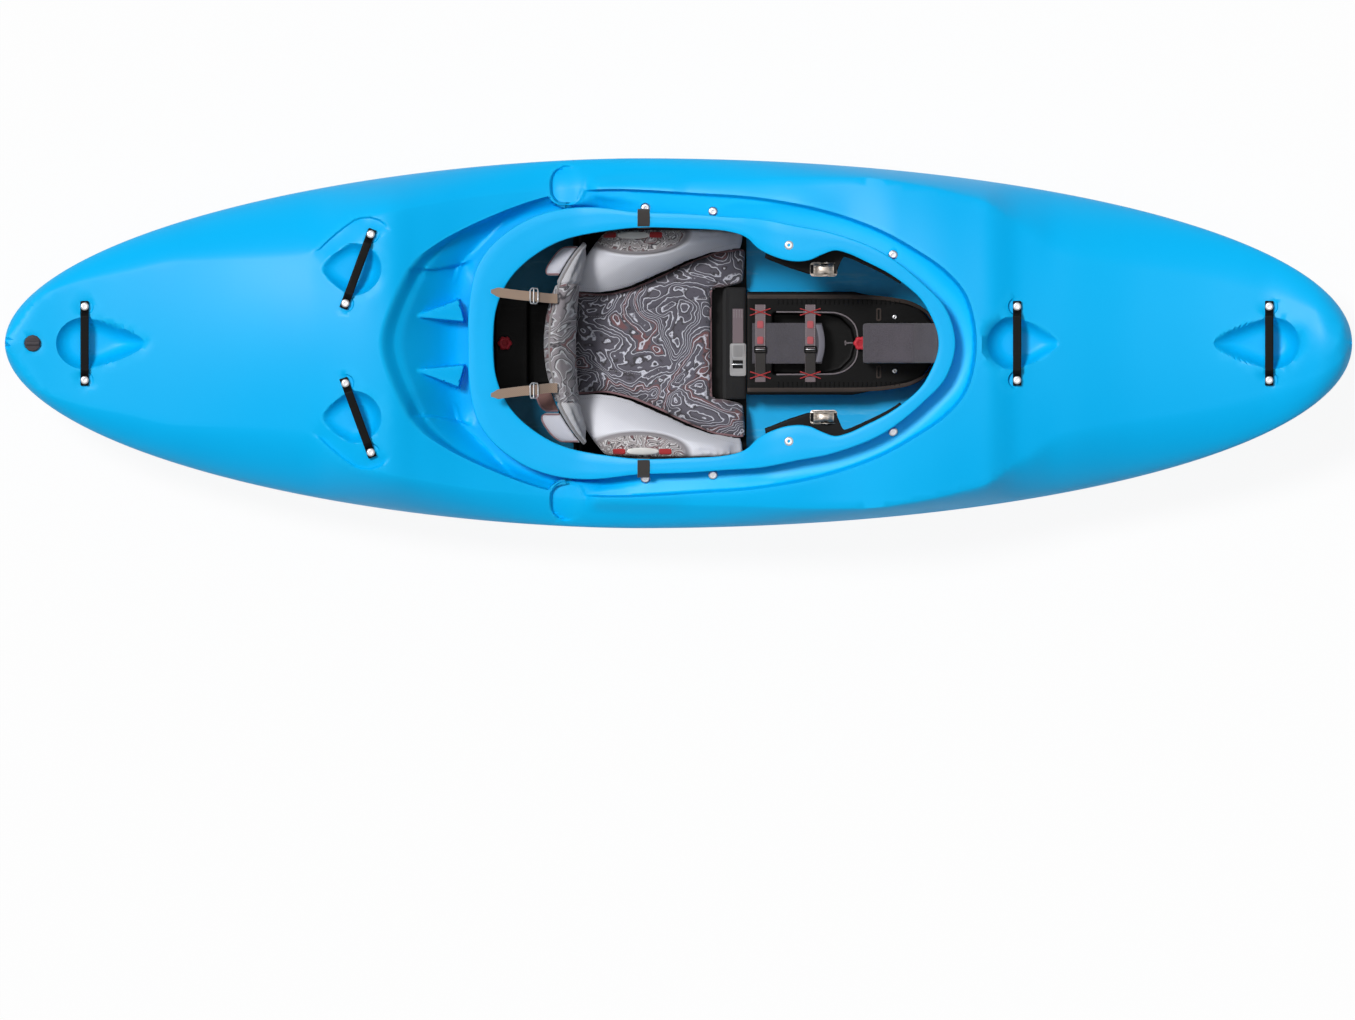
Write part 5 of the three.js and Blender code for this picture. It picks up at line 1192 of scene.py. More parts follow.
# %% Node trees that set copies of a piece along lines or on points
def tree_with(name, **inputs):
    """An empty geometry tree and its inputs: the geometry, the given ones and a material."""
    tree = bpy.data.node_groups.new(name, "GeometryNodeTree")
    for label, kind in {"Geometry": "Geometry", **inputs, "Material": "Material"}.items():
        tree.interface.new_socket(label, in_out="INPUT", socket_type="NodeSocket" + kind)
    tree.interface.new_socket("Geometry", in_out="OUTPUT", socket_type="NodeSocketGeometry")
    return tree, add_node(tree, "NodeGroupInput").outputs


def copies(tree, given, points, facing, axis):
    """The given piece on every point, turned so that one of its axes follows a vector."""
    piece = add_node(tree, "GeometryNodeObjectInfo", Object=given["Piece"])
    turn = add_node(tree, "FunctionNodeAlignRotationToVector", Vector=facing, axis=axis)
    return add_node(tree, "GeometryNodeInstanceOnPoints", Points=points, Instance=piece.outputs["Geometry"],
                    Rotation=turn.outputs["Rotation"]).outputs[0]


def finish_tree(tree, given, geometry):
    """Instances are made real and painted last, so that a plain mesh comes out."""
    real = add_node(tree, "GeometryNodeRealizeInstances", geometry)
    paint = add_node(tree, "GeometryNodeSetMaterial", Geometry=real.outputs[0], Material=given["Material"])
    add_node(tree, "NodeGroupOutput", Geometry=paint.outputs[0])
    return tree


def build_placing_tree():
    tree, given = tree_with("set_on_points", Piece="Object")
    facing = add_node(tree, "GeometryNodeInputNamedAttribute", data_type="FLOAT_VECTOR", Name="facing")
    return finish_tree(tree, given, copies(tree, given, given["Geometry"], facing.outputs[0], "Z"))


def evaluated_mesh(obj):
    """The object's shape with its modifiers in it, as a mesh of its own."""
    bpy.context.view_layer.update()
    return bpy.data.meshes.new_from_object(obj.evaluated_get(bpy.context.evaluated_depsgraph_get()))


def bake_modifiers(obj):
    mesh = evaluated_mesh(obj)
    obj.modifiers.clear()
    old, obj.data = obj.data, mesh
    bpy.data.meshes.remove(old)
    return mesh


def through_nodes(obj, tree, material, **inputs):
    """Runs a node tree on an object and keeps the result as a plain mesh in one piece."""
    modifier = obj.modifiers.new("nodes", "NODES")
    modifier.node_group = tree
    values = {"Material": material, **inputs}
    for item in tree.interface.items_tree:
        if item.in_out == "INPUT" and item.name in values:
            modifier[item.identifier] = values[item.name]
    mesh = bake_modifiers(obj)
    if not mesh.materials:
        mesh.materials.append(material)
    return obj


def points_object(name, points, facings):
    mesh = bpy.data.meshes.new(name)
    mesh.from_pydata([tuple(p) for p in points], [], [])
    facing = mesh.attributes.new("facing", "FLOAT_VECTOR", "POINT")
    facing.data.foreach_set("vector", np.array(facings, float).ravel())
    return in_scene(name, mesh)


PLACING = build_placing_tree()


def set_screws(name, prefix, body, radius):
    names = [n for n in SCREWS if n.startswith(prefix)]
    head = screw_head(radius)
    obj = points_object(name, [SCREWS[n][0] for n in names], [SCREWS[n][1] for n in names])
    through_nodes(obj, PLACING, STEEL, Piece=head)
    bpy.data.objects.remove(head)
    own(obj, body, "steel", *names)
    print(name, len(names), "heads,", len(obj.data.polygons), "faces")


set_screws("handle_screws", "handle_bolt", "hull", 0.0078)
set_screws("rim_screws", "rim_bolt", "hull", 0.0088)
set_screws("rail_screws", "rail_bolt", "hull", 0.0078)

# %% [markdown]
# ## Soft goods
# The seat is dressed in padded, printed fabric. The print is a map of contour lines: one
# slow noise, cut at even heights. The same print covers the cushion, the backband and the
# hips' inserts, so it is a group too.

# %% Contour print
LINE_AT, DARK_LINE_AT, BAND_AT, BAND_EDGES = 0.5, 0.72, 0.57, (0.014, 0.022)


def build_contours():
    tree, given = new_group("contours", {"Scale": 12.0, "Levels": 9.0, "Width": 0.16, "Shift": (0, 0, 0)},
                            ("Light", "Dark", "Band", "Tone"))
    place = add_node(tree, "ShaderNodeTexCoord").outputs["Object"]
    moved = add_node(tree, "ShaderNodeVectorMath", place, given["Shift"], operation="ADD")
    flat = add_node(tree, "ShaderNodeMapping", Vector=moved.outputs[0], Scale=(1, 1, 0.5)).outputs["Vector"]
    ripple = add_node(tree, "ShaderNodeTexNoise", Vector=flat, Scale=70.0, Detail=2.0)
    height = add_node(tree, "ShaderNodeTexNoise", Vector=flat, Scale=given["Scale"], Detail=2.6,
                      Roughness=0.5, Distortion=0.7).outputs["Fac"]
    rough = maths(tree, "MULTIPLY_ADD", ripple.outputs["Fac"], 0.05, height)
    part = maths(tree, "FRACT", maths(tree, "MULTIPLY", rough, given["Levels"]))

    def line(value, centre, edges):
        away = maths(tree, "ABSOLUTE", maths(tree, "SUBTRACT", value, centre))
        return number_range(tree, away, 1.0, 0.0, edges, interpolation_type="SMOOTHSTEP")

    fade = (0.0, given["Width"])
    add_node(tree, "NodeGroupOutput", Light=line(part, LINE_AT, fade), Dark=line(part, DARK_LINE_AT, fade),
             Band=line(height, BAND_AT, BAND_EDGES), Tone=height)
    return tree


CONTOURS = build_contours()


# %% Masks on a piece's own coordinates
def oval_mask(tree, centre, radii, edge=0.05):
    """1 inside an upright oval, mirrored to both sides, fading over a share of its size."""
    terms = []
    for axis, middle, radius in zip("XY", centre, radii):
        away = maths(tree, "SUBTRACT", coordinate(tree, axis, axis == "Y"), middle)
        share = maths(tree, "DIVIDE", away, radius)
        terms.append(maths(tree, "MULTIPLY", share, share))
    return number_range(tree, maths(tree, "ADD", *terms), 1.0, 0.0, (1 - edge, 1 + edge))


# %% Printed and plain seat fabrics
PRINT_BASE, PRINT_PALE = linear(86, 83, 92), linear(214, 214, 224)
PRINT_DARK, PRINT_BROWN = linear(64, 60, 64), linear(118, 82, 84)
THREAD_SHADOW = (0.01, 0.01, 0.012)


def printed(tree, scale, levels, width, shift, base, pale):
    """The print's colour as an output."""
    lines = add_group(tree, CONTOURS, Scale=scale, Levels=levels, Width=width, Shift=shift)
    return layered(tree, base, (lines["Tone"], tuple(1.25 * c for c in base)), (lines["Band"], PRINT_BROWN),
                   (lines["Dark"], PRINT_DARK), (lines["Light"], pale))


def woven(tree, surface, colour, threads=1500.0, strength=0.3):
    """Finishes a fabric: threads darken the colour a little and raise a bump."""
    weave = add_group(tree, WEAVE, Threads=threads)
    shade = maths(tree, "MULTIPLY_ADD", weave["Shade"], 0.22, 0.0)
    dress(tree, surface, layered(tree, colour, (shade, THREAD_SHADOW)), weave["Height"], strength, 0.0005,
          number_range(tree, weave["Height"], 0.75, 0.95))


def cushion_fabric():
    material, tree, surface = start_material("seat_fabric", Sheen_Weight=0.15)
    colour = printed(tree, 9.5, 26.0, 0.17, (0.31, 0.12, 0), PRINT_BASE, PRINT_PALE)
    front = number_range(tree, coordinate(tree, "X"), 0.0, 0.8, (0.062, 0.072))
    middle = number_range(tree, coordinate(tree, "Y", True), 1.0, 0.0, (0.105, 0.115))
    woven(tree, surface, layered(tree, colour, (maths(tree, "MULTIPLY", front, middle), PRINT_BROWN)))
    return material


INSERT_CENTRE, INSERT_EDGE, INSERT_RADII = (-0.078, 0.208), (0.1, 0.041), (0.088, 0.033)


def hip_fabric():
    material, tree, surface = start_material("pad_fabric", Sheen_Weight=0.2)
    grain = add_group(tree, GRAIN, Scale=260.0, Patch_Scale=9.0, Detail=4.0)
    insert = printed(tree, 30.0, 12.0, 0.2, (0.3, 0.1, 0), linear(160, 152, 152), linear(240, 238, 238))
    colour = layered(tree, linear(226, 226, 236), (grain["Patches"], linear(244, 244, 249)),
                     (oval_mask(tree, INSERT_CENTRE, INSERT_EDGE, 0.12), linear(150, 145, 148)),
                     (oval_mask(tree, INSERT_CENTRE, INSERT_RADII, 0.08), insert))
    woven(tree, surface, colour, 1900.0, 0.2)
    return material


def backband_fabric():
    material, tree, surface = start_material("backband_fabric", Sheen_Weight=0.15)
    colour = printed(tree, 15.0, 12.0, 0.2, (0.7, 0.4, 0.2), linear(136, 130, 134), linear(205, 205, 208))
    wings = number_range(tree, coordinate(tree, "Y", True), 0.0, 1.0, (0.1125, 0.1135))
    woven(tree, surface, layered(tree, colour, (wings, linear(196, 195, 199))))
    return material


SEAT_FABRIC, PAD_FABRIC, BACK_FABRIC = cushion_fabric(), hip_fabric(), backband_fabric()
PIPING = fabric_finish("piping", linear(116, 84, 90), linear(150, 116, 120), 2600.0)
GREY_PIPING = fabric_finish("grey_piping", linear(120, 116, 118), linear(150, 146, 146), 2600.0)
THREAD = fabric_finish("thread", linear(150, 148, 150), linear(190, 188, 188), 5000.0)
RED_WEBBING = fabric_finish("red_webbing", linear(150, 32, 38), linear(188, 52, 54))
WHITE_RUBBER = plastic_finish("white_rubber", linear(200, 198, 194), linear(222, 220, 216), 0.5)
print("fabrics", SEAT_FABRIC.name, PAD_FABRIC.name, BACK_FABRIC.name)

# %% [markdown]
# A pad is drawn a little small as a closed body between two surfaces. Then it is filled:
# the cloth swells under pressure for a moment, with no gravity, and its travel is capped.
# Seams are pressed in afterwards, because the swelling would wash them out.

# %% Bodies between two surfaces
def grid_points(surface, nu, nv):
    u, v = np.meshgrid(np.linspace(0, 1, nu + 1), np.linspace(0, 1, nv + 1), indexing="ij")
    return np.stack(np.broadcast_arrays(*surface(u, v)), axis=-1).reshape(-1, 3)


def body_between(name, top, bottom, nu, nv, material, smooth_angle=60):
    """A closed body whose top and bottom are surfaces of u and v from 0 to 1."""
    points = np.vstack([grid_points(top, nu, nv), grid_points(bottom, nu, nv)])
    row, layer = nv + 1, (nu + 1) * (nv + 1)
    faces = []
    for i in range(nu):
        for j in range(nv):
            a = i * row + j
            faces.append((a, a + row, a + row + 1, a + 1))
            faces.append((layer + a, layer + a + 1, layer + a + row + 1, layer + a + row))
    for i in range(nu):
        for j in (0, nv):
            a = i * row + j
            faces.append((a, layer + a, layer + a + row, a + row) if j == 0
                         else (a, a + row, layer + a + row, layer + a))
    for j in range(nv):
        for i in (0, nu):
            a = i * row + j
            faces.append((a, a + 1, layer + a + 1, layer + a) if i == 0
                         else (a, layer + a, layer + a + 1, a + 1))
    return mesh_object(name, points, faces, material, smooth_angle)


def points_of(obj):
    points = np.empty(len(obj.data.vertices) * 3)
    obj.data.vertices.foreach_get("co", points)
    return points.reshape(-1, 3)


def set_points(obj, points):
    obj.data.vertices.foreach_set("co", np.asarray(points, float).ravel())
    obj.data.update()


def set_material(obj, material):
    obj.data.materials.clear()
    obj.data.materials.append(material)


def remesh(obj, size, relax=2):
    modifier = obj.modifiers.new("even", "REMESH")
    modifier.mode, modifier.voxel_size = "VOXEL", size
    soften = obj.modifiers.new("soften", "SMOOTH")
    soften.factor, soften.iterations = 0.5, relax
    bake_modifiers(obj).shade_smooth()


# %% Filling a pad
def fill_pad(obj, cap, voxel=0.005, pressure=4.0):
    """Swells the body a little. cap is the farthest that a point may travel."""
    material = obj.data.materials[0]
    remesh(obj, voxel)
    start = points_of(obj)
    cloth = obj.modifiers.new("cloth", "CLOTH")
    cloth.settings.quality = 5
    cloth.settings.use_pressure = True
    cloth.settings.uniform_pressure_force = pressure
    cloth.settings.effector_weights.gravity = 0
    scene = bpy.context.scene
    for step in range(1, 21):
        scene.frame_set(step)
    bake_modifiers(obj)
    scene.frame_set(1)
    travel = points_of(obj) - start
    length = np.linalg.norm(travel, axis=1)[:, None]
    set_points(obj, start + travel * np.minimum(1, cap / np.maximum(length, 1e-9)))
    obj.modifiers.new("finer", "SUBSURF").levels = 1
    bake_modifiers(obj).shade_smooth()
    set_material(obj, material)
    return obj


def press(obj, distance, depth, width=0.004, upward=True):
    """Presses a seam into the pad's face where distance, a function of the points, is near 0."""
    points = points_of(obj)
    normals = np.array([tuple(v.normal) for v in obj.data.vertices])
    share = np.exp(-(distance(points) / width) ** 2)
    if upward:
        share = share * ease(normals[:, 2] / 0.4)
    set_points(obj, points - normals * (depth * share)[:, None])


# %% [markdown]
# The cushion lies on the seat pan. It is narrow at the hips and spreads to two lobes under
# the thighs, round the slot where the leg lifter stands.

# %% Seat cushion
def box_of(node):
    """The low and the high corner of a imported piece."""
    return [np.array(corner, float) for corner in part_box(node)]


CUSHION_LOW, CUSHION_HIGH = box_of("seat_cushion")
PAN_TOP, PAN_FLOOR_HALF, PAN_WALL_HALF, PAN_BEND = 0.0123, 0.147, 0.216, 0.048
NOTCH_REAR, NOTCH_HALF = 0.0672, 0.11
cushion_half = smooth([
    (-0.2108, 0.103), (-0.153, 0.101), (-0.096, 0.112), (-0.04, 0.134), (0.027, 0.164),
    (0.08, 0.181), (0.129, 0.186),
])


def pan_face(y):
    share = np.clip((np.abs(y) - PAN_FLOOR_HALF) / (PAN_WALL_HALF - PAN_FLOOR_HALF), 0, 1)
    return PAN_TOP + (PAN_BEND - PAN_TOP) * share + 0.0004


def cushion_top(x, y):
    share = np.clip(np.abs(y) / cushion_half(x), 0, 1)
    ends = np.abs(2 * (x - CUSHION_LOW[0]) / (CUSHION_HIGH[0] - CUSHION_LOW[0]) - 1)
    return 0.05 + 0.048 * (y / 0.186) ** 2 - 0.014 * np.clip(np.maximum(share, ends), 0, 1) ** 6


def cushion_place(u, v):
    spread = 2 * v - 1
    front = mix(NOTCH_REAR, CUSHION_HIGH[0] - 0.003,
                ease((np.abs(spread) * 0.178 - NOTCH_HALF + 0.006) / 0.016))
    x = mix(CUSHION_LOW[0] + 0.003, front, u)
    return x, spread * (cushion_half(x) - 0.004)


def cushion_upper(u, v):
    x, y = cushion_place(u, v)
    return x, y, cushion_top(x, y) - 0.003


def cushion_lower(u, v):
    x, y = cushion_place(u, v)
    return x, y, pan_face(y) + 0.001


def make_cushion():
    cushion = fill_pad(body_between("cushion", cushion_upper, cushion_lower, 64, 72, SEAT_FABRIC), 0.007)
    points = points_of(cushion)
    points[:, 2] = np.maximum(points[:, 2], pan_face(points[:, 1]))
    points[:, 0] = np.minimum(points[:, 0], CUSHION_HIGH[0])
    slot = (np.abs(points[:, 1]) < NOTCH_HALF) & (points[:, 0] > NOTCH_REAR + 0.002)
    points[slot, 0] = np.where(np.abs(points[slot, 1]) < NOTCH_HALF - 0.004,
                               NOTCH_REAR + 0.002, points[slot, 0])
    set_points(cushion, points)
    press(cushion, lambda p: np.abs(np.abs(p[:, 1]) - 0.5 * cushion_half(p[:, 0])), 0.0025, 0.003)
    return own(cushion, "seat", "seat_fabric", "seat_cushion", fill=0.7)


cushion = make_cushion()
print("cushion", len(cushion.data.polygons), "faces")


# %% Lying on a surface
def surface_of(*objs):
    """A ray tree over the meshes, for laying things on them."""
    points, faces = [], []
    for obj in objs:
        base = len(points)
        points += [v.co.copy() for v in obj.data.vertices]
        faces += [tuple(base + i for i in face.vertices) for face in obj.data.polygons]
    return BVHTree.FromPolygons(points, faces)


def laid(tree, x, y, lift=0.0, top=0.4):
    """The point on a surface under (x, y), or the nearest one on its edge if there is none."""
    hit = tree.ray_cast(Vector((x, y, top)), Vector((0, 0, -1)))[0]
    for step in range(12 * 30):
        if hit:
            return (hit.x, hit.y, hit.z + lift)
        reach, turn = 0.0007 * (1 + step // 12), step * math.pi / 6
        start = Vector((x + reach * math.cos(turn), y + reach * math.sin(turn), top))
        hit = tree.ray_cast(start, Vector((0, 0, -1)))[0]
    raise ValueError("nothing to lie on")


# %% Piping, a cord along a line, and stitches, short threads along a line
def even_points(tree, given):
    curve = add_node(tree, "GeometryNodeMeshToCurve", given["Geometry"])
    return add_node(tree, "GeometryNodeResampleCurve", mode="LENGTH", Curve=curve.outputs[0],
                    Length=given["Pitch"]).outputs[0]


def build_piping_tree():
    tree, given = tree_with("piping", Radius="Float", Pitch="Float")
    ring = add_node(tree, "GeometryNodeCurvePrimitiveCircle", mode="RADIUS", Resolution=10,
                    Radius=given["Radius"])
    tube = add_node(tree, "GeometryNodeCurveToMesh", Curve=even_points(tree, given),
                    Profile_Curve=ring.outputs["Curve"], Fill_Caps=True)
    rounded_tube = add_node(tree, "GeometryNodeSetShadeSmooth", tube.outputs[0])
    return finish_tree(tree, given, rounded_tube.outputs[0])


def build_stitch_tree():
    tree, given = tree_with("stitches", Pitch="Float", Piece="Object")
    tangent = add_node(tree, "GeometryNodeInputTangent").outputs[0]
    return finish_tree(tree, given, copies(tree, given, even_points(tree, given), tangent, "X"))


PIPING_TREE, STITCH_TREE = build_piping_tree(), build_stitch_tree()


def lines_object(name, lines):
    points, edges = [], []
    for line in lines:
        edges += [(i, i + 1) for i in range(len(points), len(points) + len(line) - 1)]
        points += [tuple(map(float, p)) for p in line]
    mesh = bpy.data.meshes.new(name)
    mesh.from_pydata(points, edges, [])
    return in_scene(name, mesh)


def piping(name, lines, radius, material, body, slot="seat_fabric"):
    obj = through_nodes(lines_object(name, lines), PIPING_TREE, material, Radius=radius, Pitch=0.006)
    return own(obj, body, slot)


def stitch_thread(length=0.0032, radius=0.00035):
    bm = bmesh.new()
    bmesh.ops.create_uvsphere(bm, u_segments=6, v_segments=4, radius=1)
    bmesh.ops.scale(bm, vec=(length / 2, radius, radius), verts=bm.verts)
    mesh = bpy.data.meshes.new("stitch")
    bm.to_mesh(mesh)
    bm.free()
    mesh.shade_smooth()
    return in_scene("stitch", mesh)


STITCH = stitch_thread()


def stitches(name, lines, body, slot="seat_fabric", pitch=0.0045):
    obj = through_nodes(lines_object(name, lines), STITCH_TREE, THREAD, Pitch=pitch, Piece=STITCH)
    return own(obj, body, slot)


# %% Piping and seams of the cushion
def cushion_lines():
    surface = surface_of(cushion)
    x = np.linspace(CUSHION_LOW[0] + 0.012, CUSHION_HIGH[0] - 0.006, 60)
    edges = [[laid(surface, a, side * (float(cushion_half(a)) - 0.008), 0.0006) for a in x]
             for side in (1, -1)]
    rear = x[x < NOTCH_REAR - 0.006]
    seams = [[laid(surface, a, side * float(cushion_half(a)) * 0.5, 0.0002) for a in rear]
             for side in (1, -1)]
    y = np.linspace(-0.1, 0.1, 40)
    edges.append([laid(surface, NOTCH_REAR - 0.006, b, 0.0006) for b in y])
    return edges, seams


cushion_edges, cushion_seams = cushion_lines()
piping("cushion_piping", cushion_edges, 0.003, PIPING, "seat")
stitches("cushion_stitches", cushion_seams, "seat")

# %% [markdown]
# The hip pads hold the paddler from the sides. Each is a wedge against the seat's wall and
# slopes down to the cushion's edge. Its insert is an oval of the printed fabric.

# %% Hip pads
SIDES = ((1, "port"), (-1, "starboard"))
HIP_OUTER, HIP_FRONT = 0.2155, 0.124
hip_inner = smooth([
    (-0.205, 0.098), (-0.153, 0.094), (-0.096, 0.104), (-0.04, 0.126), (0.027, 0.156), (0.08, 0.174),
    (HIP_FRONT, 0.182),
])
hip_crest = smooth([
    (-0.205, 0.16), (-0.16, 0.176), (-0.1, 0.187), (0.02, 0.187), (0.09, 0.172), (HIP_FRONT, 0.15),
])


def hip_rear(v):
    """The pad's rear edge, clear of the backband's face."""
    y = mix(0.1, HIP_OUTER, v)
    return 0.0292 - np.sqrt(mix(0.263, 0.274, v) ** 2 - y**2) + 0.004


def hip_place(u, v):
    x = mix(hip_rear(v), HIP_FRONT, u)
    return x, mix(hip_inner(x), HIP_OUTER - 0.001, v)


def hip_low(x):
    """Just above the cushion, which the pad slides over."""
    share = np.array([0.8, 0.9, 1.0])
    half = cushion_half(x)[..., None]
    return np.max(cushion_top(x[..., None], half * share), axis=-1) + 0.0065


def hip_upper(u, v):
    x, y = hip_place(u, v)
    low = hip_low(x) + 0.003
    rise = np.sin(np.clip(v, 0, 1) * math.pi / 2) ** 0.85
    ends = 1 - 0.3 * np.abs(2 * u - 1) ** 6
    return x, y, low + (hip_crest(x) - low - 0.003) * rise * ends


def hip_lower(u, v):
    x, y = hip_place(u, v)
    return x, y, np.minimum(mix(hip_low(x), 0.116, np.clip(v, 0, 1)), hip_upper(u, v)[2] - 0.003)


def insert_distance(points):
    """Roughly how far each point lies from the seam round the insert."""
    along_x = (points[:, 0] - INSERT_CENTRE[0]) / INSERT_EDGE[0]
    along_y = (points[:, 1] - INSERT_CENTRE[1]) / INSERT_EDGE[1]
    return np.hypot(along_x, along_y) * 0.04 - 0.04


def make_hip_pad(side, name):
    pad = body_between(f"hip_pad_soft_{name}", hip_upper, hip_lower, 60, 26, PAD_FABRIC)
    pad = fill_pad(pad, 0.005, pressure=3.0)
    points = points_of(pad)
    x, y, z = points.T
    near_seam = np.minimum(y, HIP_OUTER) < hip_inner(x) + 0.012
    points[:, 2] = np.maximum(z, np.where(near_seam, hip_low(x) - 0.001, 0))
    points[:, 1] = np.minimum(y, HIP_OUTER)
    set_points(pad, points)
    press(pad, insert_distance, 0.0022, 0.0018)
    if side < 0:
        set_points(pad, points_of(pad) * (1, -1, 1))
        pad.data.flip_normals()
    return own(pad, f"hip_{name}", "pad_fabric", f"hip_pad_{name}", fill=0.6)


HIP_PADS = {side: make_hip_pad(side, label) for side, label in SIDES}
print("hip pads", [len(pad.data.polygons) for pad in HIP_PADS.values()])


# %% A thin patch that lies on a pad
def patch(name, tree, centre, size, thickness, material, body, slot="webbing", power=2.0, steps=36):
    """A rounded patch laid on a surface; a higher power makes it squarer."""
    rings = []
    for share, lift in ((0, 1), (0.45, 1), (0.8, 1), (0.93, 0.9), (1, 0.55), (1, -0.4)):
        ring = []
        for i in range(steps):
            c, s = math.cos(2 * math.pi * i / steps), math.sin(2 * math.pi * i / steps)
            reach = share / (abs(c) ** power + abs(s) ** power) ** (1 / power) / 2
            ring.append(laid(tree, centre[0] + reach * c * size[0], centre[1] + reach * s * size[1],
                             thickness * lift))
        rings.append(ring)
    points = [rings[0][0]] + [p for ring in rings[1:] for p in ring]
    faces = [(0, 1 + i, 1 + (i + 1) % steps) for i in range(steps)]
    faces += [tuple(1 + i for i in face) for face in ring_faces(len(rings) - 1, steps)]
    faces.append(tuple(range(len(points) - 1, len(points) - 1 - steps, -1)))
    return own(mesh_object(name, points, faces, material, 50), body, slot)


for side, label in SIDES:
    hip_surface = surface_of(HIP_PADS[side])
    shift = 0 if side > 0 else 0.018
    patch(f"hip_badge_{label}", hip_surface, (-0.086 + shift, side * 0.2055), (0.06, 0.014), 0.003,
          WHITE_RUBBER, f"hip_{label}", "pad_fabric", 2.4)
    for place, tab_x in (("rear", -0.131), ("front", -0.043)):
        patch(f"hip_tab_{place}_{label}", hip_surface, (tab_x + shift, side * 0.206), (0.024, 0.011), 0.002,
              RED_WEBBING, f"hip_{label}", "pad_fabric", 6)
    seam = [laid(hip_surface, x, side * (float(hip_inner(x)) + 0.009), 0.0002)
            for x in np.linspace(-0.19, 0.118, 50)]
    stitches(f"hip_stitches_{label}", [seam], f"hip_{label}", "pad_fabric")

# %% [markdown]
# The backband is a padded arc hinged on the seat's walls. Its face leans forward to a
# lumbar bulge. Behind its ends lie the pads of the hip straps.

# %% Backband
BAND_RADIUS, BAND_BASE, BAND_TOP, BAND_HALF = 0.285, 0.095, 0.245, 0.1957
BAND_CENTRE_X = float(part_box("backband")[0][0]) + BAND_RADIUS


def band_point(angle, radius, z):
    return BAND_CENTRE_X - radius * np.cos(angle), radius * np.sin(angle), z


def band_shape(v):
    """v goes from starboard to port: the angle, the top's height, the thickness and the bulge."""
    spread = 2 * v - 1
    angle = spread * math.asin(BAND_HALF / BAND_RADIUS)
    top = BAND_TOP - 0.045 * spread**4
    thickness = mix(0.026, 0.013, np.abs(spread) ** 3)
    lumbar = 0.03 * (1 - spread**2) ** 1.5
    return angle, top, thickness, lumbar


def band_front(u, v):
    angle, top, thickness, lumbar = band_shape(v)
    bulge = np.sin(np.clip(1 - u, 0, 1) * math.pi * 0.82 + 0.25) ** 2
    return band_point(angle, BAND_RADIUS - thickness - lumbar * bulge, mix(BAND_BASE, top, u))


def band_back(u, v):
    angle, top, thickness, _ = band_shape(v)
    radius = BAND_RADIUS - 0.003 - 0.25 * thickness * np.abs(2 * u - 1) ** 3
    return band_point(angle, radius, mix(BAND_BASE, top, u))


def make_backband():
    band = body_between("backband_soft", band_front, band_back, 26, 76, BACK_FABRIC)
    band = fill_pad(band, 0.005, pressure=3.0)
    points = points_of(band)
    reach = np.hypot(points[:, 0] - BAND_CENTRE_X, points[:, 1])
    over = np.maximum(reach - BAND_RADIUS, 0) / reach
    points[:, 0] -= (points[:, 0] - BAND_CENTRE_X) * over
    points[:, 1] -= points[:, 1] * over
    set_points(band, points)
    press(band, lambda p: np.abs(np.abs(p[:, 1]) - 0.113), 0.0035, 0.0025, upward=False)
    press(band, lambda p: p[:, 2] - 0.165, 0.0015, 0.0025, upward=False)
    return own(band, "back", "pad_fabric", "backband", fill=0.6)


band = make_backband()
band_surface = surface_of(band)
print("backband", len(band.data.polygons), "faces")


def band_line(radius, share, count=50, reach=1.0):
    """A line across the band at that distance from its centre and share of its height."""
    line = []
    for spread in np.linspace(-reach, reach, count):
        angle = spread * math.asin(BAND_HALF / BAND_RADIUS)
        place = Vector(band_point(angle, radius, mix(BAND_BASE, BAND_TOP - 0.045 * spread**4, share)))
        line.append(tuple(band_surface.find_nearest(place)[0]))
    return line


band_edges = [band_line(0.283, 1.0), band_line(0.24, 0.2, reach=0.9)]
piping("backband_piping", band_edges, 0.0022, GREY_PIPING, "back", "pad_fabric")
stitches("backband_stitches", [band_line(0.25, 0.47, reach=0.92)], "back", "pad_fabric")


# %% Pivots of the backband, one through each wall of the seat
def turned_body(name, profile, material, steps, at, turned_about):
    """A body from (radius, height) pairs round Z, turned a quarter about X or Y and moved."""
    turn = Matrix.Translation(at) @ Matrix.Rotation(math.pi / 2, 4, turned_about)
    rings = [[turn @ Vector(p) for p in turned_ring([radius] * steps, level)] for radius, level in profile]
    return ring_body(name, rings, material)


PIVOT_PROFILE = [(0.0066, -0.019), (0.0069, -0.017), (0.0069, 0.017), (0.0066, 0.019)]
for side, label in SIDES:
    pivot = turned_body(f"backband_pivot_{label}", PIVOT_PROFILE, BLACK_PLASTIC, 32,
                        (-0.18784, side * 0.1965, 0.112), "X")
    own(pivot, "back", "pad_fabric")


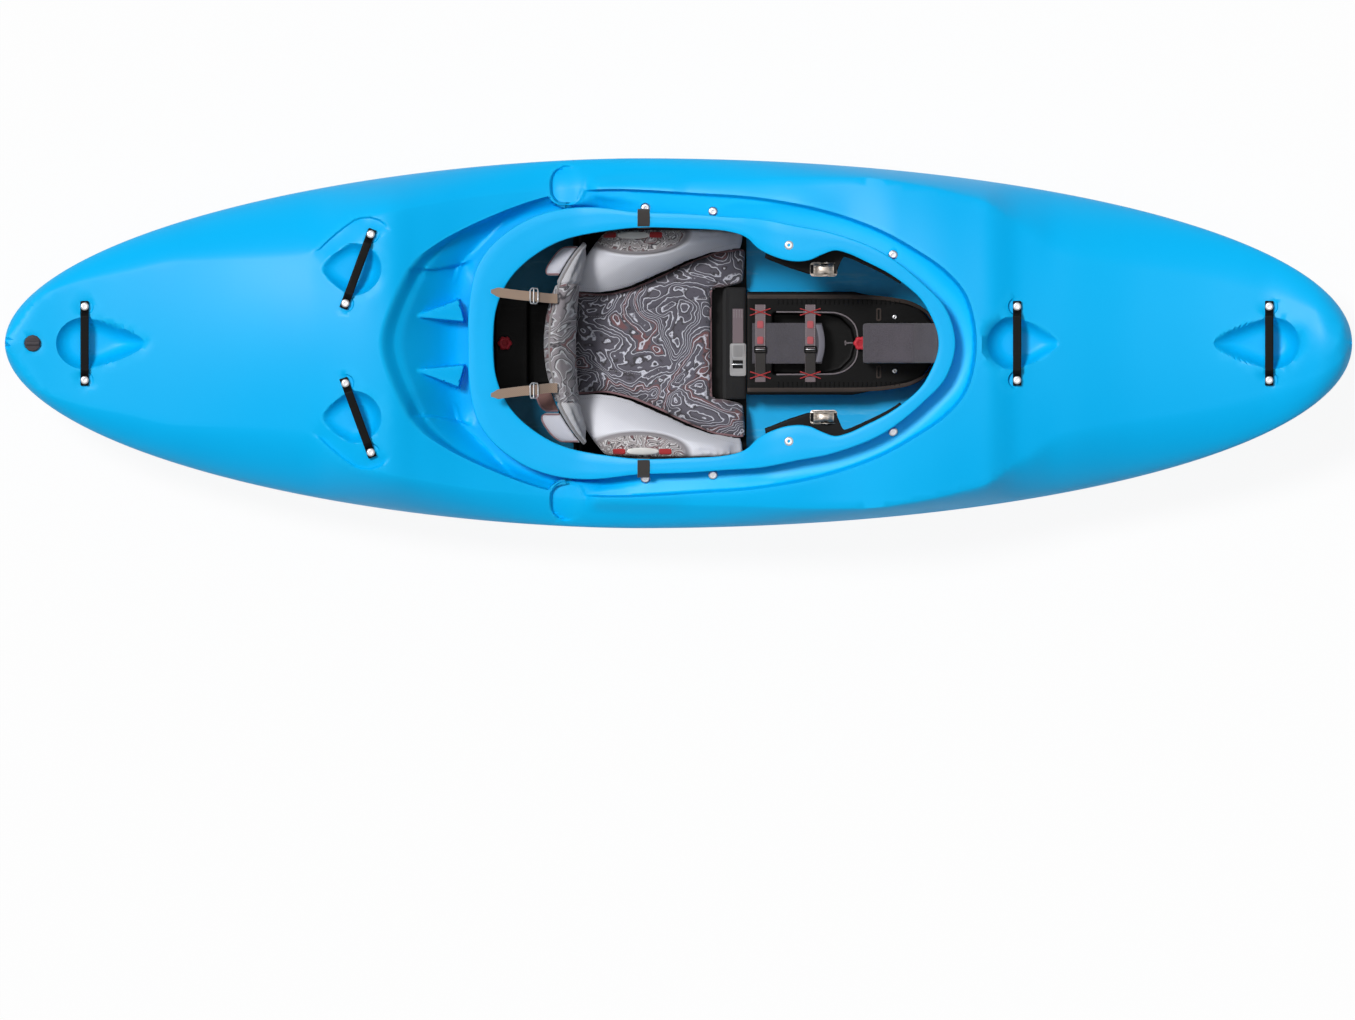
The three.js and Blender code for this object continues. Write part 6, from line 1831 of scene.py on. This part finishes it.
# %% Pads of the hip straps, behind the band's ends
def strap_pad(name, y_from, y_to, width, side, material):
    """A padded flap that follows the band's back from one offset to another."""
    thickness, top = 0.014, 0.2

    def place(u, v):
        y = mix(y_from, y_to, u)
        x = BAND_CENTRE_X - np.sqrt((BAND_RADIUS + 0.001) ** 2 - y**2)
        return x - width * (1 - 0.35 * np.abs(2 * u - 1) ** 4) * v, side * y

    def upper(u, v):
        rounding = 0.35 * (np.abs(2 * u - 1) ** 4 + np.abs(2 * v - 1) ** 4)
        return *place(u, v), top - thickness * rounding - 0.012 * v

    def lower(u, v):
        return *place(u, v), top - thickness - 0.012 * v

    pad = fill_pad(body_between(name, upper, lower, 20, 12, material), 0.003, voxel=0.004, pressure=2.0)
    outline = [(0.06, v) for v in np.linspace(0.1, 0.94, 8)] + [(u, 0.94) for u in np.linspace(0.1, 0.9, 14)]
    outline += [(0.94, v) for v in np.linspace(0.94, 0.1, 8)]
    lying = surface_of(pad)
    line = [laid(lying, *map(float, place(u, v)), 0.0004) for u, v in outline]
    piping(f"{name}_piping", [line], 0.0018, PIPING, "back", "pad_fabric")
    own(pad, "back", "pad_fabric", fill=0.5)


LIGHT_FABRIC = fabric_finish("light_fabric", linear(176, 176, 188), linear(206, 206, 214), 1900.0)
BROWN_FABRIC = fabric_finish("brown_fabric", linear(96, 66, 64), linear(126, 92, 86), 1900.0)
strap_pad("hip_strap_pad_port", 0.128, 0.186, 0.034, 1, LIGHT_FABRIC)
strap_pad("hip_strap_pad_starboard", 0.132, 0.19, 0.046, -1, LIGHT_FABRIC)
strap_pad("hip_strap_end_starboard", 0.088, 0.131, 0.034, -1, BROWN_FABRIC)

# %% [markdown]
# ## Webbing
# Straps are flat woven bands with rounded edges. Each is drawn along its path, and its
# width lies across a given direction.

# %% Straps
def smooth_path(path, pitch=0.004):
    """Even points on a soft curve through the given ones."""
    p = np.array(path, float)
    reach = np.concatenate([[0], np.cumsum(np.linalg.norm(np.diff(p, axis=0), axis=1))])
    at = np.linspace(0, reach[-1], max(int(reach[-1] / pitch), 2) + 1)
    q = np.stack([np.interp(at, reach, p[:, k]) for k in range(3)], axis=1)
    for _ in range(3):
        q[1:-1] = (q[:-2] + 2 * q[1:-1] + q[2:]) / 4
    return q


STRAP_SECTION = [(-1, -0.35), (-0.97, -1), (0, -1), (0.97, -1), (1, -0.35), (1, 0.35), (0.97, 1), (0, 1.12),
                 (-0.97, 1), (-1, 0.35)]


def strap(name, path, width, thickness, across, material, body, nodes=(), slot="webbing", taper=0.0,
          raw=False):
    """A flat band along a path. taper draws its last stretch to a narrower tongue."""
    q = np.array(path, float) if raw else smooth_path(path)
    across = Vector(across).normalized()
    rings = []
    for i, point in enumerate(q):
        ahead = Vector(q[min(i + 1, len(q) - 1)] - q[max(i - 1, 0)]).normalized()
        up = ahead.cross(across).normalized()
        half = width / 2 * (1 - taper * float(ease((5 + i - len(q)) / 4)))
        rings.append([Vector(point) + across * (a * half) + up * (b * thickness / 2)
                      for a, b in STRAP_SECTION])
    return own(ring_body(name, rings, material, 50), body, slot, *nodes)


def plate(name, body, slot, material, outline, holes, thickness, lies, *nodes, bevel=0.0006):
    """A flat plate with holes, from rounded outlines in the plane that it lies in."""
    curve = bpy.data.curves.new(name, "CURVE")
    curve.dimensions, curve.fill_mode = "2D", "BOTH"
    curve.extrude, curve.bevel_depth, curve.bevel_resolution = thickness / 2 - bevel, bevel, 2
    for ring in [outline, *holes]:
        spline = curve.splines.new("POLY")
        spline.points.add(len(ring) - 1)
        for point, (x, y) in zip(spline.points, ring):
            point.co = (x, y, 0, 1)
        spline.use_cyclic_u = True
    drawn = in_scene(name, curve)
    mesh = evaluated_mesh(drawn)
    bpy.data.objects.remove(drawn)
    mesh.transform(lies)
    made = in_scene(name, mesh)
    set_material(made, material)
    tidy_mesh(mesh, 35)
    return own(made, body, slot, *nodes)


def rounded(width, height, radius, centre=(0, 0), steps=6):
    """A rounded rectangle's outline."""
    ring = []
    for corner, (sx, sy) in enumerate(((1, 1), (-1, 1), (-1, -1), (1, -1))):
        for i in range(steps + 1):
            a = math.pi / 2 * (corner + i / steps)
            ring.append((centre[0] + sx * (width / 2 - radius) + radius * math.cos(a),
                         centre[1] + sy * (height / 2 - radius) + radius * math.sin(a)))
    return ring


def plane(at, ahead=(1, 0, 0), across=(0, 1, 0)):
    """A plane's frame: x along ahead, y along across."""
    x, y = Vector(ahead).normalized(), Vector(across).normalized()
    z = x.cross(y).normalized()
    return Matrix.Translation(at) @ Matrix((x, z.cross(x), z)).transposed().to_4x4()


# %% The backband's tails and their wire slides
TAIL_WEBBING = fabric_finish("tail_webbing", linear(136, 114, 98), linear(172, 148, 130))
for side, label in SIDES:
    y, tail_end = side * 0.09, box_of(f"strap_tail_{label}")[0][0] + 0.002
    tail = [(x, y + side * aside, z) for x, aside, z in (
        (-0.2305, -0.005, 0.2455), (-0.243, -0.005, 0.252), (-0.262, -0.003, 0.2705),
        (-0.276, -0.001, 0.2835), (-0.3, 0.001, 0.293), (-0.33, 0.005, 0.306), (tail_end, 0.0085, 0.3175))]
    strap(f"strap_tail_soft_{label}", tail, 0.0185, 0.0022, (0, 1, 0), TAIL_WEBBING, "back",
          [f"strap_tail_{label}"], taper=0.6)
    slide = plane((-0.2745, y, 0.2852), (-0.78, 0, 0.62))
    ring = rounded(0.019, 0.029, 0.0035)
    wire = [[tuple(slide @ Vector((a, b, 0))) for a, b in ring + ring[:1]],
            [tuple(slide @ Vector((0, b, 0.0012))) for b in np.linspace(-0.0135, 0.0135, 9)]]
    piping(f"wire_slide_{label}", wire, 0.0015, STEEL, "back", "steel")

# %% Tabs that hold the seat's edge to the rim
for side, label in SIDES:
    low, high = box_of(f"rim_tab_{label}")
    x = float(low[0] + high[0]) / 2
    top, slope = float(rim_z(x)) + 0.0019, float(rim_z(x + 0.01) - rim_z(x - 0.01)) / 0.02
    over = [(x, side * y, top - drop) for y, drop in (
        (0.2192, 0.0155), (0.2188, 0.006), (0.2208, 0.0012), (0.2255, 0), (0.2455, 0), (0.251, 0.002),
        (0.2543, 0.009))]
    strap(f"rim_tab_soft_{label}", over, 0.024, 0.0022, (1, 0, slope), DARK_WEBBING, "hull",
          [f"rim_tab_{label}"])

# %% [markdown]
# A strap with a cam buckle lifts the front of the seat. Two more cross the console: each is
# doubled back through a slide, has rose loops stitched on it and is tied down with a red
# crossed cord at both ends.

# %% Leg lifter strap and its cam buckle
LIFT_X, LIFT_Z = 0.1129, 0.0761
strap("leg_strap_soft", [(LIFT_X, y, LIFT_Z) for y in (0.0655, 0.03, 0.0005)], 0.0205, 0.0018, (1, 0, 0),
      WEBBING, "lifter", ["leg_strap"], raw=True)
thread_rows = [[(LIFT_X + dx, y, LIFT_Z + 0.0011) for y in (0.062, 0.05)]
               for dx in (-0.0075, -0.0025, 0.0025, 0.0075)]
stitches("leg_strap_stitches", thread_rows, "lifter", "webbing", 0.0035)


BUCKLE_STEEL = plastic_finish("buckle_metal", linear(120, 118, 118), linear(158, 156, 156), 0.38, 900.0, 0.1)


def cam_buckle():
    plate("cam_buckle", "lifter", "steel", BUCKLE_STEEL, rounded(0.0295, 0.0612, 0.004),
          [rounded(0.0205, 0.0165, 0.0012, (0, -0.009))], 0.0052, plane((LIFT_X, -0.0312, 0.0778)),
          "leg_buckle")

    def upper(u, v):
        z = 0.0836 - 0.0026 * u**2 - 0.0012 * np.abs(2 * v - 1) ** 4
        return LIFT_X + (v - 0.5) * (0.0235 - 0.004 * u**3), mix(-0.0016, -0.0285, u), z

    def lower(u, v):
        return *upper(u, v)[:2], 0.0806 - 0.0008 * u

    own(body_between("cam_lever", upper, lower, 14, 12, BUCKLE_STEEL, 50), "lifter", "steel")
    profile = [(0.0016, -0.0115), (0.0019, -0.0108), (0.0019, 0.0108), (0.0016, 0.0115)]
    own(turned_body("cam_bar", profile, STEEL, 16, (LIFT_X, -0.0402, 0.0786), "Y"), "lifter", "steel")


cam_buckle()

# %% Console straps
ROSE_WEBBING = fabric_finish("rose_webbing", linear(150, 56, 64), linear(188, 96, 100))
STRAP_HALF, STRAP_THICKNESS, SLIDE_Y = 0.0735, 0.0018, -0.0118


def console_strap(name, node):
    low, high = box_of(node)
    x, base, width = float(low[0] + high[0]) / 2, float(low[2]) + 0.0012, float(high[0] - low[0]) - 0.003
    flat = [(x, y, base + rise) for y, rise in (
        (STRAP_HALF, 0), (0.048, 0.0002), (0.037, 0.0026), (0, 0.003), (-0.037, 0.0026), (-0.048, 0.0002),
        (-STRAP_HALF, 0))]
    lower = strap(name, flat, width, STRAP_THICKNESS, (1, 0, 0), WEBBING, "seat", [node])
    doubled = [(x, y, base + rise) for y, rise in (
        (-0.0105, 0.0049), (-0.034, 0.0046), (-0.05, 0.0024), (-0.0635, 0.002))]
    strap(f"{name}_tail", doubled, width * 0.96, STRAP_THICKNESS, (1, 0, 0), DARK_WEBBING, "seat")
    lying = surface_of(lower)
    for place, y in (("a", 0.0355), ("b", 0.0055)):
        patch(f"{name}_loop_{place}", lying, (x, y), (width * 0.62, 0.0145), STRAP_THICKNESS, ROSE_WEBBING,
              "seat", power=5)
    holes = [rounded(width * 0.98, 0.0034, 0.0008, (0, dy)) for dy in (-0.0032, 0.0032)]
    plate(f"{name}_slide", "seat", "black_plastic", BLACK_PLASTIC, rounded(width + 0.0026, 0.0132, 0.002),
          holes, 0.004, plane((x, SLIDE_Y, base + 0.0048)))
    profile = [(0.0008, -0.009), (0.0011, -0.0085), (0.0011, 0.0085), (0.0008, 0.009)]
    own(turned_body(f"{name}_bar", profile, STEEL, 12, (x, SLIDE_Y, base + 0.0062), "Y"), "seat", "steel")
    ties = [[(x + 0.0195 * t, y + turn * 0.0065 * t, base + 0.0022 + 0.0016 * (1 - t**2))
             for t in np.linspace(-1, 1, 15)] for y in (0.0595, -0.0605) for turn in (1, -1)]
    piping(f"{name}_ties", ties, 0.0011, RED_WEBBING, "seat", "webbing")
    edge = width / 2 - 0.0016
    lines = [[laid(lying, x + dx, y, 0.0002) for y in np.linspace(0.072, -0.008, 30)] for dx in (-edge, edge)]
    stitches(f"{name}_stitches", lines, "seat", "webbing", 0.0042)


console_strap("console_strap_soft_rear", "console_strap_rear")
console_strap("console_strap_soft_front", "console_strap_front")
bpy.data.objects.remove(STITCH)

# %% [markdown]
# ## Foam and mouldings
# A moulded or cut piece has no knife-sharp edges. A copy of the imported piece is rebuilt
# from small, even cells and relaxed a little, which rounds every edge at once and needs no
# edge to be picked by hand.

# %% Rounded copies
BODY_OF = {node: body for body, nodes in frame["record"]["behaviour"]["bodies"].items() for node in nodes}


def rounded_copy(node, cell, relax, material, slot, fill=None):
    obj = in_scene(f"{node}_finished", NODES[node].data.copy())
    tidy_mesh(obj.data)
    remesh(obj, cell, relax)
    set_material(obj, material)
    print(node, len(obj.data.polygons), "faces")
    return own(obj, BODY_OF[node], slot, node, fill=fill)


DARK_FOAM = foam_finish("dark_foam", linear(16, 15, 17), linear(40, 37, 41))
LIFTER_FABRIC = fabric_finish("lifter_fabric", linear(2, 2, 3), linear(9, 8, 10), 1500.0, sheen=0.03)
for node in ("rear_pillar", "front_pillar"):
    rounded_copy(node, 0.004, 4, FOAM, "foam")
rounded_copy("footbrace_pad", 0.0025, 4, DARK_FOAM, "foam")
rounded_copy("leg_lifter", 0.003, 5, LIFTER_FABRIC, "seat_fabric", fill=0.9)
for node in NODES:
    if node.startswith("handle_") and "bolt" not in node:
        rounded_copy(node, 0.0014, 2, BLACK_PLASTIC, "black_plastic")
rounded_copy("drain_plug", 0.0012, 1, GREY_PLASTIC, "grey_plastic")
CONSOLE = rounded_copy("center_console", 0.0024, 3, BLACK_PLASTIC, "black_plastic")
rounded_copy("rear_tray", 0.0024, 3, BLACK_PLASTIC, "black_plastic")
BRACE_SHOWS = 0.006
opening_half = smooth(sorted({round(float(x), 5): float(y) for x, y in OPENING if y > 0}.items()))
for label in ("port", "starboard"):
    brace = rounded_copy(f"thigh_brace_{label}", 0.002, 4, BLACK_PLASTIC, "black_plastic")
    for point in brace.data.vertices:
        hidden = float(opening_half(point.co.x)) - BRACE_SHOWS - abs(point.co.y)
        moved = 0.93 * max(hidden, 0) * float(ease((point.co.x - 0.296) / 0.02))
        point.co.y += math.copysign(moved, point.co.y)

# %% Knobs: six soft lobes, turned by hand
KNOB_PROFILE = [(0.35, 0), (0.42, 0.02), (0.44, 0.3), (0.9, 0.36), (0.985, 0.42), (1, 0.6), (0.985, 0.82),
                (0.93, 0.93), (0.84, 0.985), (0.6, 1), (0.42, 0.97), (0.38, 0.9), (0.2, 0.88)]


def lobed_knob(node, lobes=6, steps=72):
    low, high = box_of(node)
    reach, height = (high[0] - low[0]) / 2, high[2] - low[2]
    dip = 0.14 * (0.5 - 0.5 * np.cos(lobes * 2 * math.pi * np.arange(steps) / steps)) ** 1.4
    rings = []
    for share, level in KNOB_PROFILE:
        ring = turned_ring(share * reach * (1 - dip * ease((share - 0.5) / 0.4)), low[2] + level * height)
        rings.append(np.array(ring) + (*(low + high)[:2] / 2, 0))
    return own(ring_body(f"{node}_lobed", rings, RED_PLASTIC, 45), BODY_OF[node], "red_plastic", node)


for node in ("rear_knob", "front_knob"):
    lobed_knob(node)

# %% Console details: recess rim, edge bands, ribs, slots and bolts
RIM_TRIM = plastic_finish("rim_trim", linear(88, 82, 85), linear(118, 110, 113), 0.45)
GREY_TRIM = plastic_finish("grey_trim", linear(44, 38, 36), linear(66, 58, 54), 0.5)
RECESS = [(0.186, 0.0595), (0.25, 0.0592), (0.2983, 0.0584), (0.318, 0.052), (0.3335, 0.0385), (0.339, 0.026),
          (0.3405, 0.012)]
FLANGE_REAR, FLANGE_FRONT = 0.131, 0.4835
flange_half = smooth([
    (FLANGE_REAR, 0.0885), (0.3, 0.0885), (0.362, 0.0875), (0.429, 0.0795), (0.4585, 0.068), (0.4755, 0.055),
    (FLANGE_FRONT, 0.043),
])


def console_trim():
    fine = smooth_path([(x, y, 0) for x, y in RECESS] + [(x, -y, 0) for x, y in RECESS[::-1]])
    piping("recess_rim", [[(x, y, 0.0961) for x, y, _ in fine]], 0.0015, RIM_TRIM, "seat", "grey_plastic")
    for side, label in SIDES:
        def upper(u, v):
            x = mix(FLANGE_REAR, FLANGE_FRONT, u)
            return x, side * (flange_half(x) + 0.0075 * (v - 0.5)), 0.0962 - 0.0012 * np.abs(2 * v - 1) ** 4

        def lower(u, v):
            return *upper(u, v)[:2], 0.0925
        flange = body_between(f"console_flange_{label}", upper, lower, 90, 6, GREY_TRIM, 50)
        own(flange, "seat", "grey_plastic")
    for place, y in enumerate((0.0545, -0.0545)):
        plate(f"console_slot_{place}", "seat", "grey_plastic", GREY_TRIM, rounded(0.0085, 0.0235, 0.003),
              [rounded(0.0045, 0.0195, 0.0018)], 0.0022, plane((0.3805, y, 0.0956)))
    for part, (width, height, dx) in enumerate(((0.014, 0.0022, 0), (0.0022, 0.008, -0.0068))):
        plate(f"console_mark_{part}", "seat", "grey_plastic", RIM_TRIM, rounded(width, height, 0.0008), [],
              0.0014, plane((0.324 + dx, 0.0006, 0.0456)), bevel=0.0004)


MAT_REAR, MAT_FRONT, MAT_ROUND = 0.14, 0.2785, 0.0165
NOSE_HALF = 0.0355


def mat_upper(u, v):
    end = MAT_FRONT - 0.0065 * np.abs(2 * v - 1) ** 2
    x = mix(MAT_REAR, end, u)
    nose = 1 - ease((x - end + MAT_ROUND) / MAT_ROUND) ** 2
    return x, (v - 0.5) * 0.077, mix(0.091, 0.0976, nose) - 0.0016 * np.abs(2 * v - 1) ** 10


def mat_lower(u, v):
    x, y, top = mat_upper(u, v)
    return x, y, np.minimum(mix(0.0954, 0.0475, ease((x - 0.1795) / 0.002)), top - 0.0015)


def nose_upper(u, v):
    y = mix(-NOSE_HALF, NOSE_HALF, u)
    x = 0.2665 + 0.0115 * v - 0.0065 * (y / NOSE_HALF) ** 2
    return x, y, 0.0987 - 0.0052 * v**1.6 - 0.0006 * np.abs(2 * u - 1) ** 4


def nose_lower(u, v):
    x, y, top = nose_upper(u, v)
    return x, y, top - 0.0022


MAT_FOAM = foam_finish("mat_foam", linear(52, 50, 54), linear(92, 88, 94))
NOSE_FABRIC = fabric_finish("nose_fabric", linear(104, 102, 110), linear(134, 131, 140), 1900.0)
own(body_between("console_block", mat_upper, mat_lower, 70, 30, MAT_FOAM, 55), "seat", "foam", "console_mat")
own(body_between("console_block_nose", nose_upper, nose_lower, 40, 10, NOSE_FABRIC, 60), "seat", "foam")
console_trim()


def rib_piece():
    """One low rib with a rounded top, 2.4 mm wide and 9 mm long."""
    def upper(u, v):
        x, y = (v - 0.5) * 0.0024, (u - 0.5) * 0.009
        return x, y, 0.0016 * (1 - np.abs(2 * v - 1) ** 2.5) * (1 - np.abs(2 * u - 1) ** 6)

    def lower(u, v):
        return *upper(u, v)[:2], -0.001
    return body_between("rib", upper, lower, 8, 6, GREY_PLASTIC)


rib = rib_piece()
rib_places = [(x, side * 0.078, 0.095) for side in (1, -1) for x in np.linspace(0.19, 0.42, 27)]
ribs = points_object("console_ribs", rib_places, [(0, 0, 1)] * len(rib_places))
own(through_nodes(ribs, PLACING, BLACK_PLASTIC, Piece=rib), "seat", "black_plastic")
bpy.data.objects.remove(rib)
head = screw_head(0.005, 0.003, 0.0018)
console_top = surface_of(CONSOLE)
bolt_places = [laid(console_top, 0.411, y, 0.0022) for y in (0.0499, -0.0527)]
bolts = points_object("console_bolts", bolt_places, [(0, 0, 1)] * 2)
own(through_nodes(bolts, PLACING, STEEL, Piece=head), "seat", "steel")
bpy.data.objects.remove(head)
print("console", len(ribs.data.polygons), "rib faces")

# %% Ratchets of the thigh braces
CHEEK = [(-0.021, 0), (0.022, 0), (0.0225, 0.003), (0.016, 0.0062), (0.012, 0.0115), (0.006, 0.0138),
         (-0.001, 0.0125), (-0.007, 0.0068), (-0.0165, 0.0052), (-0.022, 0.0025)]
RIVET_PROFILE = [(0.0008, -0.001), (0.0026, -0.0006), (0.0026, 0.0004), (0.0016, 0.001)]
LEVER_HALF = 0.0195


def make_ratchet(label):
    """A pressed frame with two cheeks, a toothed ladder strap through it and a sprung lever."""
    low, high = box_of(f"ratchet_{label}")
    x, y, base = float(low[0] + high[0]) / 2, float(low[1] + high[1]) / 2, float(low[2]) + 0.0006
    body = BODY_OF[f"ratchet_{label}"]
    plate(f"ratchet_plate_{label}", body, "steel", AGED_STEEL, rounded(0.0505, 0.0265, 0.006),
          [rounded(0.006, 0.014, 0.0015, (dx, 0)) for dx in (-0.018, 0.018)], 0.0016,
          plane((x, y, base + 0.0006)), f"ratchet_{label}")
    for hand, side in (("a", 1), ("b", -1)):
        upright = plane((x, y + side * 0.0117, base + 0.001), across=(0, 0, 1))
        plate(f"ratchet_cheek_{hand}_{label}", body, "steel", AGED_STEEL, CHEEK, [], 0.0014, upright,
              bevel=0.0004)
        pin_at = (x + 0.006, y + side * 0.0127, base + 0.0085)
        rivet = turned_body(f"ratchet_rivet_{hand}_{label}", RIVET_PROFILE, STEEL, 16, pin_at, "X")
        own(rivet, body, "steel")
    ladder = [(low[0] + 0.0008, y, base + 0.0046), (x - 0.012, y, base + 0.0046),
              (x + 0.012, y, base + 0.005), (high[0] - 0.001, y, base + 0.0052)]
    strap(f"ratchet_ladder_{label}", ladder, 0.0165, 0.0026, (0, 1, 0), BLACK_PLASTIC, body,
          slot="black_plastic")
    teeth = [(tx, y, base + 0.006) for tx in np.arange(low[0] + 0.003, high[0] - 0.002, 0.0032)]
    row = points_object(f"ratchet_teeth_{label}", teeth, [(0, 0, 1)] * len(teeth))
    own(through_nodes(row, PLACING, BLACK_PLASTIC, Piece=TOOTH), body, "black_plastic")
    coil = [(x - 0.001 + 0.0019 * math.cos(a), y + 0.0085 * (a / (9 * math.pi) - 1),
             base + 0.0095 + 0.0019 * math.sin(a)) for a in np.linspace(0, 18 * math.pi, 150)]
    piping(f"ratchet_spring_{label}", [coil], 0.0005, STEEL, body, "steel")

    def upper(u, v):
        reach = mix(-LEVER_HALF, LEVER_HALF, u)
        waist = 0.0094 - 0.0022 * np.exp(-((reach - 0.002) / 0.0075) ** 2)
        waist = waist + 0.0012 * ease((-reach - 0.006) / 0.008)
        rise = 0.0135 + 0.0018 * np.cos(reach / LEVER_HALF * 2.4) - 0.0022 * ease((reach - 0.008) / 0.01)
        ribs = 0.0005 * np.sin(reach * 2600) * ease((-reach - 0.007) / 0.003)
        return x + reach, y + (2 * v - 1) * waist, base + rise + ribs - 0.0022 * np.abs(2 * v - 1) ** 3

    def lower(u, v):
        lx, ly, top = upper(u, v)
        return lx, ly, top - 0.0014

    lever = body_between(f"ratchet_lever_pressed_{label}", upper, lower, 70, 16, AGED_STEEL, 50)
    own(lever, BODY_OF[f"ratchet_lever_{label}"], "steel", f"ratchet_lever_{label}")


def tooth_piece():
    points = [(x, y, z) for z, half in ((-0.0005, 0.0011), (0.0009, 0.0004)) for y in (-0.0065, 0.0065)
              for x in (-half, half)]
    faces = [(0, 1, 3, 2), (4, 6, 7, 5), (0, 4, 5, 1), (2, 3, 7, 6), (0, 2, 6, 4), (1, 5, 7, 3)]
    return mesh_object("tooth", points, faces, BLACK_PLASTIC, 20)


AGED_STEEL = metal_finish("aged_steel", (420.0, 130.0), (160.0, 0.9, 0.48),
                          ((0.1, 0.085, 0.075), (0.5, 0.44, 0.38), (0.74, 0.68, 0.62)), (0.25, 0.55),
                          0.3, 0.0006)
TOOTH = tooth_piece()
for label in ("port", "starboard"):
    make_ratchet(label)
bpy.data.objects.remove(TOOTH)

# %% [markdown]
# The seat pan, the footbrace and its rails keep the shape they were packed with, and get
# the finish of what they are moulded from.

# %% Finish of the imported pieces
for name in ("seat_pan", "footbrace_plate", "footbrace_rail_port", "footbrace_rail_starboard"):
    materials = NODES[name].data.materials
    for place in range(len(materials)):
        materials[place] = BLACK_PLASTIC
    print(name, "has", len(materials), "material slot")

# %% Floor
FLOOR_REACH, FLOOR_LEVEL, FLOOR_COLOUR, FLOOR_GLOW = 12, -0.001, (0.8, 0.8, 0.8, 1), 0.92


def build_floor():
    """A pale floor that looks white to the camera and keeps part of the boat's shadow."""
    material = bpy.data.materials.new("floor")
    material.use_nodes = True
    tree = material.node_tree
    tree.nodes.clear()
    paint = add_node(tree, "ShaderNodeBsdfDiffuse", Color=FLOOR_COLOUR)
    glow = add_node(tree, "ShaderNodeEmission", Color=WHITE)
    seen = add_node(tree, "ShaderNodeLightPath").outputs["Is Camera Ray"]
    share = maths(tree, "MULTIPLY", seen, FLOOR_GLOW)
    both = add_node(tree, "ShaderNodeMixShader", share, paint.outputs[0], glow.outputs[0])
    add_node(tree, "ShaderNodeOutputMaterial", Surface=both.outputs[0])
    mesh = bpy.data.meshes.new("floor")
    corners = [(x * FLOOR_REACH, y * FLOOR_REACH, FLOOR_LEVEL)
               for x, y in ((-1, -1), (1, -1), (1, 1), (-1, 1))]
    mesh.from_pydata(corners, [], [(0, 1, 2, 3)])
    mesh.materials.append(material)
    return in_scene("floor", mesh)


build_floor()
